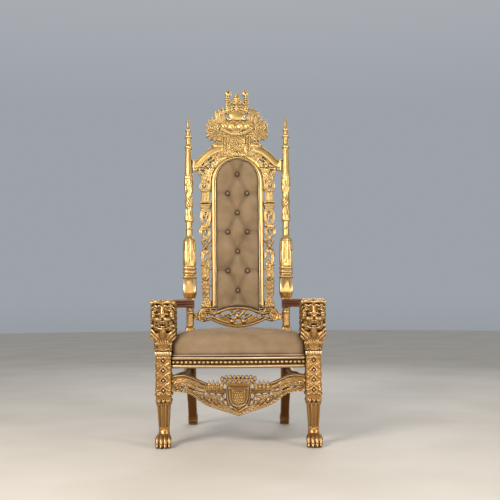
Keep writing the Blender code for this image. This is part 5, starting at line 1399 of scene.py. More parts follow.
@dataclass
class RearStiles:
    """The two turned posts beside the back, each in one with the square leg under it."""

    post_x: float = 0.255
    tip_x: float = 0.268
    length: float = 1.275
    leg_half: float = 0.026
    foot_half: float = 0.023
    heel_y: float = 0.38
    levels: tuple[Triple, ...] = (
        (0.096, 0.0262, 6.0), (0.102, 0.0268, 5.0), (0.112, 0.0262, 4.0), (0.12, 0.0225, 2.5),
        (0.1245, 0.02, 2.0), (0.19, 0.0195, 2.0), (0.1925, 0.0222, 2.0), (0.201, 0.0222, 2.0),
        (0.2035, 0.0195, 2.0), (0.2225, 0.0205, 3.0), (0.2232, 0.0235, 14.0), (0.2695, 0.0235, 14.0),
        (0.272, 0.024, 8.0), (0.285, 0.029, 6.0), (0.3, 0.0345, 8.0), (0.3075, 0.0356, 14.0),
        (0.375, 0.0356, 14.0), (0.3765, 0.033, 5.0), (0.386, 0.033, 5.0), (0.4, 0.032, 4.0),
        (0.447, 0.032, 4.0), (0.459, 0.0345, 4.0), (0.48, 0.0352, 4.0), (0.56, 0.0345, 4.0),
        (0.578, 0.033, 4.0), (0.586, 0.03, 3.5), (0.595, 0.027, 3.0), (0.606, 0.0215, 2.2),
        (0.6126, 0.0185, 2.0), (0.688, 0.0172, 2.0), (0.69, 0.02, 2.0), (0.7, 0.0212, 2.0),
        (0.75, 0.0185, 2.0), (0.769, 0.0175, 2.0), (0.772, 0.019, 2.0), (0.776, 0.0222, 2.0),
        (0.798, 0.0242, 2.0), (0.819, 0.0222, 2.0), (0.823, 0.019, 2.0), (0.845, 0.0185, 2.0),
        (0.862, 0.0205, 2.0), (0.878, 0.0225, 2.0), (0.9, 0.0215, 2.0), (0.923, 0.021, 2.0),
        (0.945, 0.0215, 2.0), (0.947, 0.0225, 2.0), (1.094, 0.016, 2.0), (1.096, 0.018, 2.0),
        (1.101, 0.0212, 2.0), (1.1068, 0.022, 2.0), (1.1125, 0.0205, 2.0), (1.116, 0.015, 2.0),
        (1.1197, 0.0143, 2.0), (1.1537, 0.0135, 2.0), (1.1575, 0.015, 2.0), (1.161, 0.0215, 2.0),
        (1.165, 0.0222, 2.0), (1.169, 0.0212, 2.0), (1.173, 0.0115, 2.0), (1.179, 0.011, 2.0),
        (1.1848, 0.0122, 2.0), (1.1905, 0.0108, 2.0), (1.196, 0.012, 2.0), (1.1985, 0.0172, 2.0),
        (1.2018, 0.0182, 2.0), (1.2052, 0.017, 2.0), (1.209, 0.01, 2.0), (1.2132, 0.0086, 2.0),
        (1.23, 0.0092, 2.0), (1.26, 0.0072, 2.0), (1.27, 0.0058, 2.0), (1.2745, 0.0022, 2.0),
    )

    def post(self) -> bpy.types.Mesh:
        """The right post with the reeds, leaves and knots carved round it."""
        turning = Turning(self.levels)
        turning.reeds(0.128, 0.19, 12, 0.0022)
        turning.reeds(0.2045, 0.221, 12, 0.0016)
        turning.leaves(0.306, 0.2735, 8, 0.0022)
        for low, high in ((0.38, 0.3925), (0.406, 0.4205), (0.428, 0.442)):
            turning.ring((low + high) / 2, (high - low) / 2 + 0.001, 0.0048)
        turning.reeds(0.4065, 0.42, 28, 0.0014)
        turning.reeds(0.4285, 0.4415, 28, 0.0014)
        turning.reeds(0.46, 0.586, 8, 0.0052)
        turning.leaves(0.46, 0.535, 8, 0.0014, 0.5)
        turning.leaves(0.608, 0.584, 8, 0.0024)
        turning.ring(0.65, 0.004, 0.0042)
        turning.reeds(0.615, 0.645, 10, 0.0014)
        turning.reeds(0.655, 0.687, 10, 0.0014)
        turning.leaves(0.6905, 0.768, 6, 0.0024)
        turning.leaves(0.6905, 0.73, 6, 0.0026, 0.5)
        turning.reeds(0.7745, 0.8205, 9, 0.005, twist=5.0)
        turning.reeds(0.8245, 0.844, 12, 0.0012)
        turning.leaves(0.944, 0.848, 6, 0.0024)
        turning.leaves(0.944, 0.885, 6, 0.0026, 0.5)
        turning.ring(0.926, 0.0022, -0.0016)
        turning.reeds(0.95, 1.092, 14, 0.0016)
        for groove in range(5):
            turning.ring(1.124 + 0.0065 * groove, 0.0016, -0.0011)
        turning.reeds(1.0975, 1.116, 20, 0.0012)
        lean = math.atan((self.tip_x - self.post_x) / self.length)

        def place(across: np.ndarray, forward: np.ndarray, up: np.ndarray) -> Grids:
            """World coordinates of the post's own, which lean out a little as they rise."""
            out = self.post_x + up * math.sin(lean) + across * math.cos(lean)
            return BACK(out, up - across * math.sin(lean), forward)

        return thinned(turning.mesh(place), 60_000)

    def leg(self) -> bpy.types.Mesh:
        """The right rear leg, which sweeps back to a rolled foot."""
        clay = Clay((-0.03, 0.165, -0.003), (0.03, 0.386, 0.532), 2.2 * MILLIMETRE, symmetric=False)
        heights = (0.02, 0.048, 0.09, 0.13, 0.165, 0.2, 0.235, 0.27, 0.305, 0.34, 0.45, 0.528)
        behind = (0.33, 0.329, 0.309, 0.282, 0.2585, 0.238, 0.223, 0.212, 0.2045, 0.2, 0.2, 0.2115)
        part, x, y, z = clay.window((-0.03, 0.165, 0.02), (0.03, 0.386, 0.528), 0.0)
        half = np.interp(z, heights,
                         [self.foot_half] * 4 + [self.leg_half - 0.0015] * 3 + [self.leg_half] * 5)
        centre = np.interp(z, heights, behind)
        slope = np.interp(z, heights, np.cos(np.arctan(np.gradient(behind, heights))))
        across, along = np.abs(x) - half, (np.abs(y - centre) - half) * slope
        gap = -least(-across, -along, 0.004)
        clay.join(part, np.maximum(gap, z - 0.528), 0.001)
        roll_y, roll_z, radius = self.heel_y - self.foot_half - 0.006, 0.03, 0.028
        part, x, y, z = clay.window((-0.03, 0.3, 0.0), (0.03, 0.386, 0.07), 0.0)
        roll = np.hypot(y - roll_y, z - roll_z) - radius
        clay.join(part, np.maximum(roll, np.abs(x) - self.foot_half - 0.002), 0.003)
        clay.box((-self.foot_half, roll_y - 0.024, -0.02), (self.foot_half, self.heel_y, 0.016), 0.003)
        for side in (-1, 1):
            spiral = spiral_path((roll_y, roll_z), 0.021, 120, -1.4)
            clay.bar([(side * (self.foot_half + 0.003), y, z) for y, z in spiral], [0.0024, 0.0018], 0.001,
                     cut=True)
            rim = side * (self.leg_half + 0.0002)
            groove = [(rim, y - 0.012, z) for y, z in zip(behind[2:9], heights[2:9])]
            clay.bar(groove, [0.0014], 0.001, cut=True)
        clay.box((-0.1, 0.0, -0.1), (0.1, 0.5, 0.0), 0.0, 0.0004, cut=True)
        x0 = self.post_x - 0.003
        return clay.mesh(lambda x, y, z: (x0 + x, y, z), 14_000)

    def build(self) -> None:
        """Turns the right stile and sets its mirror image on the left."""
        right = joined([self.post(), self.leg()])
        left = mirrored(right)
        piece("right_stile_turned", right, Finish.GOLD, ["rear_stile_right"])
        piece("left_stile_turned", left, Finish.GOLD, ["rear_stile_left"])


@dataclass
class BackCarving:
    """The pierced carving round the back: crest, two strips of fretwork and the lower rail."""

    frame_half: float = 0.141
    side_width: float = 0.0265
    top_width: float = 0.0165
    centre: float = 0.91
    split: float = 0.99
    shoulder: float = 0.2215
    brow_top: float = 0.2275
    brow_drop: float = 0.0275
    gap: float = 0.0004

    def brow(self, across: np.ndarray) -> np.ndarray:
        """The height of the eyebrow moulding's upper edge."""
        return self.brow_top - self.brow_drop * np.abs(across / (self.frame_half - self.side_width)) ** 2.2

    def post_edge(self, up: np.ndarray, radius: float) -> np.ndarray:
        """How far out carving may reach before it meets the post."""
        return 0.255 + up * 0.0102 - radius

    def outside_arch(self, across: np.ndarray, up: np.ndarray) -> np.ndarray:
        """How far a place is outside the frame's arch."""
        return np.hypot(across, np.maximum(up - self.centre, 0)) - self.frame_half - self.gap

    def crest(self) -> bpy.types.Mesh:
        """The crest over the arch, in one with its sloping shoulders."""
        r = Relief((0.0, 0.955), (0.25, 1.433), 1.2 * MILLIMETRE, symmetric=True)
        r.plate([(-0.01, 1.04), (0.082, 1.05), (0.088, 1.1), (0.13, 1.1), (0.131, 1.12), (0.113, 1.126),
                 (0.11, 1.144), (0.125, 1.146), (0.158, 1.16), (0.164, 1.185), (0.164, 1.225),
                 (0.15, 1.248), (0.124, 1.258), (0.112, 1.296), (0.086, 1.305), (0.064, 1.3), (-0.01, 1.3)],
                0.0035)
        self.shoulders(r)
        self.spandrel(r)
        self.centre_panel(r)
        self.manes(r)
        self.helmet(r)
        self.plumes(r)
        self.crown(r)
        r.trim(self.outside_arch)
        r.trim(lambda u, v: np.maximum(u - 0.2125, v - self.split) - self.gap)
        r.trim(lambda u, v: np.minimum(0.2495 - u, self.post_edge(v, 0.0224) + 0.4 * (v > 1.03) - u))
        return r.mesh(0.0138, BACK, 100_000)

    def shoulders(self, r: Relief) -> None:
        """The broad satin bands that slope to the posts, with raised borders and a block at the post."""
        line = [(0.25, 1.002), (0.233, 1.0025), (0.206, 1.016), (0.18, 1.044), (0.155, 1.066),
                (0.13, 1.083), (0.1, 1.093)]
        r.band(line, [0.029, 0.0275, 0.0235, 0.022, 0.0215, 0.02], 0.003, 0.0085, Section.HOLLOW)
        r.band(line, [0.015], 0.003, 0.0095)
        for side in (-1, 1):
            r.band(beside(line, side * 0.0195), [0.003], 0.005, 0.0105)
            r.engrave(beside(line, side * 0.0158), 0.001, 0.0024)
        r.plate([(0.232, 0.969), (0.256, 0.969), (0.256, 1.035), (0.232, 1.035)], 0.014, 0.0022)

    def spandrel(self, r: Relief) -> None:
        """The leaves that fill the corner between the shoulder and the arch, with slots between them."""
        r.plate([(0.05, 1.05), (0.128, 1.075), (0.2, 1.005), (0.215, 0.975), (0.11, 0.975)], 0.004)
        r.band([(0.082, 1.066), (0.102, 1.056), (0.117, 1.041), (0.129, 1.022), (0.137, 1.0),
                (0.141, 0.98)], [0.0085, 0.012, 0.0135, 0.0135, 0.012], 0.0085, 0.005, Section.LEAF, 6,
               0.22)
        r.band([(0.118, 1.06), (0.136, 1.045), (0.152, 1.029), (0.164, 1.012)],
               [0.006, 0.0062, 0.0066, 0.007], 0.009, 0.005)
        r.band([(0.196, 0.986), (0.182, 1.0), (0.167, 1.011), (0.153, 1.014)],
               [0.011, 0.0125, 0.0115, 0.005], 0.009, 0.005, Section.LEAF, 4, 0.25)
        r.band([(0.17, 0.98), (0.16, 0.994), (0.15, 1.002)], [0.01, 0.0105, 0.005], 0.009, 0.005,
               Section.LEAF, 3, 0.25)
        for start, end, width in (
            ((0.1385, 1.047), (0.155, 1.032), 0.0036), ((0.1255, 1.033), (0.143, 1.0195), 0.0036),
            ((0.144, 1.006), (0.146, 0.996), 0.003), ((0.17, 0.996), (0.169, 0.98), 0.0034),
            ((0.18, 1.016), (0.19, 1.005), 0.0026),
        ):
            r.pierce([start, end], [width])

    def centre_panel(self, r: Relief) -> None:
        """Fluted pilasters, the pointed shield with its lozenges, and the palmette under it."""
        r.plate([(-0.01, 1.06), (0.081, 1.06), (0.081, 1.17), (-0.01, 1.17)], 0.0085)
        for fillet in (0.052, 0.06, 0.068, 0.076):
            r.band([(fillet, 1.068), (fillet + 0.0006, 1.165)], [0.0034], 0.0062, 0.008)
        r.band([(0.044, 1.168), (0.082, 1.169)], [0.0046], 0.006, 0.008)
        outline = [(-0.01, 1.162), (0.047, 1.162), (0.046, 1.128), (0.038, 1.102), (0.021, 1.086),
                   (0.0, 1.078), (-0.01, 1.085)]
        r.plate(outline, 0.0095, 0.0075, 0.003)
        for row in range(4):
            for spot in range(3):
                across, up = 0.013 * spot + 0.0065 * (row % 2), 1.102 + 0.0135 * row
                if across < 0.031 - 0.6 * max(0.0, 1.125 - up):
                    r.dome(across, up, 0.0044, 0.005, 0.0095)
        for row in range(6):
            up = 1.088 + 0.015 * row
            r.engrave([(0.0, up), (0.036, up + 0.038)], 0.0011, 0.0012)
            r.engrave([(0.0, up + 0.015), (0.036, up - 0.023)], 0.0011, 0.0012)
        r.beads([(0.0, 1.1655), (0.022, 1.1655), (0.04, 1.165)], 6, 0.0034, 0.005, 0.009)
        for lobe in range(4):
            lean = math.radians(24 * lobe)
            tip = (0.039 * math.sin(lean), 1.096 - 0.035 * math.cos(lean))
            r.band([(0.5 * tip[0], tip[1] + 0.012), tip], [0.004, 0.0058, 0.005], 0.007, 0.006)
        r.band([(0.036, 1.06), (0.052, 1.064), (0.068, 1.06), (0.08, 1.066)], [0.007, 0.008, 0.0075, 0.004],
               0.0085, 0.005, Section.LEAF, 4, 0.2)
        r.band([(0.08, 1.092), (0.088, 1.078), (0.1, 1.068)], [0.0085, 0.008, 0.003], 0.008, 0.006,
               Section.LEAF, 3, 0.2)
        r.oval(0.103, 1.113, 0.028, 0.013, 0.008, 0.01)
        r.band([(0.08, 1.12), (0.1, 1.127), (0.12, 1.124), (0.129, 1.115)], [0.004, 0.0044], 0.006, 0.014)
        r.dome(0.129, 1.117, 0.01, 0.008, 0.011)
        r.pierce([(0.084, 1.136), (0.1, 1.14)], [0.0036, 0.006, 0.0036])

    def manes(self, r: Relief) -> None:
        """The side manes: a scroll, broad strands that end in blunt tips, and three leaves over it."""
        r.plate([(0.08, 1.15), (0.106, 1.146), (0.14, 1.15), (0.16, 1.166), (0.167, 1.195), (0.166, 1.222),
                 (0.154, 1.25), (0.13, 1.268), (0.09, 1.262)], 0.0065)
        for tip, root in (((0.139, 1.276), (0.104, 1.234)), ((0.158, 1.26), (0.12, 1.229)),
                          ((0.169, 1.236), (0.134, 1.218))):
            middle = ((root[0] + tip[0]) / 2 + 0.004, (root[1] + tip[1]) / 2 - 0.004)
            r.band([root, middle, tip], [0.012, 0.013, 0.0028], 0.008, 0.006, Section.LEAF)
        for path in (
            [(0.112, 1.2), (0.142, 1.192), (0.16, 1.192), (0.1715, 1.198)],
            [(0.106, 1.196), (0.132, 1.184), (0.154, 1.176), (0.168, 1.167)],
            [(0.098, 1.194), (0.116, 1.177), (0.138, 1.162), (0.15, 1.148)],
            [(0.089, 1.19), (0.098, 1.172), (0.114, 1.156), (0.124, 1.14)],
        ):
            r.band(path, [0.007, 0.011, 0.011, 0.003], 0.011, 0.005, Section.LEAF)
        r.scroll((0.133, 1.212), 0.025, 200, -1.2, 0.0078, 0.012, 0.009)
        r.band([(0.086, 1.204), (0.099, 1.22), (0.106, 1.24), (0.1, 1.256)], [0.006, 0.009, 0.009, 0.004],
               0.01, 0.008, Section.LEAF)

    def helmet(self, r: Relief) -> None:
        """The lobed cloud under the crown, with a short torse each side of a folded middle."""
        r.plate([(-0.01, 1.2), (0.09, 1.2), (0.094, 1.225), (0.08, 1.246), (-0.01, 1.25)], 0.011)
        for across, up, wide, tall in ((0.024, 1.224, 0.023, 0.019), (0.062, 1.224, 0.02, 0.017)):
            r.oval(across, up, wide, tall, 0.005, 0.011)
            for ray in (-1, 0, 1):
                r.engrave([(across, up - 0.6 * tall), (across + 0.5 * ray * wide, up + 0.6 * tall)], 0.0012,
                          0.002)
        r.band([(0.0, 1.24), (0.014, 1.249), (0.032, 1.248), (0.044, 1.238)], [0.0036], 0.005, 0.014)
        r.band([(0.044, 1.238), (0.058, 1.246), (0.074, 1.242), (0.086, 1.23)], [0.0036], 0.005, 0.014)
        r.band([(0.0, 1.206), (0.024, 1.205), (0.056, 1.21), (0.084, 1.216)], [0.0034], 0.005, 0.014)
        r.oval(0.0, 1.189, 0.03, 0.015, 0.007, 0.011)
        r.band([(0.0, 1.196), (0.014, 1.193), (0.022, 1.199)], [0.0026], 0.004, 0.017)
        r.engrave([(0.0, 1.184), (0.018, 1.186)], 0.0014, 0.0026)
        r.band([(0.082, 1.206), (0.062, 1.196), (0.044, 1.186), (0.026, 1.18)], [0.009, 0.0105, 0.01],
               0.009, 0.013, Section.TWIST, pitch=0.0105)
        r.band([(0.0, 1.174), (0.022, 1.1745), (0.04, 1.1765)], [0.005], 0.006, 0.01)

    def plumes(self, r: Relief) -> None:
        """The broad plumes that stand each side of the crown."""
        r.plate([(0.06, 1.25), (0.066, 1.308), (0.084, 1.32), (0.106, 1.312), (0.12, 1.3), (0.124, 1.262)],
                0.007)
        for path in (
            [(0.072, 1.252), (0.07, 1.282), (0.073, 1.308), (0.08, 1.331)],
            [(0.088, 1.25), (0.089, 1.28), (0.095, 1.304), (0.104, 1.324)],
            [(0.104, 1.246), (0.107, 1.272), (0.114, 1.294), (0.124, 1.313)],
        ):
            r.band(path, [0.011, 0.013, 0.012, 0.0022], 0.011, 0.006, Section.LEAF)

    def crown(self, r: Relief) -> None:
        """The jewelled crown, its stems with pierced discs, the cone, and the oval boss under it."""
        r.plate([(-0.01, 1.305), (0.056, 1.297), (0.064, 1.33), (0.04, 1.345), (0.033, 1.36),
                 (-0.01, 1.372)], 0.007)
        r.oval(0.0, 1.285, 0.044, 0.027, 0.002, 0.009)
        r.oval(0.0, 1.285, 0.037, 0.022, 0.0032, 0.012)
        r.band([(0.0, 1.31), (0.022, 1.306), (0.042, 1.294)], [0.0046], 0.007, 0.012)
        r.band([(0.04, 1.268), (0.064, 1.295)], [0.011, 0.012], 0.004, 0.008, Section.FLAT)
        r.pierce([(0.0445, 1.275), (0.059, 1.293)], [0.006, 0.0088, 0.006])
        r.band([(0.0, 1.335), (0.03, 1.3325), (0.06, 1.3265)], [0.0036], 0.006, 0.01)
        for jewel in (0.023, 0.043):
            r.oval(jewel, 1.323 - 0.1 * jewel, 0.0072, 0.006, 0.0045, 0.009)
        r.plate([(0.0, 1.333), (0.011, 1.323), (0.0, 1.313), (-0.011, 1.323)], 0.013, 0.002)
        r.band([(0.04, 1.348), (0.028, 1.361), (0.014, 1.369), (0.0, 1.372)], [0.006], 0.008, 0.007)
        for bump in ((0.034, 1.359), (0.023, 1.368), (0.011, 1.374)):
            r.dome(bump[0], bump[1], 0.0048, 0.007, 0.008)
        r.band([(0.0, 1.334), (0.0, 1.374)], [0.009, 0.01], 0.008, 0.007)
        r.oval(0.0, 1.379, 0.0165, 0.006, 0.008, 0.009)
        r.band([(0.0, 1.382), (0.0, 1.39), (0.0, 1.417)], [0.0165, 0.013, 0.001], 0.01, 0.005)
        r.band([(0.0515, 1.396), (0.053, 1.316)], [0.01, 0.0115], 0.006, 0.005)
        for ring in range(6):
            r.oval(0.0515 + 0.0003 * ring, 1.387 - 0.013 * ring, 0.0136, 0.0062, 0.009, 0.007)
        r.dome(0.047, 1.4128, 0.0172, 0.007, 0.008)
        r.oval(0.047, 1.4128, 0.011, 0.011, 0.002, 0.008, 0.003)
        r.pierce([(0.047, 1.4128)], [0.004])
        r.pierce([(0.0165, 1.3455), (0.03, 1.3425)], [0.0064, 0.009, 0.0064])

    def strip(self) -> bpy.types.Mesh:
        """The right strip of fretwork, from the lower rail up to the crest's shoulder."""
        r = Relief((0.112, 0.219), (0.213, 0.992), 1.25 * MILLIMETRE)
        self.strip_foot(r)
        self.strip_middle(r)
        self.strip_top(r)
        r.inside += 1.3 * MILLIMETRE
        for tie in ((0.432, 0.436), (0.342, 0.344), (0.792, 0.794), (0.7, 0.7), (0.56, 0.562)):
            r.band([(0.138, tie[0]), (0.156, tie[1])], [0.0048], 0.005, 0.002)
        r.trim(self.outside_arch)
        r.trim(lambda u, v: np.minimum(0.2122 - u, np.minimum(v - self.shoulder,
                                                              self.split - v) - self.gap))
        return r.mesh(0.0088, BACK, 48_000)

    def strip_foot(self, r: Relief) -> None:
        """Ribbed foot leaf, stacked husks, notch and the lower embossed panel."""
        r.band([(0.152, 0.22), (0.156, 0.248), (0.17, 0.274)], [0.022, 0.021, 0.01], 0.0095, 0.002,
               Section.LEAF, 4, 0.25)
        r.band([(0.186, 0.22), (0.184, 0.244), (0.173, 0.274)], [0.01, 0.012, 0.006], 0.0085, 0.003,
               Section.LEAF, 3, 0.25)
        for husk in range(4):
            up, reach = 0.287 + 0.0235 * husk, 0.013 + 0.002 * husk
            r.band([(0.17, up - 0.012), (0.18, up), (0.191 + 0.001 * husk, up + 0.013)],
                   [0.006, 0.8 * reach, 0.0022], 0.009, 0.003, Section.LEAF, 2, 0.2)
            r.band([(0.169, up - 0.012), (0.161, up), (0.154 - 0.001 * husk, up + 0.013)],
                   [0.006, 0.7 * reach, 0.0022], 0.009, 0.003, Section.LEAF, 2, 0.2)
            r.dome(0.17, up - 0.006, 0.0052, 0.006, 0.006)
        r.band([(0.16, 0.383), (0.173, 0.372), (0.186, 0.383)], [0.0045, 0.006, 0.0045], 0.009, 0.003)
        self.panel(r, 0.4165, 0.036)

    @staticmethod
    def panel(r: Relief, up: float, tall: float) -> None:
        """A bordered panel with a small repeat of lozenges and dots."""
        left, right = 0.1535, 0.1925
        r.plate([(left, up - tall), (right, up - tall), (right, up + tall), (left, up + tall)], 0.0062,
                0.003, 0.0022)
        rows = round(2 * (tall - 0.006) / 0.0115)
        for row in range(rows):
            middle = up + (row - (rows - 1) / 2) * 0.0115
            r.plate([(0.173, middle + 0.0052), (0.1792, middle), (0.173, middle - 0.0052),
                     (0.1668, middle)], 0.0085, 0.0015)
            for across in (0.1605, 0.1855):
                r.dome(across, middle, 0.0028, 0.0036, 0.0055)
                r.dome(across, middle + 0.00575, 0.0018, 0.0026, 0.0055)

    @staticmethod
    def strip_middle(r: Relief) -> None:
        """Dotted collar, scroll with a curled end, crossing stems, ring with a leaf, large scroll."""
        r.band([(0.154, 0.456), (0.174, 0.454), (0.192, 0.456)], [0.006, 0.007, 0.006], 0.008, 0.004)
        r.pierce([(0.164, 0.455)], [0.0024])
        r.pierce([(0.182, 0.455)], [0.0024])
        r.band([(0.164, 0.453), (0.182, 0.468), (0.188, 0.49), (0.184, 0.513), (0.172, 0.527)],
               [0.012, 0.009, 0.007, 0.008, 0.0095], 0.01, 0.0025, Section.HOLLOW)
        r.band([(0.178, 0.528), (0.193, 0.519), (0.199, 0.505)], [0.008, 0.0085, 0.002], 0.009, 0.003,
               Section.LEAF, 4, 0.4)
        r.band([(0.172, 0.528), (0.154, 0.522), (0.147, 0.507), (0.143, 0.495)],
               [0.009, 0.0065, 0.006, 0.008], 0.009, 0.002, Section.HOLLOW)
        r.scroll((0.161, 0.485), 0.01, 300, 1.3, 0.0034, 0.008, 0.003)
        r.band([(0.161, 0.478), (0.166, 0.46)], [0.005, 0.01], 0.008, 0.002, Section.LEAF)
        r.band([(0.154, 0.532), (0.17, 0.552), (0.184, 0.57), (0.193, 0.586)],
               [0.0058, 0.0052, 0.006, 0.003], 0.009, 0.003, Section.RIDGE)
        r.band([(0.188, 0.534), (0.173, 0.556), (0.158, 0.574), (0.15, 0.59)],
               [0.0058, 0.0052, 0.006, 0.005], 0.01, 0.0035, Section.RIDGE)
        r.dome(0.1715, 0.557, 0.008, 0.008, 0.006)
        r.band([(0.15, 0.588), (0.168, 0.596), (0.184, 0.61)], [0.007, 0.01, 0.006], 0.01, 0.003,
               Section.LEAF, 3, 0.2)
        r.band([(0.19, 0.584), (0.178, 0.596), (0.168, 0.606)], [0.005, 0.006, 0.005], 0.009, 0.003)
        r.band([(0.168, 0.602), (0.155, 0.617), (0.154, 0.639), (0.168, 0.655), (0.185, 0.656),
                (0.197, 0.645), (0.198, 0.627), (0.185, 0.611)],
               [0.007, 0.0066, 0.0062, 0.007, 0.008, 0.0078, 0.007, 0.0056], 0.01, 0.0025, Section.HOLLOW)
        r.band([(0.18, 0.65), (0.174, 0.638), (0.176, 0.624)], [0.007, 0.007, 0.002], 0.009, 0.003,
               Section.LEAF, 3, 0.3)
        r.band([(0.154, 0.669), (0.174, 0.669), (0.196, 0.665)], [0.008, 0.0095, 0.007], 0.01, 0.003)
        r.band([(0.176, 0.674), (0.19, 0.69), (0.196, 0.715), (0.19, 0.741), (0.174, 0.753), (0.157, 0.748),
                (0.149, 0.728), (0.151, 0.702), (0.16, 0.68)],
               [0.0074, 0.0062, 0.0064, 0.008, 0.0085, 0.0085, 0.0074, 0.0078, 0.008], 0.01, 0.0025,
               Section.HOLLOW)
        r.band([(0.186, 0.743), (0.18, 0.728), (0.182, 0.714)], [0.008, 0.0078, 0.002], 0.009, 0.003,
               Section.LEAF, 3, 0.3)
        r.band([(0.16, 0.738), (0.169, 0.718), (0.163, 0.698)], [0.006, 0.007, 0.005], 0.008, 0.003,
               Section.LEAF, 4, 0.3)

    def strip_top(self, r: Relief) -> None:
        """Banded vase, bowl, upper panel, pierced scroll and the leaves under the shoulder."""
        for ring, (up, wide) in enumerate(((0.759, 0.0185), (0.767, 0.0205), (0.7755, 0.0235),
                                           (0.784, 0.0265))):
            r.band([(0.173 - wide, up), (0.173 + wide, up)], [0.0046], 0.0075, 0.004 + 0.0004 * ring)
        r.band([(0.147, 0.796), (0.173, 0.8), (0.199, 0.796)], [0.004, 0.0052, 0.004], 0.008, 0.004)
        r.pierce([(0.159, 0.7915), (0.173, 0.79), (0.187, 0.7915)], [0.001, 0.0028, 0.001])
        self.panel(r, 0.829, 0.031)
        r.band([(0.15, 0.863), (0.196, 0.863)], [0.0042], 0.008, 0.005)
        r.band([(0.186, 0.866), (0.198, 0.878), (0.1965, 0.896), (0.182, 0.908), (0.166, 0.904),
                (0.159, 0.888), (0.163, 0.871), (0.172, 0.865)],
               [0.0066, 0.006, 0.007, 0.0078, 0.0082, 0.0076, 0.0066, 0.006], 0.01, 0.0025, Section.HOLLOW)
        r.band([(0.18, 0.9), (0.181, 0.886)], [0.0072, 0.004], 0.009, 0.003, Section.LEAF)
        r.band([(0.15, 0.866), (0.146, 0.9), (0.142, 0.935)], [0.006, 0.0085, 0.011], 0.008, 0.002,
               Section.LEAF, 5, 0.2)
        r.band([(0.174, 0.906), (0.175, 0.926), (0.17, 0.95)], [0.017, 0.023, 0.022], 0.0095, 0.002,
               Section.LEAF, 5, 0.25)
        r.band([(0.188, 0.942), (0.202, 0.966), (0.206, 0.985)], [0.011, 0.0115, 0.009], 0.009, 0.002,
               Section.LEAF, 4, 0.25)
        r.band([(0.15, 0.938), (0.152, 0.964), (0.142, 0.992)], [0.016, 0.019, 0.022], 0.0085, 0.002,
               Section.LEAF, 4, 0.2)
        r.band([(0.206, 0.988), (0.188, 0.986), (0.164, 0.978)], [0.008, 0.01, 0.011], 0.009, 0.0025)
        r.pierce([(0.194, 0.947), (0.198, 0.952)], [0.0032])
        r.pierce([(0.175, 0.952), (0.179, 0.962)], [0.0036])
        r.pierce([(0.178, 0.978), (0.196, 0.977)], [0.0026, 0.0034, 0.0026])

    def lower(self) -> bpy.types.Mesh:
        """The lower rail: eyebrow moulding, scrolled ends, scaled crescent and tracery."""
        r = Relief((0.0, 0.108), (0.252, 0.229), 1.2 * MILLIMETRE, symmetric=True)
        brow = [(0.123 - 0.0205 * k, float(self.brow(min(0.114,
                                                         0.123 - 0.0205 * k))) - 0.0072) for k in range(7)]
        r.band(brow, [0.0072], 0.01, 0.006)
        r.band(beside(brow, -0.0052), [0.002], 0.0045, 0.013)
        crescent = [(0.16, 0.178), (0.132, 0.166), (0.1, 0.152), (0.064, 0.14), (0.032, 0.1335),
                    (0.0, 0.131)]
        r.band(crescent, [0.01, 0.014, 0.016], 0.002, 0.004, Section.FLAT)
        r.band(beside(crescent, -0.006), [0.007, 0.01, 0.0115], 0.008, 0.005, Section.TWIST, pitch=0.011)
        r.band(beside(crescent, 0.009), [0.006, 0.0078, 0.008], 0.008, 0.006, Section.ROUND, 15, 0.3)
        self.volute(r)
        peg = [(0.202, 0.156), (0.23, 0.156), (0.23, 0.165), (0.256, 0.165), (0.256, 0.189), (0.23, 0.189),
               (0.23, 0.196), (0.202, 0.196)]
        r.plate(peg, 0.01, 0.003, 0.0024)
        self.tracery(r)
        r.trim(lambda u, v: np.where(u < 0.1146, self.brow(u) - v, self.shoulder - v) - self.gap)
        r.trim(lambda u, v: np.minimum(0.25 - u, self.post_edge(v, 0.02) - u))
        return r.mesh(0.0118, BACK, 52_000)

    @staticmethod
    def volute(r: Relief) -> None:
        """The scrolled end of the lower rail, with a round eye and a leaf folded over it."""
        r.plate([(0.118, 0.186), (0.128, 0.224), (0.17, 0.2285), (0.205, 0.206), (0.214, 0.18),
                 (0.204, 0.152), (0.178, 0.146), (0.15, 0.158)], 0.0035)
        outer = [(0.118, 0.216), (0.148, 0.222), (0.172, 0.218), (0.197, 0.206), (0.209, 0.186),
                 (0.205, 0.164), (0.188, 0.154)]
        r.band(outer, [0.0066, 0.0085, 0.0095, 0.0095, 0.009, 0.008, 0.007], 0.009, 0.005)
        r.scroll((0.185, 0.176), 0.021, 300, 1.1, 0.0074, 0.01, 0.006)
        r.dome(0.187, 0.175, 0.0135, 0.01, 0.008)
        for shift in (0.0, 0.0105):
            fold = [(0.193 - shift, 0.201), (0.172, 0.208 - shift), (0.15, 0.204 - shift),
                    (0.132, 0.193 - 0.6 * shift), (0.116, 0.19)]
            r.band(fold, [0.005, 0.0058, 0.0056, 0.005], 0.009, 0.006)
        r.band([(0.148, 0.214), (0.14, 0.202), (0.128, 0.196)], [0.006, 0.0066, 0.004], 0.009, 0.006)
        r.band([(0.176, 0.157), (0.16, 0.158), (0.144, 0.166)], [0.007, 0.0066, 0.0066], 0.009, 0.004)
        r.pierce([(0.144, 0.18), (0.162, 0.176)], [0.0036, 0.0058, 0.004])
        r.pierce([(0.133, 0.207), (0.136, 0.209)], [0.003])

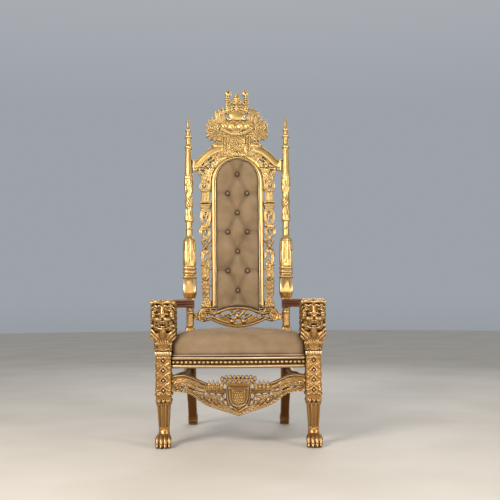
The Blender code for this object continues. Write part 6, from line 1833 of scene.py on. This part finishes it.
    @staticmethod
    def tracery(r: Relief) -> None:
        """The pierced middle: a leaf along the crescent, crossed stems, and two small discs."""
        r.band([(0.1, 0.186), (0.086, 0.172), (0.066, 0.16), (0.044, 0.152)],
               [0.006, 0.0125, 0.0135, 0.008], 0.01, 0.005, Section.LEAF)
        r.band([(0.068, 0.186), (0.056, 0.176), (0.04, 0.168)], [0.006, 0.0078, 0.006], 0.0085, 0.0035)
        r.band([(0.064, 0.183), (0.056, 0.19), (0.048, 0.189)], [0.0056, 0.0064, 0.004], 0.008, 0.003)
        r.band([(0.044, 0.213), (0.03, 0.2), (0.017, 0.186), (0.006, 0.176)],
               [0.0068, 0.0062, 0.007, 0.008], 0.0085, 0.0035)
        r.band([(0.0, 0.216), (0.012, 0.205), (0.026, 0.193), (0.041, 0.183)],
               [0.006, 0.006, 0.006, 0.0056], 0.008, 0.003)
        r.band([(0.0, 0.22), (0.0, 0.206)], [0.006, 0.0056], 0.008, 0.003)
        r.dome(0.0, 0.177, 0.0165, 0.011, 0.005)
        r.band([(0.01, 0.17), (0.02, 0.16), (0.028, 0.15)], [0.0086, 0.008, 0.008], 0.009, 0.004)
        r.dome(0.03, 0.148, 0.015, 0.01, 0.008)
        r.band([(0.0, 0.14), (0.012, 0.143), (0.02, 0.148)], [0.0066, 0.006, 0.005], 0.007, 0.003)
        r.pierce([(0.0, 0.154), (0.002, 0.154)], [0.0062])

    def frame(self) -> bpy.types.Mesh:
        """The moulded frame: a bead, a cove, a flat and an outer round, up the sides and over the arch."""
        steps = 96
        feet = np.linspace(self.shoulder + self.gap, self.centre, steps // 2, endpoint=False)
        angles = np.linspace(0, math.pi, steps)
        opening = self.frame_half - self.side_width
        inner, outer = [(opening, v) for v in feet], [(self.frame_half, v) for v in feet]
        rise = self.frame_half - self.top_width
        inner += [(opening * math.cos(a), self.centre + rise * math.sin(a)) for a in angles]
        outer += [(self.frame_half * math.cos(a),
                   self.centre + self.frame_half * math.sin(a)) for a in angles]
        inner += [(-opening, v) for v in feet[::-1]]
        outer += [(-self.frame_half, v) for v in feet[::-1]]
        section = [(0.0, -0.0118), (0.0, 0.011), (0.04, 0.014), (0.1, 0.0152), (0.17, 0.0142),
                   (0.22, 0.012), (0.26, 0.0118), (0.3, 0.0136), (0.36, 0.0156), (0.46, 0.0172),
                   (0.58, 0.0176), (0.7, 0.0168), (0.82, 0.0144), (0.92, 0.0108), (1.0, 0.006),
                   (1.0, -0.0118)]
        near, far = np.array(inner)[:, None], np.array(outer)[:, None]
        share, forward = np.array(section).T
        flat = near + (far - near) * share[None, :, None]
        rings = np.stack(BACK(flat[..., 0], flat[..., 1], np.broadcast_to(forward, flat.shape[:2])), -1)
        return lofted(rings)

    def build(self) -> None:
        """Carves the four pieces and the frame."""
        piece("crest_carved", self.crest(), Finish.GOLD, ["crest"])
        right = self.strip()
        left = mirrored(right)
        piece("right_fretwork_carved", right, Finish.GOLD, ["fretwork_right"])
        piece("left_fretwork_carved", left, Finish.GOLD, ["fretwork_left"])
        piece("lower_rail_carved", self.lower(), Finish.GOLD, ["lower_back_rail"])
        piece("back_frame_moulded", self.frame(), Finish.GOLD, ["back_frame"])


@dataclass
class Aprons:
    """The pierced aprons under the seat: a bowed one in front and a plainer one on each side."""

    leg_x: float = 0.349
    leg_y: float = -0.3
    half: float = 0.3137
    bow: float = 0.012
    side_top: float = 0.335
    side_share: float = 0.56

    def leaves(self, r: Relief, k: float) -> None:
        """Half an apron's scrolls and leaves, with places across scaled by k."""

        def band(path: Sequence[Point], widths: Sequence[float], rise: float, base: float,
                 section: Section = Section.ROUND, lobes: float = 0, lobe: float = 0.25) -> None:
            """A band whose places across are scaled."""
            r.band([(u * k, v) for u, v in path], widths, rise, base, section, lobes, lobe)

        band([(0.313, 0.304), (0.285, 0.309), (0.251, 0.309), (0.216, 0.298), (0.18, 0.284),
              (0.152, 0.278)], [0.024, 0.024, 0.0235, 0.022, 0.019, 0.013], 0.006, 0.003, Section.HOLLOW)
        band([(0.313, 0.324), (0.285, 0.329), (0.251, 0.33), (0.216, 0.319), (0.182, 0.303),
              (0.152, 0.291)], [0.0046, 0.005, 0.0046], 0.008, 0.008)
        band([(0.3, 0.291), (0.262, 0.304), (0.228, 0.303), (0.192, 0.289), (0.16, 0.277)],
             [0.007, 0.0115, 0.012, 0.006], 0.008, 0.008, Section.LEAF, 4, 0.4)
        band([(0.276, 0.288), (0.246, 0.289), (0.216, 0.277), (0.186, 0.263), (0.158, 0.26)],
             [0.008, 0.012, 0.012, 0.01, 0.008], 0.009, 0.007, Section.LEAF, 6, 0.45)
        r.scroll((0.285 * k, 0.273), 0.0215, 80, -1.3, 0.0072, 0.011, 0.006)
        band([(0.313, 0.3), (0.309, 0.276), (0.3, 0.256)], [0.012, 0.011, 0.006], 0.008, 0.002)
        for tip, root in (((0.076, 0.3), (0.082, 0.264)), ((0.098, 0.306), (0.1, 0.266)),
                          ((0.119, 0.307), (0.118, 0.266)), ((0.139, 0.303), (0.136, 0.266))):
            band([root, tip], [0.0115, 0.011, 0.002], 0.009, 0.004, Section.LEAF, 3, 0.2)
        ground = [(0.05, 0.262), (0.18, 0.266), (0.25, 0.284), (0.256, 0.262), (0.206, 0.24), (0.15, 0.204),
                  (0.06, 0.172), (0.04, 0.19)]
        r.plate([(u * k, v) for u, v in ground], 0.002)
        band([(0.16, 0.258), (0.056, 0.258)], [0.0095], 0.003, 0.005, Section.FLAT)
        for level in (0.263, 0.253):
            band([(0.16, level), (0.056, level)], [0.0028], 0.0055, 0.008)
        band([(0.272, 0.266), (0.238, 0.263), (0.206, 0.25), (0.172, 0.23), (0.14, 0.214), (0.108, 0.206),
              (0.076, 0.198)], [0.005, 0.01, 0.015, 0.019, 0.0215, 0.0215, 0.015], 0.004, 0.002,
             Section.FLAT)
        rim = [(0.268, 0.258), (0.238, 0.253), (0.206, 0.237), (0.172, 0.212), (0.136, 0.193),
               (0.096, 0.179), (0.052, 0.165), (0.0, 0.149)]
        band(rim, [0.0062, 0.0084, 0.009, 0.009], 0.0095, 0.006, Section.LEAF, 15, 0.5)
        for path in (
            [(0.215, 0.258), (0.196, 0.253), (0.178, 0.24), (0.164, 0.22)],
            [(0.186, 0.25), (0.164, 0.243), (0.144, 0.228), (0.13, 0.204)],
            [(0.154, 0.24), (0.132, 0.234), (0.112, 0.219), (0.098, 0.194)],
            [(0.122, 0.236), (0.102, 0.228), (0.086, 0.212), (0.074, 0.188)],
        ):
            band(path, [0.008, 0.0135, 0.013, 0.003], 0.011, 0.005, Section.LEAF, 3, 0.35)
        band([(0.064, 0.244), (0.071, 0.226), (0.068, 0.206)], [0.006, 0.0066, 0.005], 0.009, 0.004)
        band([(0.09, 0.188), (0.062, 0.18), (0.036, 0.168), (0.0, 0.156)], [0.008, 0.009, 0.0085, 0.006],
             0.009, 0.004, Section.LEAF, 6, 0.22)
        for start, end, width in (
            ((0.152, 0.245), (0.154, 0.241), 0.0052), ((0.116, 0.242), (0.13, 0.2445), 0.004),
            ((0.088, 0.239), (0.098, 0.242), 0.0042), ((0.079, 0.225), (0.08, 0.215), 0.0042),
            ((0.062, 0.24), (0.063, 0.224), 0.0034), ((0.062, 0.208), (0.06, 0.196), 0.0038),
            ((0.174, 0.258), (0.188, 0.262), 0.003), ((0.208, 0.264), (0.228, 0.272), 0.0036),
            ((0.246, 0.272), (0.26, 0.276), 0.004), ((0.064, 0.274), (0.065, 0.288), 0.0034),
        ):
            r.pierce([(start[0] * k, start[1]), (end[0] * k, end[1])], [width])

    def shield(self, r: Relief) -> None:
        """The pointed shield with a double border, its dotted inner panel and the swag under it."""
        outline = [(-0.01, 0.288), (0.059, 0.288), (0.0575, 0.25), (0.056, 0.225), (0.048, 0.198),
                   (0.026, 0.174), (0.0, 0.158), (-0.01, 0.16)]
        r.plate(outline, 0.009, 0.0065, 0.0036)
        inner = [(-0.01, 0.278), (0.048, 0.278), (0.0465, 0.248), (0.045, 0.226), (0.037, 0.203),
                 (0.02, 0.186), (0.0, 0.174), (-0.01, 0.18)]
        r.plate(inner, 0.011, 0.004, 0.0024)
        r.plate([(-0.01, 0.26), (0.029, 0.26), (0.029, 0.212), (0.019, 0.202), (-0.01, 0.198)], 0.0135,
                0.0045, 0.0024)
        for row in range(4):
            for spot in range(3):
                across, up = 0.0098 * spot + 0.0049 * (row % 2), 0.251 - 0.0122 * row
                if across < 0.0215:
                    r.dome(across, up, 0.0036, 0.0045, 0.013)
        r.band([(0.03, 0.196), (0.016, 0.189), (0.0, 0.187)], [0.0036, 0.0048], 0.006, 0.011, Section.TWIST,
               pitch=0.006)
        r.band([(0.0, 0.27), (0.044, 0.27)], [0.0028], 0.005, 0.011)

    def front(self) -> bpy.types.Mesh:
        """The front apron, with the crown over its shield."""
        r = Relief((0.0, 0.14), (self.half, 0.346), 1.2 * MILLIMETRE, symmetric=True)
        self.leaves(r, 1.0)
        self.shield(r)
        r.plate([(-0.01, 0.286), (0.062, 0.286), (0.086, 0.308), (0.078, 0.314), (-0.01, 0.317)], 0.007)
        for lobe in range(5):
            across = 0.019 * lobe
            r.oval(across, 0.32 - 0.005 * (lobe == 4), 0.0086, 0.01, 0.008, 0.006)
        r.band([(0.0, 0.29), (0.066, 0.29)], [0.0044], 0.006, 0.009)
        r.band([(0.0, 0.312), (0.08, 0.3105)], [0.003], 0.0045, 0.01)
        for across in (0.0, 0.0255, 0.048):
            r.plate([(across - 0.0085, 0.2955), (across + 0.0085, 0.2955), (across, 0.309)], 0.012, 0.002,
                    0.0016)
        for across in (0.013, 0.037, 0.062):
            r.pierce([(across, 0.3025), (across + 0.002, 0.3035)], [0.0042])
        r.band([(0.0, 0.162), (0.0, 0.148)], [0.009, 0.005], 0.009, 0.005)

        def place(across: np.ndarray, up: np.ndarray, forward: np.ndarray) -> Grids:
            """World coordinates of the apron, which bows out a little between the legs."""
            bow = self.bow * (1 - (across / self.leg_x) ** 2)
            return across, self.leg_y + 0.004 - bow - forward, up

        return r.mesh(0.0098, place, 88_000)

    def side(self) -> bpy.types.Mesh:
        """The right side apron: the same carving made shallower, running in to the rear leg."""
        start, end = (self.leg_x - 0.008, self.leg_y + 0.0353), (0.252, 0.1755)
        half = math.dist(start, end) / 2
        r = Relief((0.0, 0.145), (half, 0.346), 1.6 * MILLIMETRE, symmetric=True)
        self.leaves(r, half / 0.3137)
        self.shield(r)
        r.band([(0.07, 0.292), (0.0, 0.299)], [0.008, 0.012], 0.009, 0.003)

        def place(across: np.ndarray, up: np.ndarray, forward: np.ndarray) -> Grids:
            """World coordinates of the apron's own."""
            share = (across / half + 1) / 2
            level = self.side_top + (up - self.side_top) * self.side_share
            out, back = (a + (b - a) * share for a, b in zip(start, end))
            return out + forward, back, level

        return r.mesh(0.0088, place, 36_000)

    def build(self) -> None:
        """Carves the three aprons."""
        piece("front_apron_carved", self.front(), Finish.GOLD, ["front_apron"])
        right = self.side()
        left = mirrored(right)
        piece("right_apron_carved", right, Finish.GOLD, ["side_apron_right"])
        piece("left_apron_carved", left, Finish.GOLD, ["side_apron_left"])


@dataclass
class Rails:
    """The seat rails and the arms: mouldings swept along their paths."""

    leg_x: float = 0.349
    leg_y: float = -0.3
    top: float = 0.418
    tall: float = 0.053
    thick: float = 0.034
    half: float = 0.3137
    bow: float = 0.018
    beads: int = 31
    bead_radius: float = 0.0072
    arm_top: float = 0.687
    arm_tall: float = 0.042
    arm_half: float = 0.025
    arm_bow: float = 0.01

    def front(self) -> None:
        """The bowed front rail: a fillet, a row of beads in a cove, and a round below."""
        low, top = self.top - self.tall, self.top
        section = [(self.thick, top), (0.0035, top), (0.001, top - 0.001), (0.0, top - 0.0035),
                   (0.0005, top - 0.01), (0.0035, top - 0.013), (0.008, top - 0.015), (0.0095, top - 0.02),
                   (0.0095, top - 0.031), (0.0075, top - 0.035), (0.003, top - 0.0365),
                   (-0.0005, top - 0.039), (-0.0018, top - 0.043), (-0.001, top - 0.0475),
                   (0.002, top - 0.051), (0.006, low), (self.thick, low)]
        front = self.leg_y - 0.017
        shares = np.linspace(-1, 1, 61)
        rings = []
        for share in shares:
            bow = self.bow * (1 - share**2)
            rings.append([(self.half * share, front - bow + back * (1 + bow / self.thick), z) for back,
                          z in section])
        rail = lofted(np.array(rings))
        path = [(self.half * s, front - self.bow * (1 - s**2) + 0.0052,
                 top - 0.0255) for s in shares * (1 - 1 / self.beads)]
        row = Growth.grown(Growth.beads(), path, False,
                           {"Count": self.beads, "Radius": self.bead_radius, "Squash": 1.12}, Finish.GOLD)
        piece("front_rail_moulded", rail, Finish.GOLD, ["front_rail"])
        piece("front_rail_beads", row, Finish.GOLD)

    def side(self) -> bpy.types.Mesh:
        """The right side rail, with a round below and a fillet above."""
        low, top, half = self.top - self.tall, self.top, self.thick / 2
        section = [(-half, low), (half - 0.007, low), (half - 0.0025, low + 0.002), (half, low + 0.006),
                   (half - 0.0002, low + 0.011), (half - 0.0025, low + 0.016), (half - 0.0065, low + 0.019),
                   (half - 0.0085, low + 0.0235), (half - 0.0085, top - 0.02), (half - 0.006, top - 0.015),
                   (half - 0.0015, top - 0.0125), (half, top - 0.0095), (half - 0.0004, top - 0.003),
                   (half - 0.004, top), (-half, top)]
        start, end = (self.leg_x - 0.006, self.leg_y + 0.0353), (0.252, 0.1737)
        rings = [[(start[0] + (end[0] - start[0]) * s + u, start[1] + (end[1] - start[1]) * s, z) for u,
                  z in section] for s in np.linspace(0, 1, 12)]
        return lofted(np.array(rings))

    def back(self) -> bpy.types.Mesh:
        """The plain rear rail, with its long edges eased."""
        low, top, half, ease = self.top - self.tall, self.top, self.thick / 2, 0.003
        section = [(-half, low + ease), (-half + ease, low), (half - ease, low), (half, low + ease),
                   (half, top - ease), (half - ease, top), (-half + ease, top), (-half, top - ease)]
        return lofted(np.array([[(x, 0.2 + y, z) for y,
                                 z in section] for x in np.linspace(-0.2257, 0.2257, 24)]))

    def arm(self) -> bpy.types.Mesh:
        """The right arm: a broad top over two grooves, from the lion's head back to the post."""
        half, tall = self.arm_half, self.arm_tall
        section = [(half - 0.0075, 0.0), (half - 0.0035, 0.001), (half - 0.0008, 0.004), (half, 0.0085),
                   (half - 0.0015, 0.012), (half - 0.0048, 0.0142), (half - 0.005, 0.016),
                   (half - 0.0015, 0.018), (half - 0.0002, 0.0205), (half - 0.001, 0.0235),
                   (half - 0.0042, 0.0255), (half - 0.0045, 0.0275), (half - 0.0012, 0.0295),
                   (half - 0.0004, 0.033), (half - 0.003, 0.0372), (half - 0.0085, 0.0402),
                   (half - 0.016, tall)]
        section += [(-across, up) for across, up in section[::-1]]
        start_y = self.leg_y + 0.0545
        rings = []
        for share in np.linspace(0, 1, 40):
            x = self.leg_x + (0.257 - self.leg_x) * share + self.arm_bow * math.sin(math.pi * share)
            ring = []
            for across, up in section:
                z = self.arm_top - tall + up
                slope = (z - BACK.foot_z - 0.024 * math.sin(BACK.lean)) / math.cos(BACK.lean)
                end_y = BACK(0.0, slope, 0.024)[1]
                ring.append((x + across, start_y + (end_y - start_y) * share, z))
            rings.append(ring)
        return lofted(np.array(rings))

    def build(self) -> None:
        """Makes the front, side and back rails and the two arms."""
        self.front()
        side, arm = self.side(), self.arm()
        piece("left_rail_moulded", mirrored(side), Finish.GOLD, ["side_rail_left"])
        piece("right_rail_moulded", side, Finish.GOLD, ["side_rail_right"])
        piece("back_rail_eased", self.back(), Finish.GOLD, ["back_rail"])
        piece("left_arm_moulded", mirrored(arm), Finish.ARM_GOLD, ["arm_left"])
        piece("right_arm_moulded", arm, Finish.ARM_GOLD, ["arm_right"])


@dataclass
class Upholstery:
    """The domed seat cushion, the tufted back pad with its buttons, and the board behind it."""

    back: BackCarving
    rail_top: float = 0.418
    crown: float = 0.542
    edge: float = 0.055
    fullness: float = 3.2
    button_top: float = 0.949
    button_pitch: float = 0.106
    button_spread: float = 0.0525
    button_radius: float = 0.0082
    tuft_depth: float = 0.017
    tuft_reach: float = 0.028
    dimple_reach: float = 0.012
    fold_depth: float = 0.012
    fold_reach: float = 0.016
    puff: float = 0.006
    puff_reach: float = 0.026
    pad_front: float = 0.026
    pad_crown: float = 0.012
    outline: tuple[Point, ...] = (
        (0.0, -0.331), (0.157, -0.328), (0.29, -0.32), (0.3105, -0.308), (0.3105, -0.265), (0.328, -0.26),
        (0.336, -0.25), (0.315, -0.133), (0.288, 0.04), (0.266, 0.169), (0.226, 0.169), (0.2225, 0.178),
        (0.2225, 0.206), (0.11, 0.208), (0.0, 0.208),
    )

    def inflated(self, mesh: bpy.types.Mesh, voxel: float, pressure: float, cap: float,
                 held: Callable[[np.ndarray], np.ndarray]) -> bpy.types.Mesh:
        """Blows a closed form up with a short cloth simulation.

        Args:
            mesh: The form, a little smaller than the finished piece.
            voxel: The size of the cloth's faces.
            pressure: The pressure inside it.
            cap: How far a point may move.
            held: Weights from zero to one for how firmly each point is held.
        """
        even = modified(mesh, [("REMESH", {"mode": "VOXEL", "voxel_size": voxel * 1})])
        soft = bpy.data.objects.new("soft", even)
        bpy.context.scene.collection.objects.link(soft)
        before = np.empty(len(even.vertices) * 3)
        even.vertices.foreach_get("co", before)
        before = before.reshape(-1, 3)
        group = soft.vertex_groups.new(name="held")
        weights = np.clip(held(before), 0, 1)
        for level in np.unique(np.round(weights, 1)):
            chosen = np.nonzero(np.round(weights, 1) == level)[0].tolist()
            group.add(chosen, float(level), "REPLACE")
        cloth = soft.modifiers.new("cloth", "CLOTH")
        cloth.settings.use_pressure = True
        cloth.settings.uniform_pressure_force = pressure
        cloth.settings.effector_weights.gravity = 0.0
        cloth.settings.vertex_group_mass = "held"
        cloth.settings.quality = 4
        cloth.settings.mass = 0.3
        cloth.collision_settings.use_self_collision = False
        cloth.point_cache.frame_start, cloth.point_cache.frame_end = 1, 20
        scene = bpy.context.scene
        for frame in range(1, 21):
            scene.frame_set(frame)
        graph = bpy.context.evaluated_depsgraph_get()
        blown = bpy.data.meshes.new_from_object(soft.evaluated_get(graph))
        bpy.data.objects.remove(soft, do_unlink=True)
        scene.frame_set(1)
        after = np.empty(len(blown.vertices) * 3)
        blown.vertices.foreach_get("co", after)
        move = after.reshape(-1, 3) - before
        reach = np.linalg.norm(move, axis=1, keepdims=True)
        move *= np.minimum(1, cap / np.maximum(reach, 1e-9)) * (1 - weights[:, None])
        blown.vertices.foreach_set("co", (before + move).ravel())
        blown.update()
        blown.shade_smooth()
        return blown

    @staticmethod
    def moved(mesh: bpy.types.Mesh, change: Callable[[np.ndarray], np.ndarray]) -> bpy.types.Mesh:
        """The mesh with every point moved by a function of all the points."""
        points = np.empty(len(mesh.vertices) * 3)
        mesh.vertices.foreach_get("co", points)
        mesh.vertices.foreach_set("co", change(points.reshape(-1, 3)).ravel())
        mesh.update()
        return mesh

    def ring(self, share: float, z: float, inset: float = 0.0) -> list[Triple]:
        """The cushion's outline at a height, drawn in towards its middle."""
        half = smooth_path(self.outline, 5)
        whole = np.concatenate([half, half[-2:0:-1] * (-1, 1)])
        middle = np.array((0.0, -0.055))
        away = whole - middle
        away *= 1 - inset / np.linalg.norm(away, axis=1, keepdims=True)
        return [(*(middle + point * share), z) for point in away]

    def cushion(self) -> None:
        """The seat cushion: plump sides, a crowned top with faint sewn diamonds, and a welt below."""
        low, edge = self.rail_top + 0.0008, self.rail_top + self.edge
        rise = self.crown - edge - 0.003
        rings = [self.ring(1.0, low, 0.012), self.ring(1.0, low + 0.006, 0.004),
                 self.ring(1.0, (low + edge) / 2, 0.003), self.ring(1.0, edge - 0.006, 0.003)]
        for angle in np.linspace(0.04, math.pi / 2, 18):
            share, level = math.cos(angle) ** (2 / self.fullness), math.sin(angle) ** (2 / self.fullness)
            rings.append(self.ring(max(0.06, share), edge + rise * level, 0.003))
        form = lofted(np.array(rings))
        blown = self.inflated(form, 5 * MILLIMETRE, 4.0, 0.003, lambda p: (p[:, 2] < low + 0.004) * 1.0)
        mesh = modified(blown, [("SUBSURF", {"levels": 1, "render_levels": 1})])

        def sewn(points: np.ndarray) -> np.ndarray:
            """Draws the sewn diamonds in a little, and keeps the top and sides in their space."""
            x, y, z = points.T
            ramp = np.clip((z - edge - 0.012) / 0.03, 0, 1)
            a, b = (x + y + 0.08) / 0.15, (x - y - 0.08) / 0.15
            near = np.minimum(np.abs(a - np.round(a)), np.abs(b - np.round(b))) * 0.106
            z = z - 0.0022 * ramp * np.exp(-((near / 0.006) ** 2))
            return np.stack([x, y, np.minimum(z, self.crown - 0.0005)], 1)

        cushion = piece("seat_cushion_velvet", thinned(self.moved(mesh, sewn), 60_000), Finish.VELVET,
                        ["seat_cushion"])
        path = self.ring(1.0, low + 0.006, 0.001)
        welt = Growth.grown(Growth.piping(), path, True, {"Radius": 0.0042, "Sides": 10}, Finish.PIPING)
        piece("seat_welt", welt, Finish.PIPING)

    def buttons(self) -> list[Point]:
        """Where the buttons sit: a middle column of four, with three pairs between."""
        places = []
        for row in range(7):
            up = self.button_top - row * self.button_pitch
            places += [(0.0, up)] if row % 2 == 0 else [(-self.button_spread, up), (self.button_spread, up)]
        return places

    def to_fold(self, r: Relief, u: np.ndarray, v: np.ndarray, half: float) -> np.ndarray:
        """How far each place on the pad is from the nearest fold between two buttons, or to its side."""
        fold = np.full(np.broadcast_shapes(u.shape, v.shape), 9.0)
        for row in range(-1, 8):
            up, below = (self.button_top - count * self.button_pitch for count in (row, row + 1))
            for side in (-self.button_spread, self.button_spread):
                start, end = ((side, up), (0.0, below)) if row % 2 else ((0.0, up), (side, below))
                fold = np.minimum(fold, r.to_path(u, v, np.array([start, end]))[0])
                if row % 2:
                    rim = (math.copysign(half + 0.01, side), up)
                    fold = np.minimum(fold, r.to_path(u, v, np.array([start, rim]))[0] + 0.003)
        return fold

    def pad(self) -> None:
        """The tufted back pad: deep at each button, with a fold sewn along each diamond's side."""
        half = self.back.frame_half - self.back.side_width - 0.0012
        rise = self.back.frame_half - self.back.top_width - 0.0012
        r = Relief((0.0, 0.198), (half + 0.004, self.back.centre + rise + 0.004), 2.0 * MILLIMETRE,
                   symmetric=True)
        u, v = r.across[:, None], r.up[None, :]
        away = np.hypot(u / half, np.maximum(v - self.back.centre, 0) / rise)
        inside = np.minimum((1 - away) * half, v - self.back.brow(u) - 0.0012)
        height = self.pad_front - 0.006 + self.pad_crown * np.clip(1 - (u / half) ** 2, 0, 1)
        height = height + 0.0045 * np.clip(1 - away**8, 0, 1)
        fold = self.to_fold(r, u, v, half)
        height = height - self.fold_depth * np.exp(-fold / self.fold_reach)
        height = height + self.puff * (1 - np.exp(-((fold / self.puff_reach) ** 2)))
        places = self.buttons()
        for across, up in places:
            gap = np.hypot(u - across, v - up)
            pulled = 0.3 * np.exp(-((gap / self.dimple_reach) ** 2)) + 0.75 * np.exp(-gap / self.tuft_reach)
            height = height - self.tuft_depth * pulled
        r.inside, r.height = inside, height
        form = r.mesh(0.0105, BACK, 60_000, lip=0.012)
        spots = np.array([BACK(across, up, 0.018) for across, up in places])

        def held(points: np.ndarray) -> np.ndarray:
            """Holds the pad's back, its edge and the ground round each button."""
            back, rise = points[:, 1] - BACK.foot_y, points[:, 2] - BACK.foot_z
            forward = rise * math.sin(BACK.lean) - back * math.cos(BACK.lean)
            near = np.min(np.linalg.norm(points[:, None] - spots[None], axis=2), axis=1)
            return np.maximum((forward < 0.012) * 1.0, np.clip(1.6 - near / 0.01, 0, 1))

        blown = self.inflated(form, 3.2 * MILLIMETRE, 5.0, 0.003, held)
        mesh = modified(blown, [("SUBSURF", {"levels": 1, "render_levels": 1})])
        pad = piece("back_pad_velvet", thinned(mesh, 64_000), Finish.VELVET, ["back_pad"])
        seat = self.pad_front + self.pad_crown - self.tuft_depth + 0.0005
        points = [BACK(across, up, seat) for across, up in places]
        buttons = Growth.grown(
            Growth.buttons(), points, False,
            {"Radius": self.button_radius, "Dome": 0.52, "Lean": math.pi / 2 - BACK.lean}, Finish.VELVET,
            path=False,
        )
        piece("back_buttons", buttons, Finish.VELVET, [f"button_{count:02d}" for count in range(1, 11)])

    def cover(self) -> None:
        """The padded board behind the frame, with a welt round its edge."""
        half = self.back.frame_half - self.back.side_width + 0.0095
        rise = self.back.frame_half - self.back.top_width + 0.0055
        r = Relief((0.0, self.back.shoulder + 0.0025), (half, self.back.centre + rise), 2.6 * MILLIMETRE,
                   symmetric=True)
        u, v = r.across[:, None], r.up[None, :]
        away = np.hypot(u / half, np.maximum(v - self.back.centre, 0) / rise)
        r.inside = np.minimum((1 - away) * half, v - self.back.shoulder - 0.0025)
        r.height = 0.005 + 0.0028 * np.clip(r.inside / 0.03, 0, 1) ** 0.6 + 0 * r.inside
        behind = -0.0124

        def place(across: np.ndarray, up: np.ndarray, out: np.ndarray) -> Grids:
            """World coordinates of the board, whose face looks backwards."""
            return BACK(across, up, behind - out)

        cover = piece("back_cover_velvet", r.mesh(0.0, place, 16_000), Finish.VELVET, ["back_cover"])
        path = [(half - 0.003, v) for v in np.linspace(self.back.shoulder + 0.006, self.back.centre, 12,
                                                       endpoint=False)]
        path += [((half - 0.003) * math.cos(a),
                  self.back.centre + (rise - 0.003) * math.sin(a)) for a in np.linspace(0, math.pi, 40)]
        path += [(-(half - 0.003), v) for v in np.linspace(self.back.centre, self.back.shoulder + 0.006,
                                                           12)]
        points = [BACK(across, up, behind - 0.0046) for across, up in path]
        welt = Growth.grown(Growth.piping(), points, True, {"Radius": 0.003, "Sides": 8}, Finish.PIPING)
        piece("back_welt", welt, Finish.PIPING)

    def build(self) -> None:
        """Upholsters the seat and the back."""
        self.cushion()
        self.pad()
        self.cover()


@dataclass
class Studio:
    """A plain pale floor, soft lights, and a camera where the photograph was taken from."""

    camera_place: Triple = (0.0, -3.94, 0.677)
    lens: float = 56.0
    shift: Point = (0.024, 0.102)
    roll: float = math.radians(0.384)
    overhead: str = "F1F2F4"
    horizon: str = "B4BAC2"
    underfoot: str = "5E554C"
    world_strength: float = 0.74
    room_strength: float = 0.36

    def floor(self) -> None:
        """A wide round floor with its top at zero."""
        shape = bmesh.new()
        bmesh.ops.create_circle(shape, cap_ends=True, segments=96, radius=14.0)
        mesh = bpy.data.meshes.new("floor")
        shape.to_mesh(mesh)
        shape.free()
        mesh.materials.append(Finish.FLOOR.material())
        floor = bpy.data.objects.new("floor", mesh)
        bpy.context.scene.collection.objects.link(floor)

    def light(self, name: str, place: Triple, target: Triple, size: float, watts: float, tint: str) -> None:
        """Hangs a square soft light and points it at a target."""
        lamp = bpy.data.lights.new(name, "AREA")
        lamp.size, lamp.energy, lamp.color = size, watts, linear_colour(tint)[:3]
        held = bpy.data.objects.new(name, lamp)
        held.location = place
        held.rotation_euler = (Vector(target) - Vector(place)).to_track_quat("-Z", "Y").to_euler()
        bpy.context.scene.collection.objects.link(held)

    def sky(self) -> None:
        """A plain world that is palest overhead and dimmer in front, so that the gold has form."""
        world = bpy.data.worlds.new("studio")
        world.use_nodes = True
        tree = world.node_tree
        direction = add_node(tree, "ShaderNodeTexCoord").outputs["Generated"]
        direction = add_node(tree, "ShaderNodeSeparateXYZ", None, {"Vector": direction}).outputs
        share = mapped(tree, direction["Z"], (-1.0, 1.0), (0.0, 1.0))
        ramp = add_node(tree, "ShaderNodeValToRGB", None, {"Fac": share})
        ramp_stops(ramp, ((0.3, self.underfoot), (0.5, self.horizon), (0.62, self.horizon),
                          (0.95, self.overhead)))
        strength = mapped(tree, direction["Y"], (-1.0, 0.6), (self.room_strength, self.world_strength))
        backdrop = tree.nodes["Background"]
        tree.links.new(ramp.outputs["Color"], backdrop.inputs["Color"])
        tree.links.new(strength, backdrop.inputs["Strength"])
        bpy.context.scene.world = world

    def build(self) -> None:
        """Sets the floor, the lights, the world and the camera."""
        self.floor()
        self.light("key", (-1.9, -2.8, 2.5), (0.0, 0.0, 1.0), 1.2, 112, "FFF6EA")
        self.light("fill", (2.9, -2.4, 1.7), (0.0, 0.0, 0.8), 1.3, 60, "FFF8F0")
        self.light("front", (0.5, -4.4, 1.2), (0.0, 0.0, 0.6), 0.9, 45, "FFF8F0")
        self.light("rim", (0.5, 3.2, 2.8), (0.0, 0.0, 1.0), 2.2, 40, "F4F7FF")
        self.sky()
        bpy.context.scene.view_settings.view_transform = "Standard"
        lens = bpy.data.cameras.new("photograph")
        lens.lens, lens.sensor_width = self.lens, 36.0
        lens.shift_x, lens.shift_y = self.shift
        camera = bpy.data.objects.new("photograph", lens)
        camera.location = self.camera_place
        camera.rotation_euler = (math.pi / 2, self.roll, 0.0)
        bpy.context.scene.collection.objects.link(camera)
        bpy.context.scene.camera = camera


def corners(bounds: Sequence[Vector]) -> list[list[float]]:
    """The lowest and highest corner of the object as plain lists."""
    return [list(corner) for corner in bounds]


def main() -> None:
    """Dresses the throne and sets the studio."""
    logging.basicConfig(level=logging.INFO, format="%(name)s: %(message)s")
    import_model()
    FrontLegs().build()
    RearStiles().build()
    carving = BackCarving()
    carving.build()
    Aprons().build()
    Rails().build()
    Upholstery(carving).build()
    Studio().build()


if __name__ == "__main__":
    main()
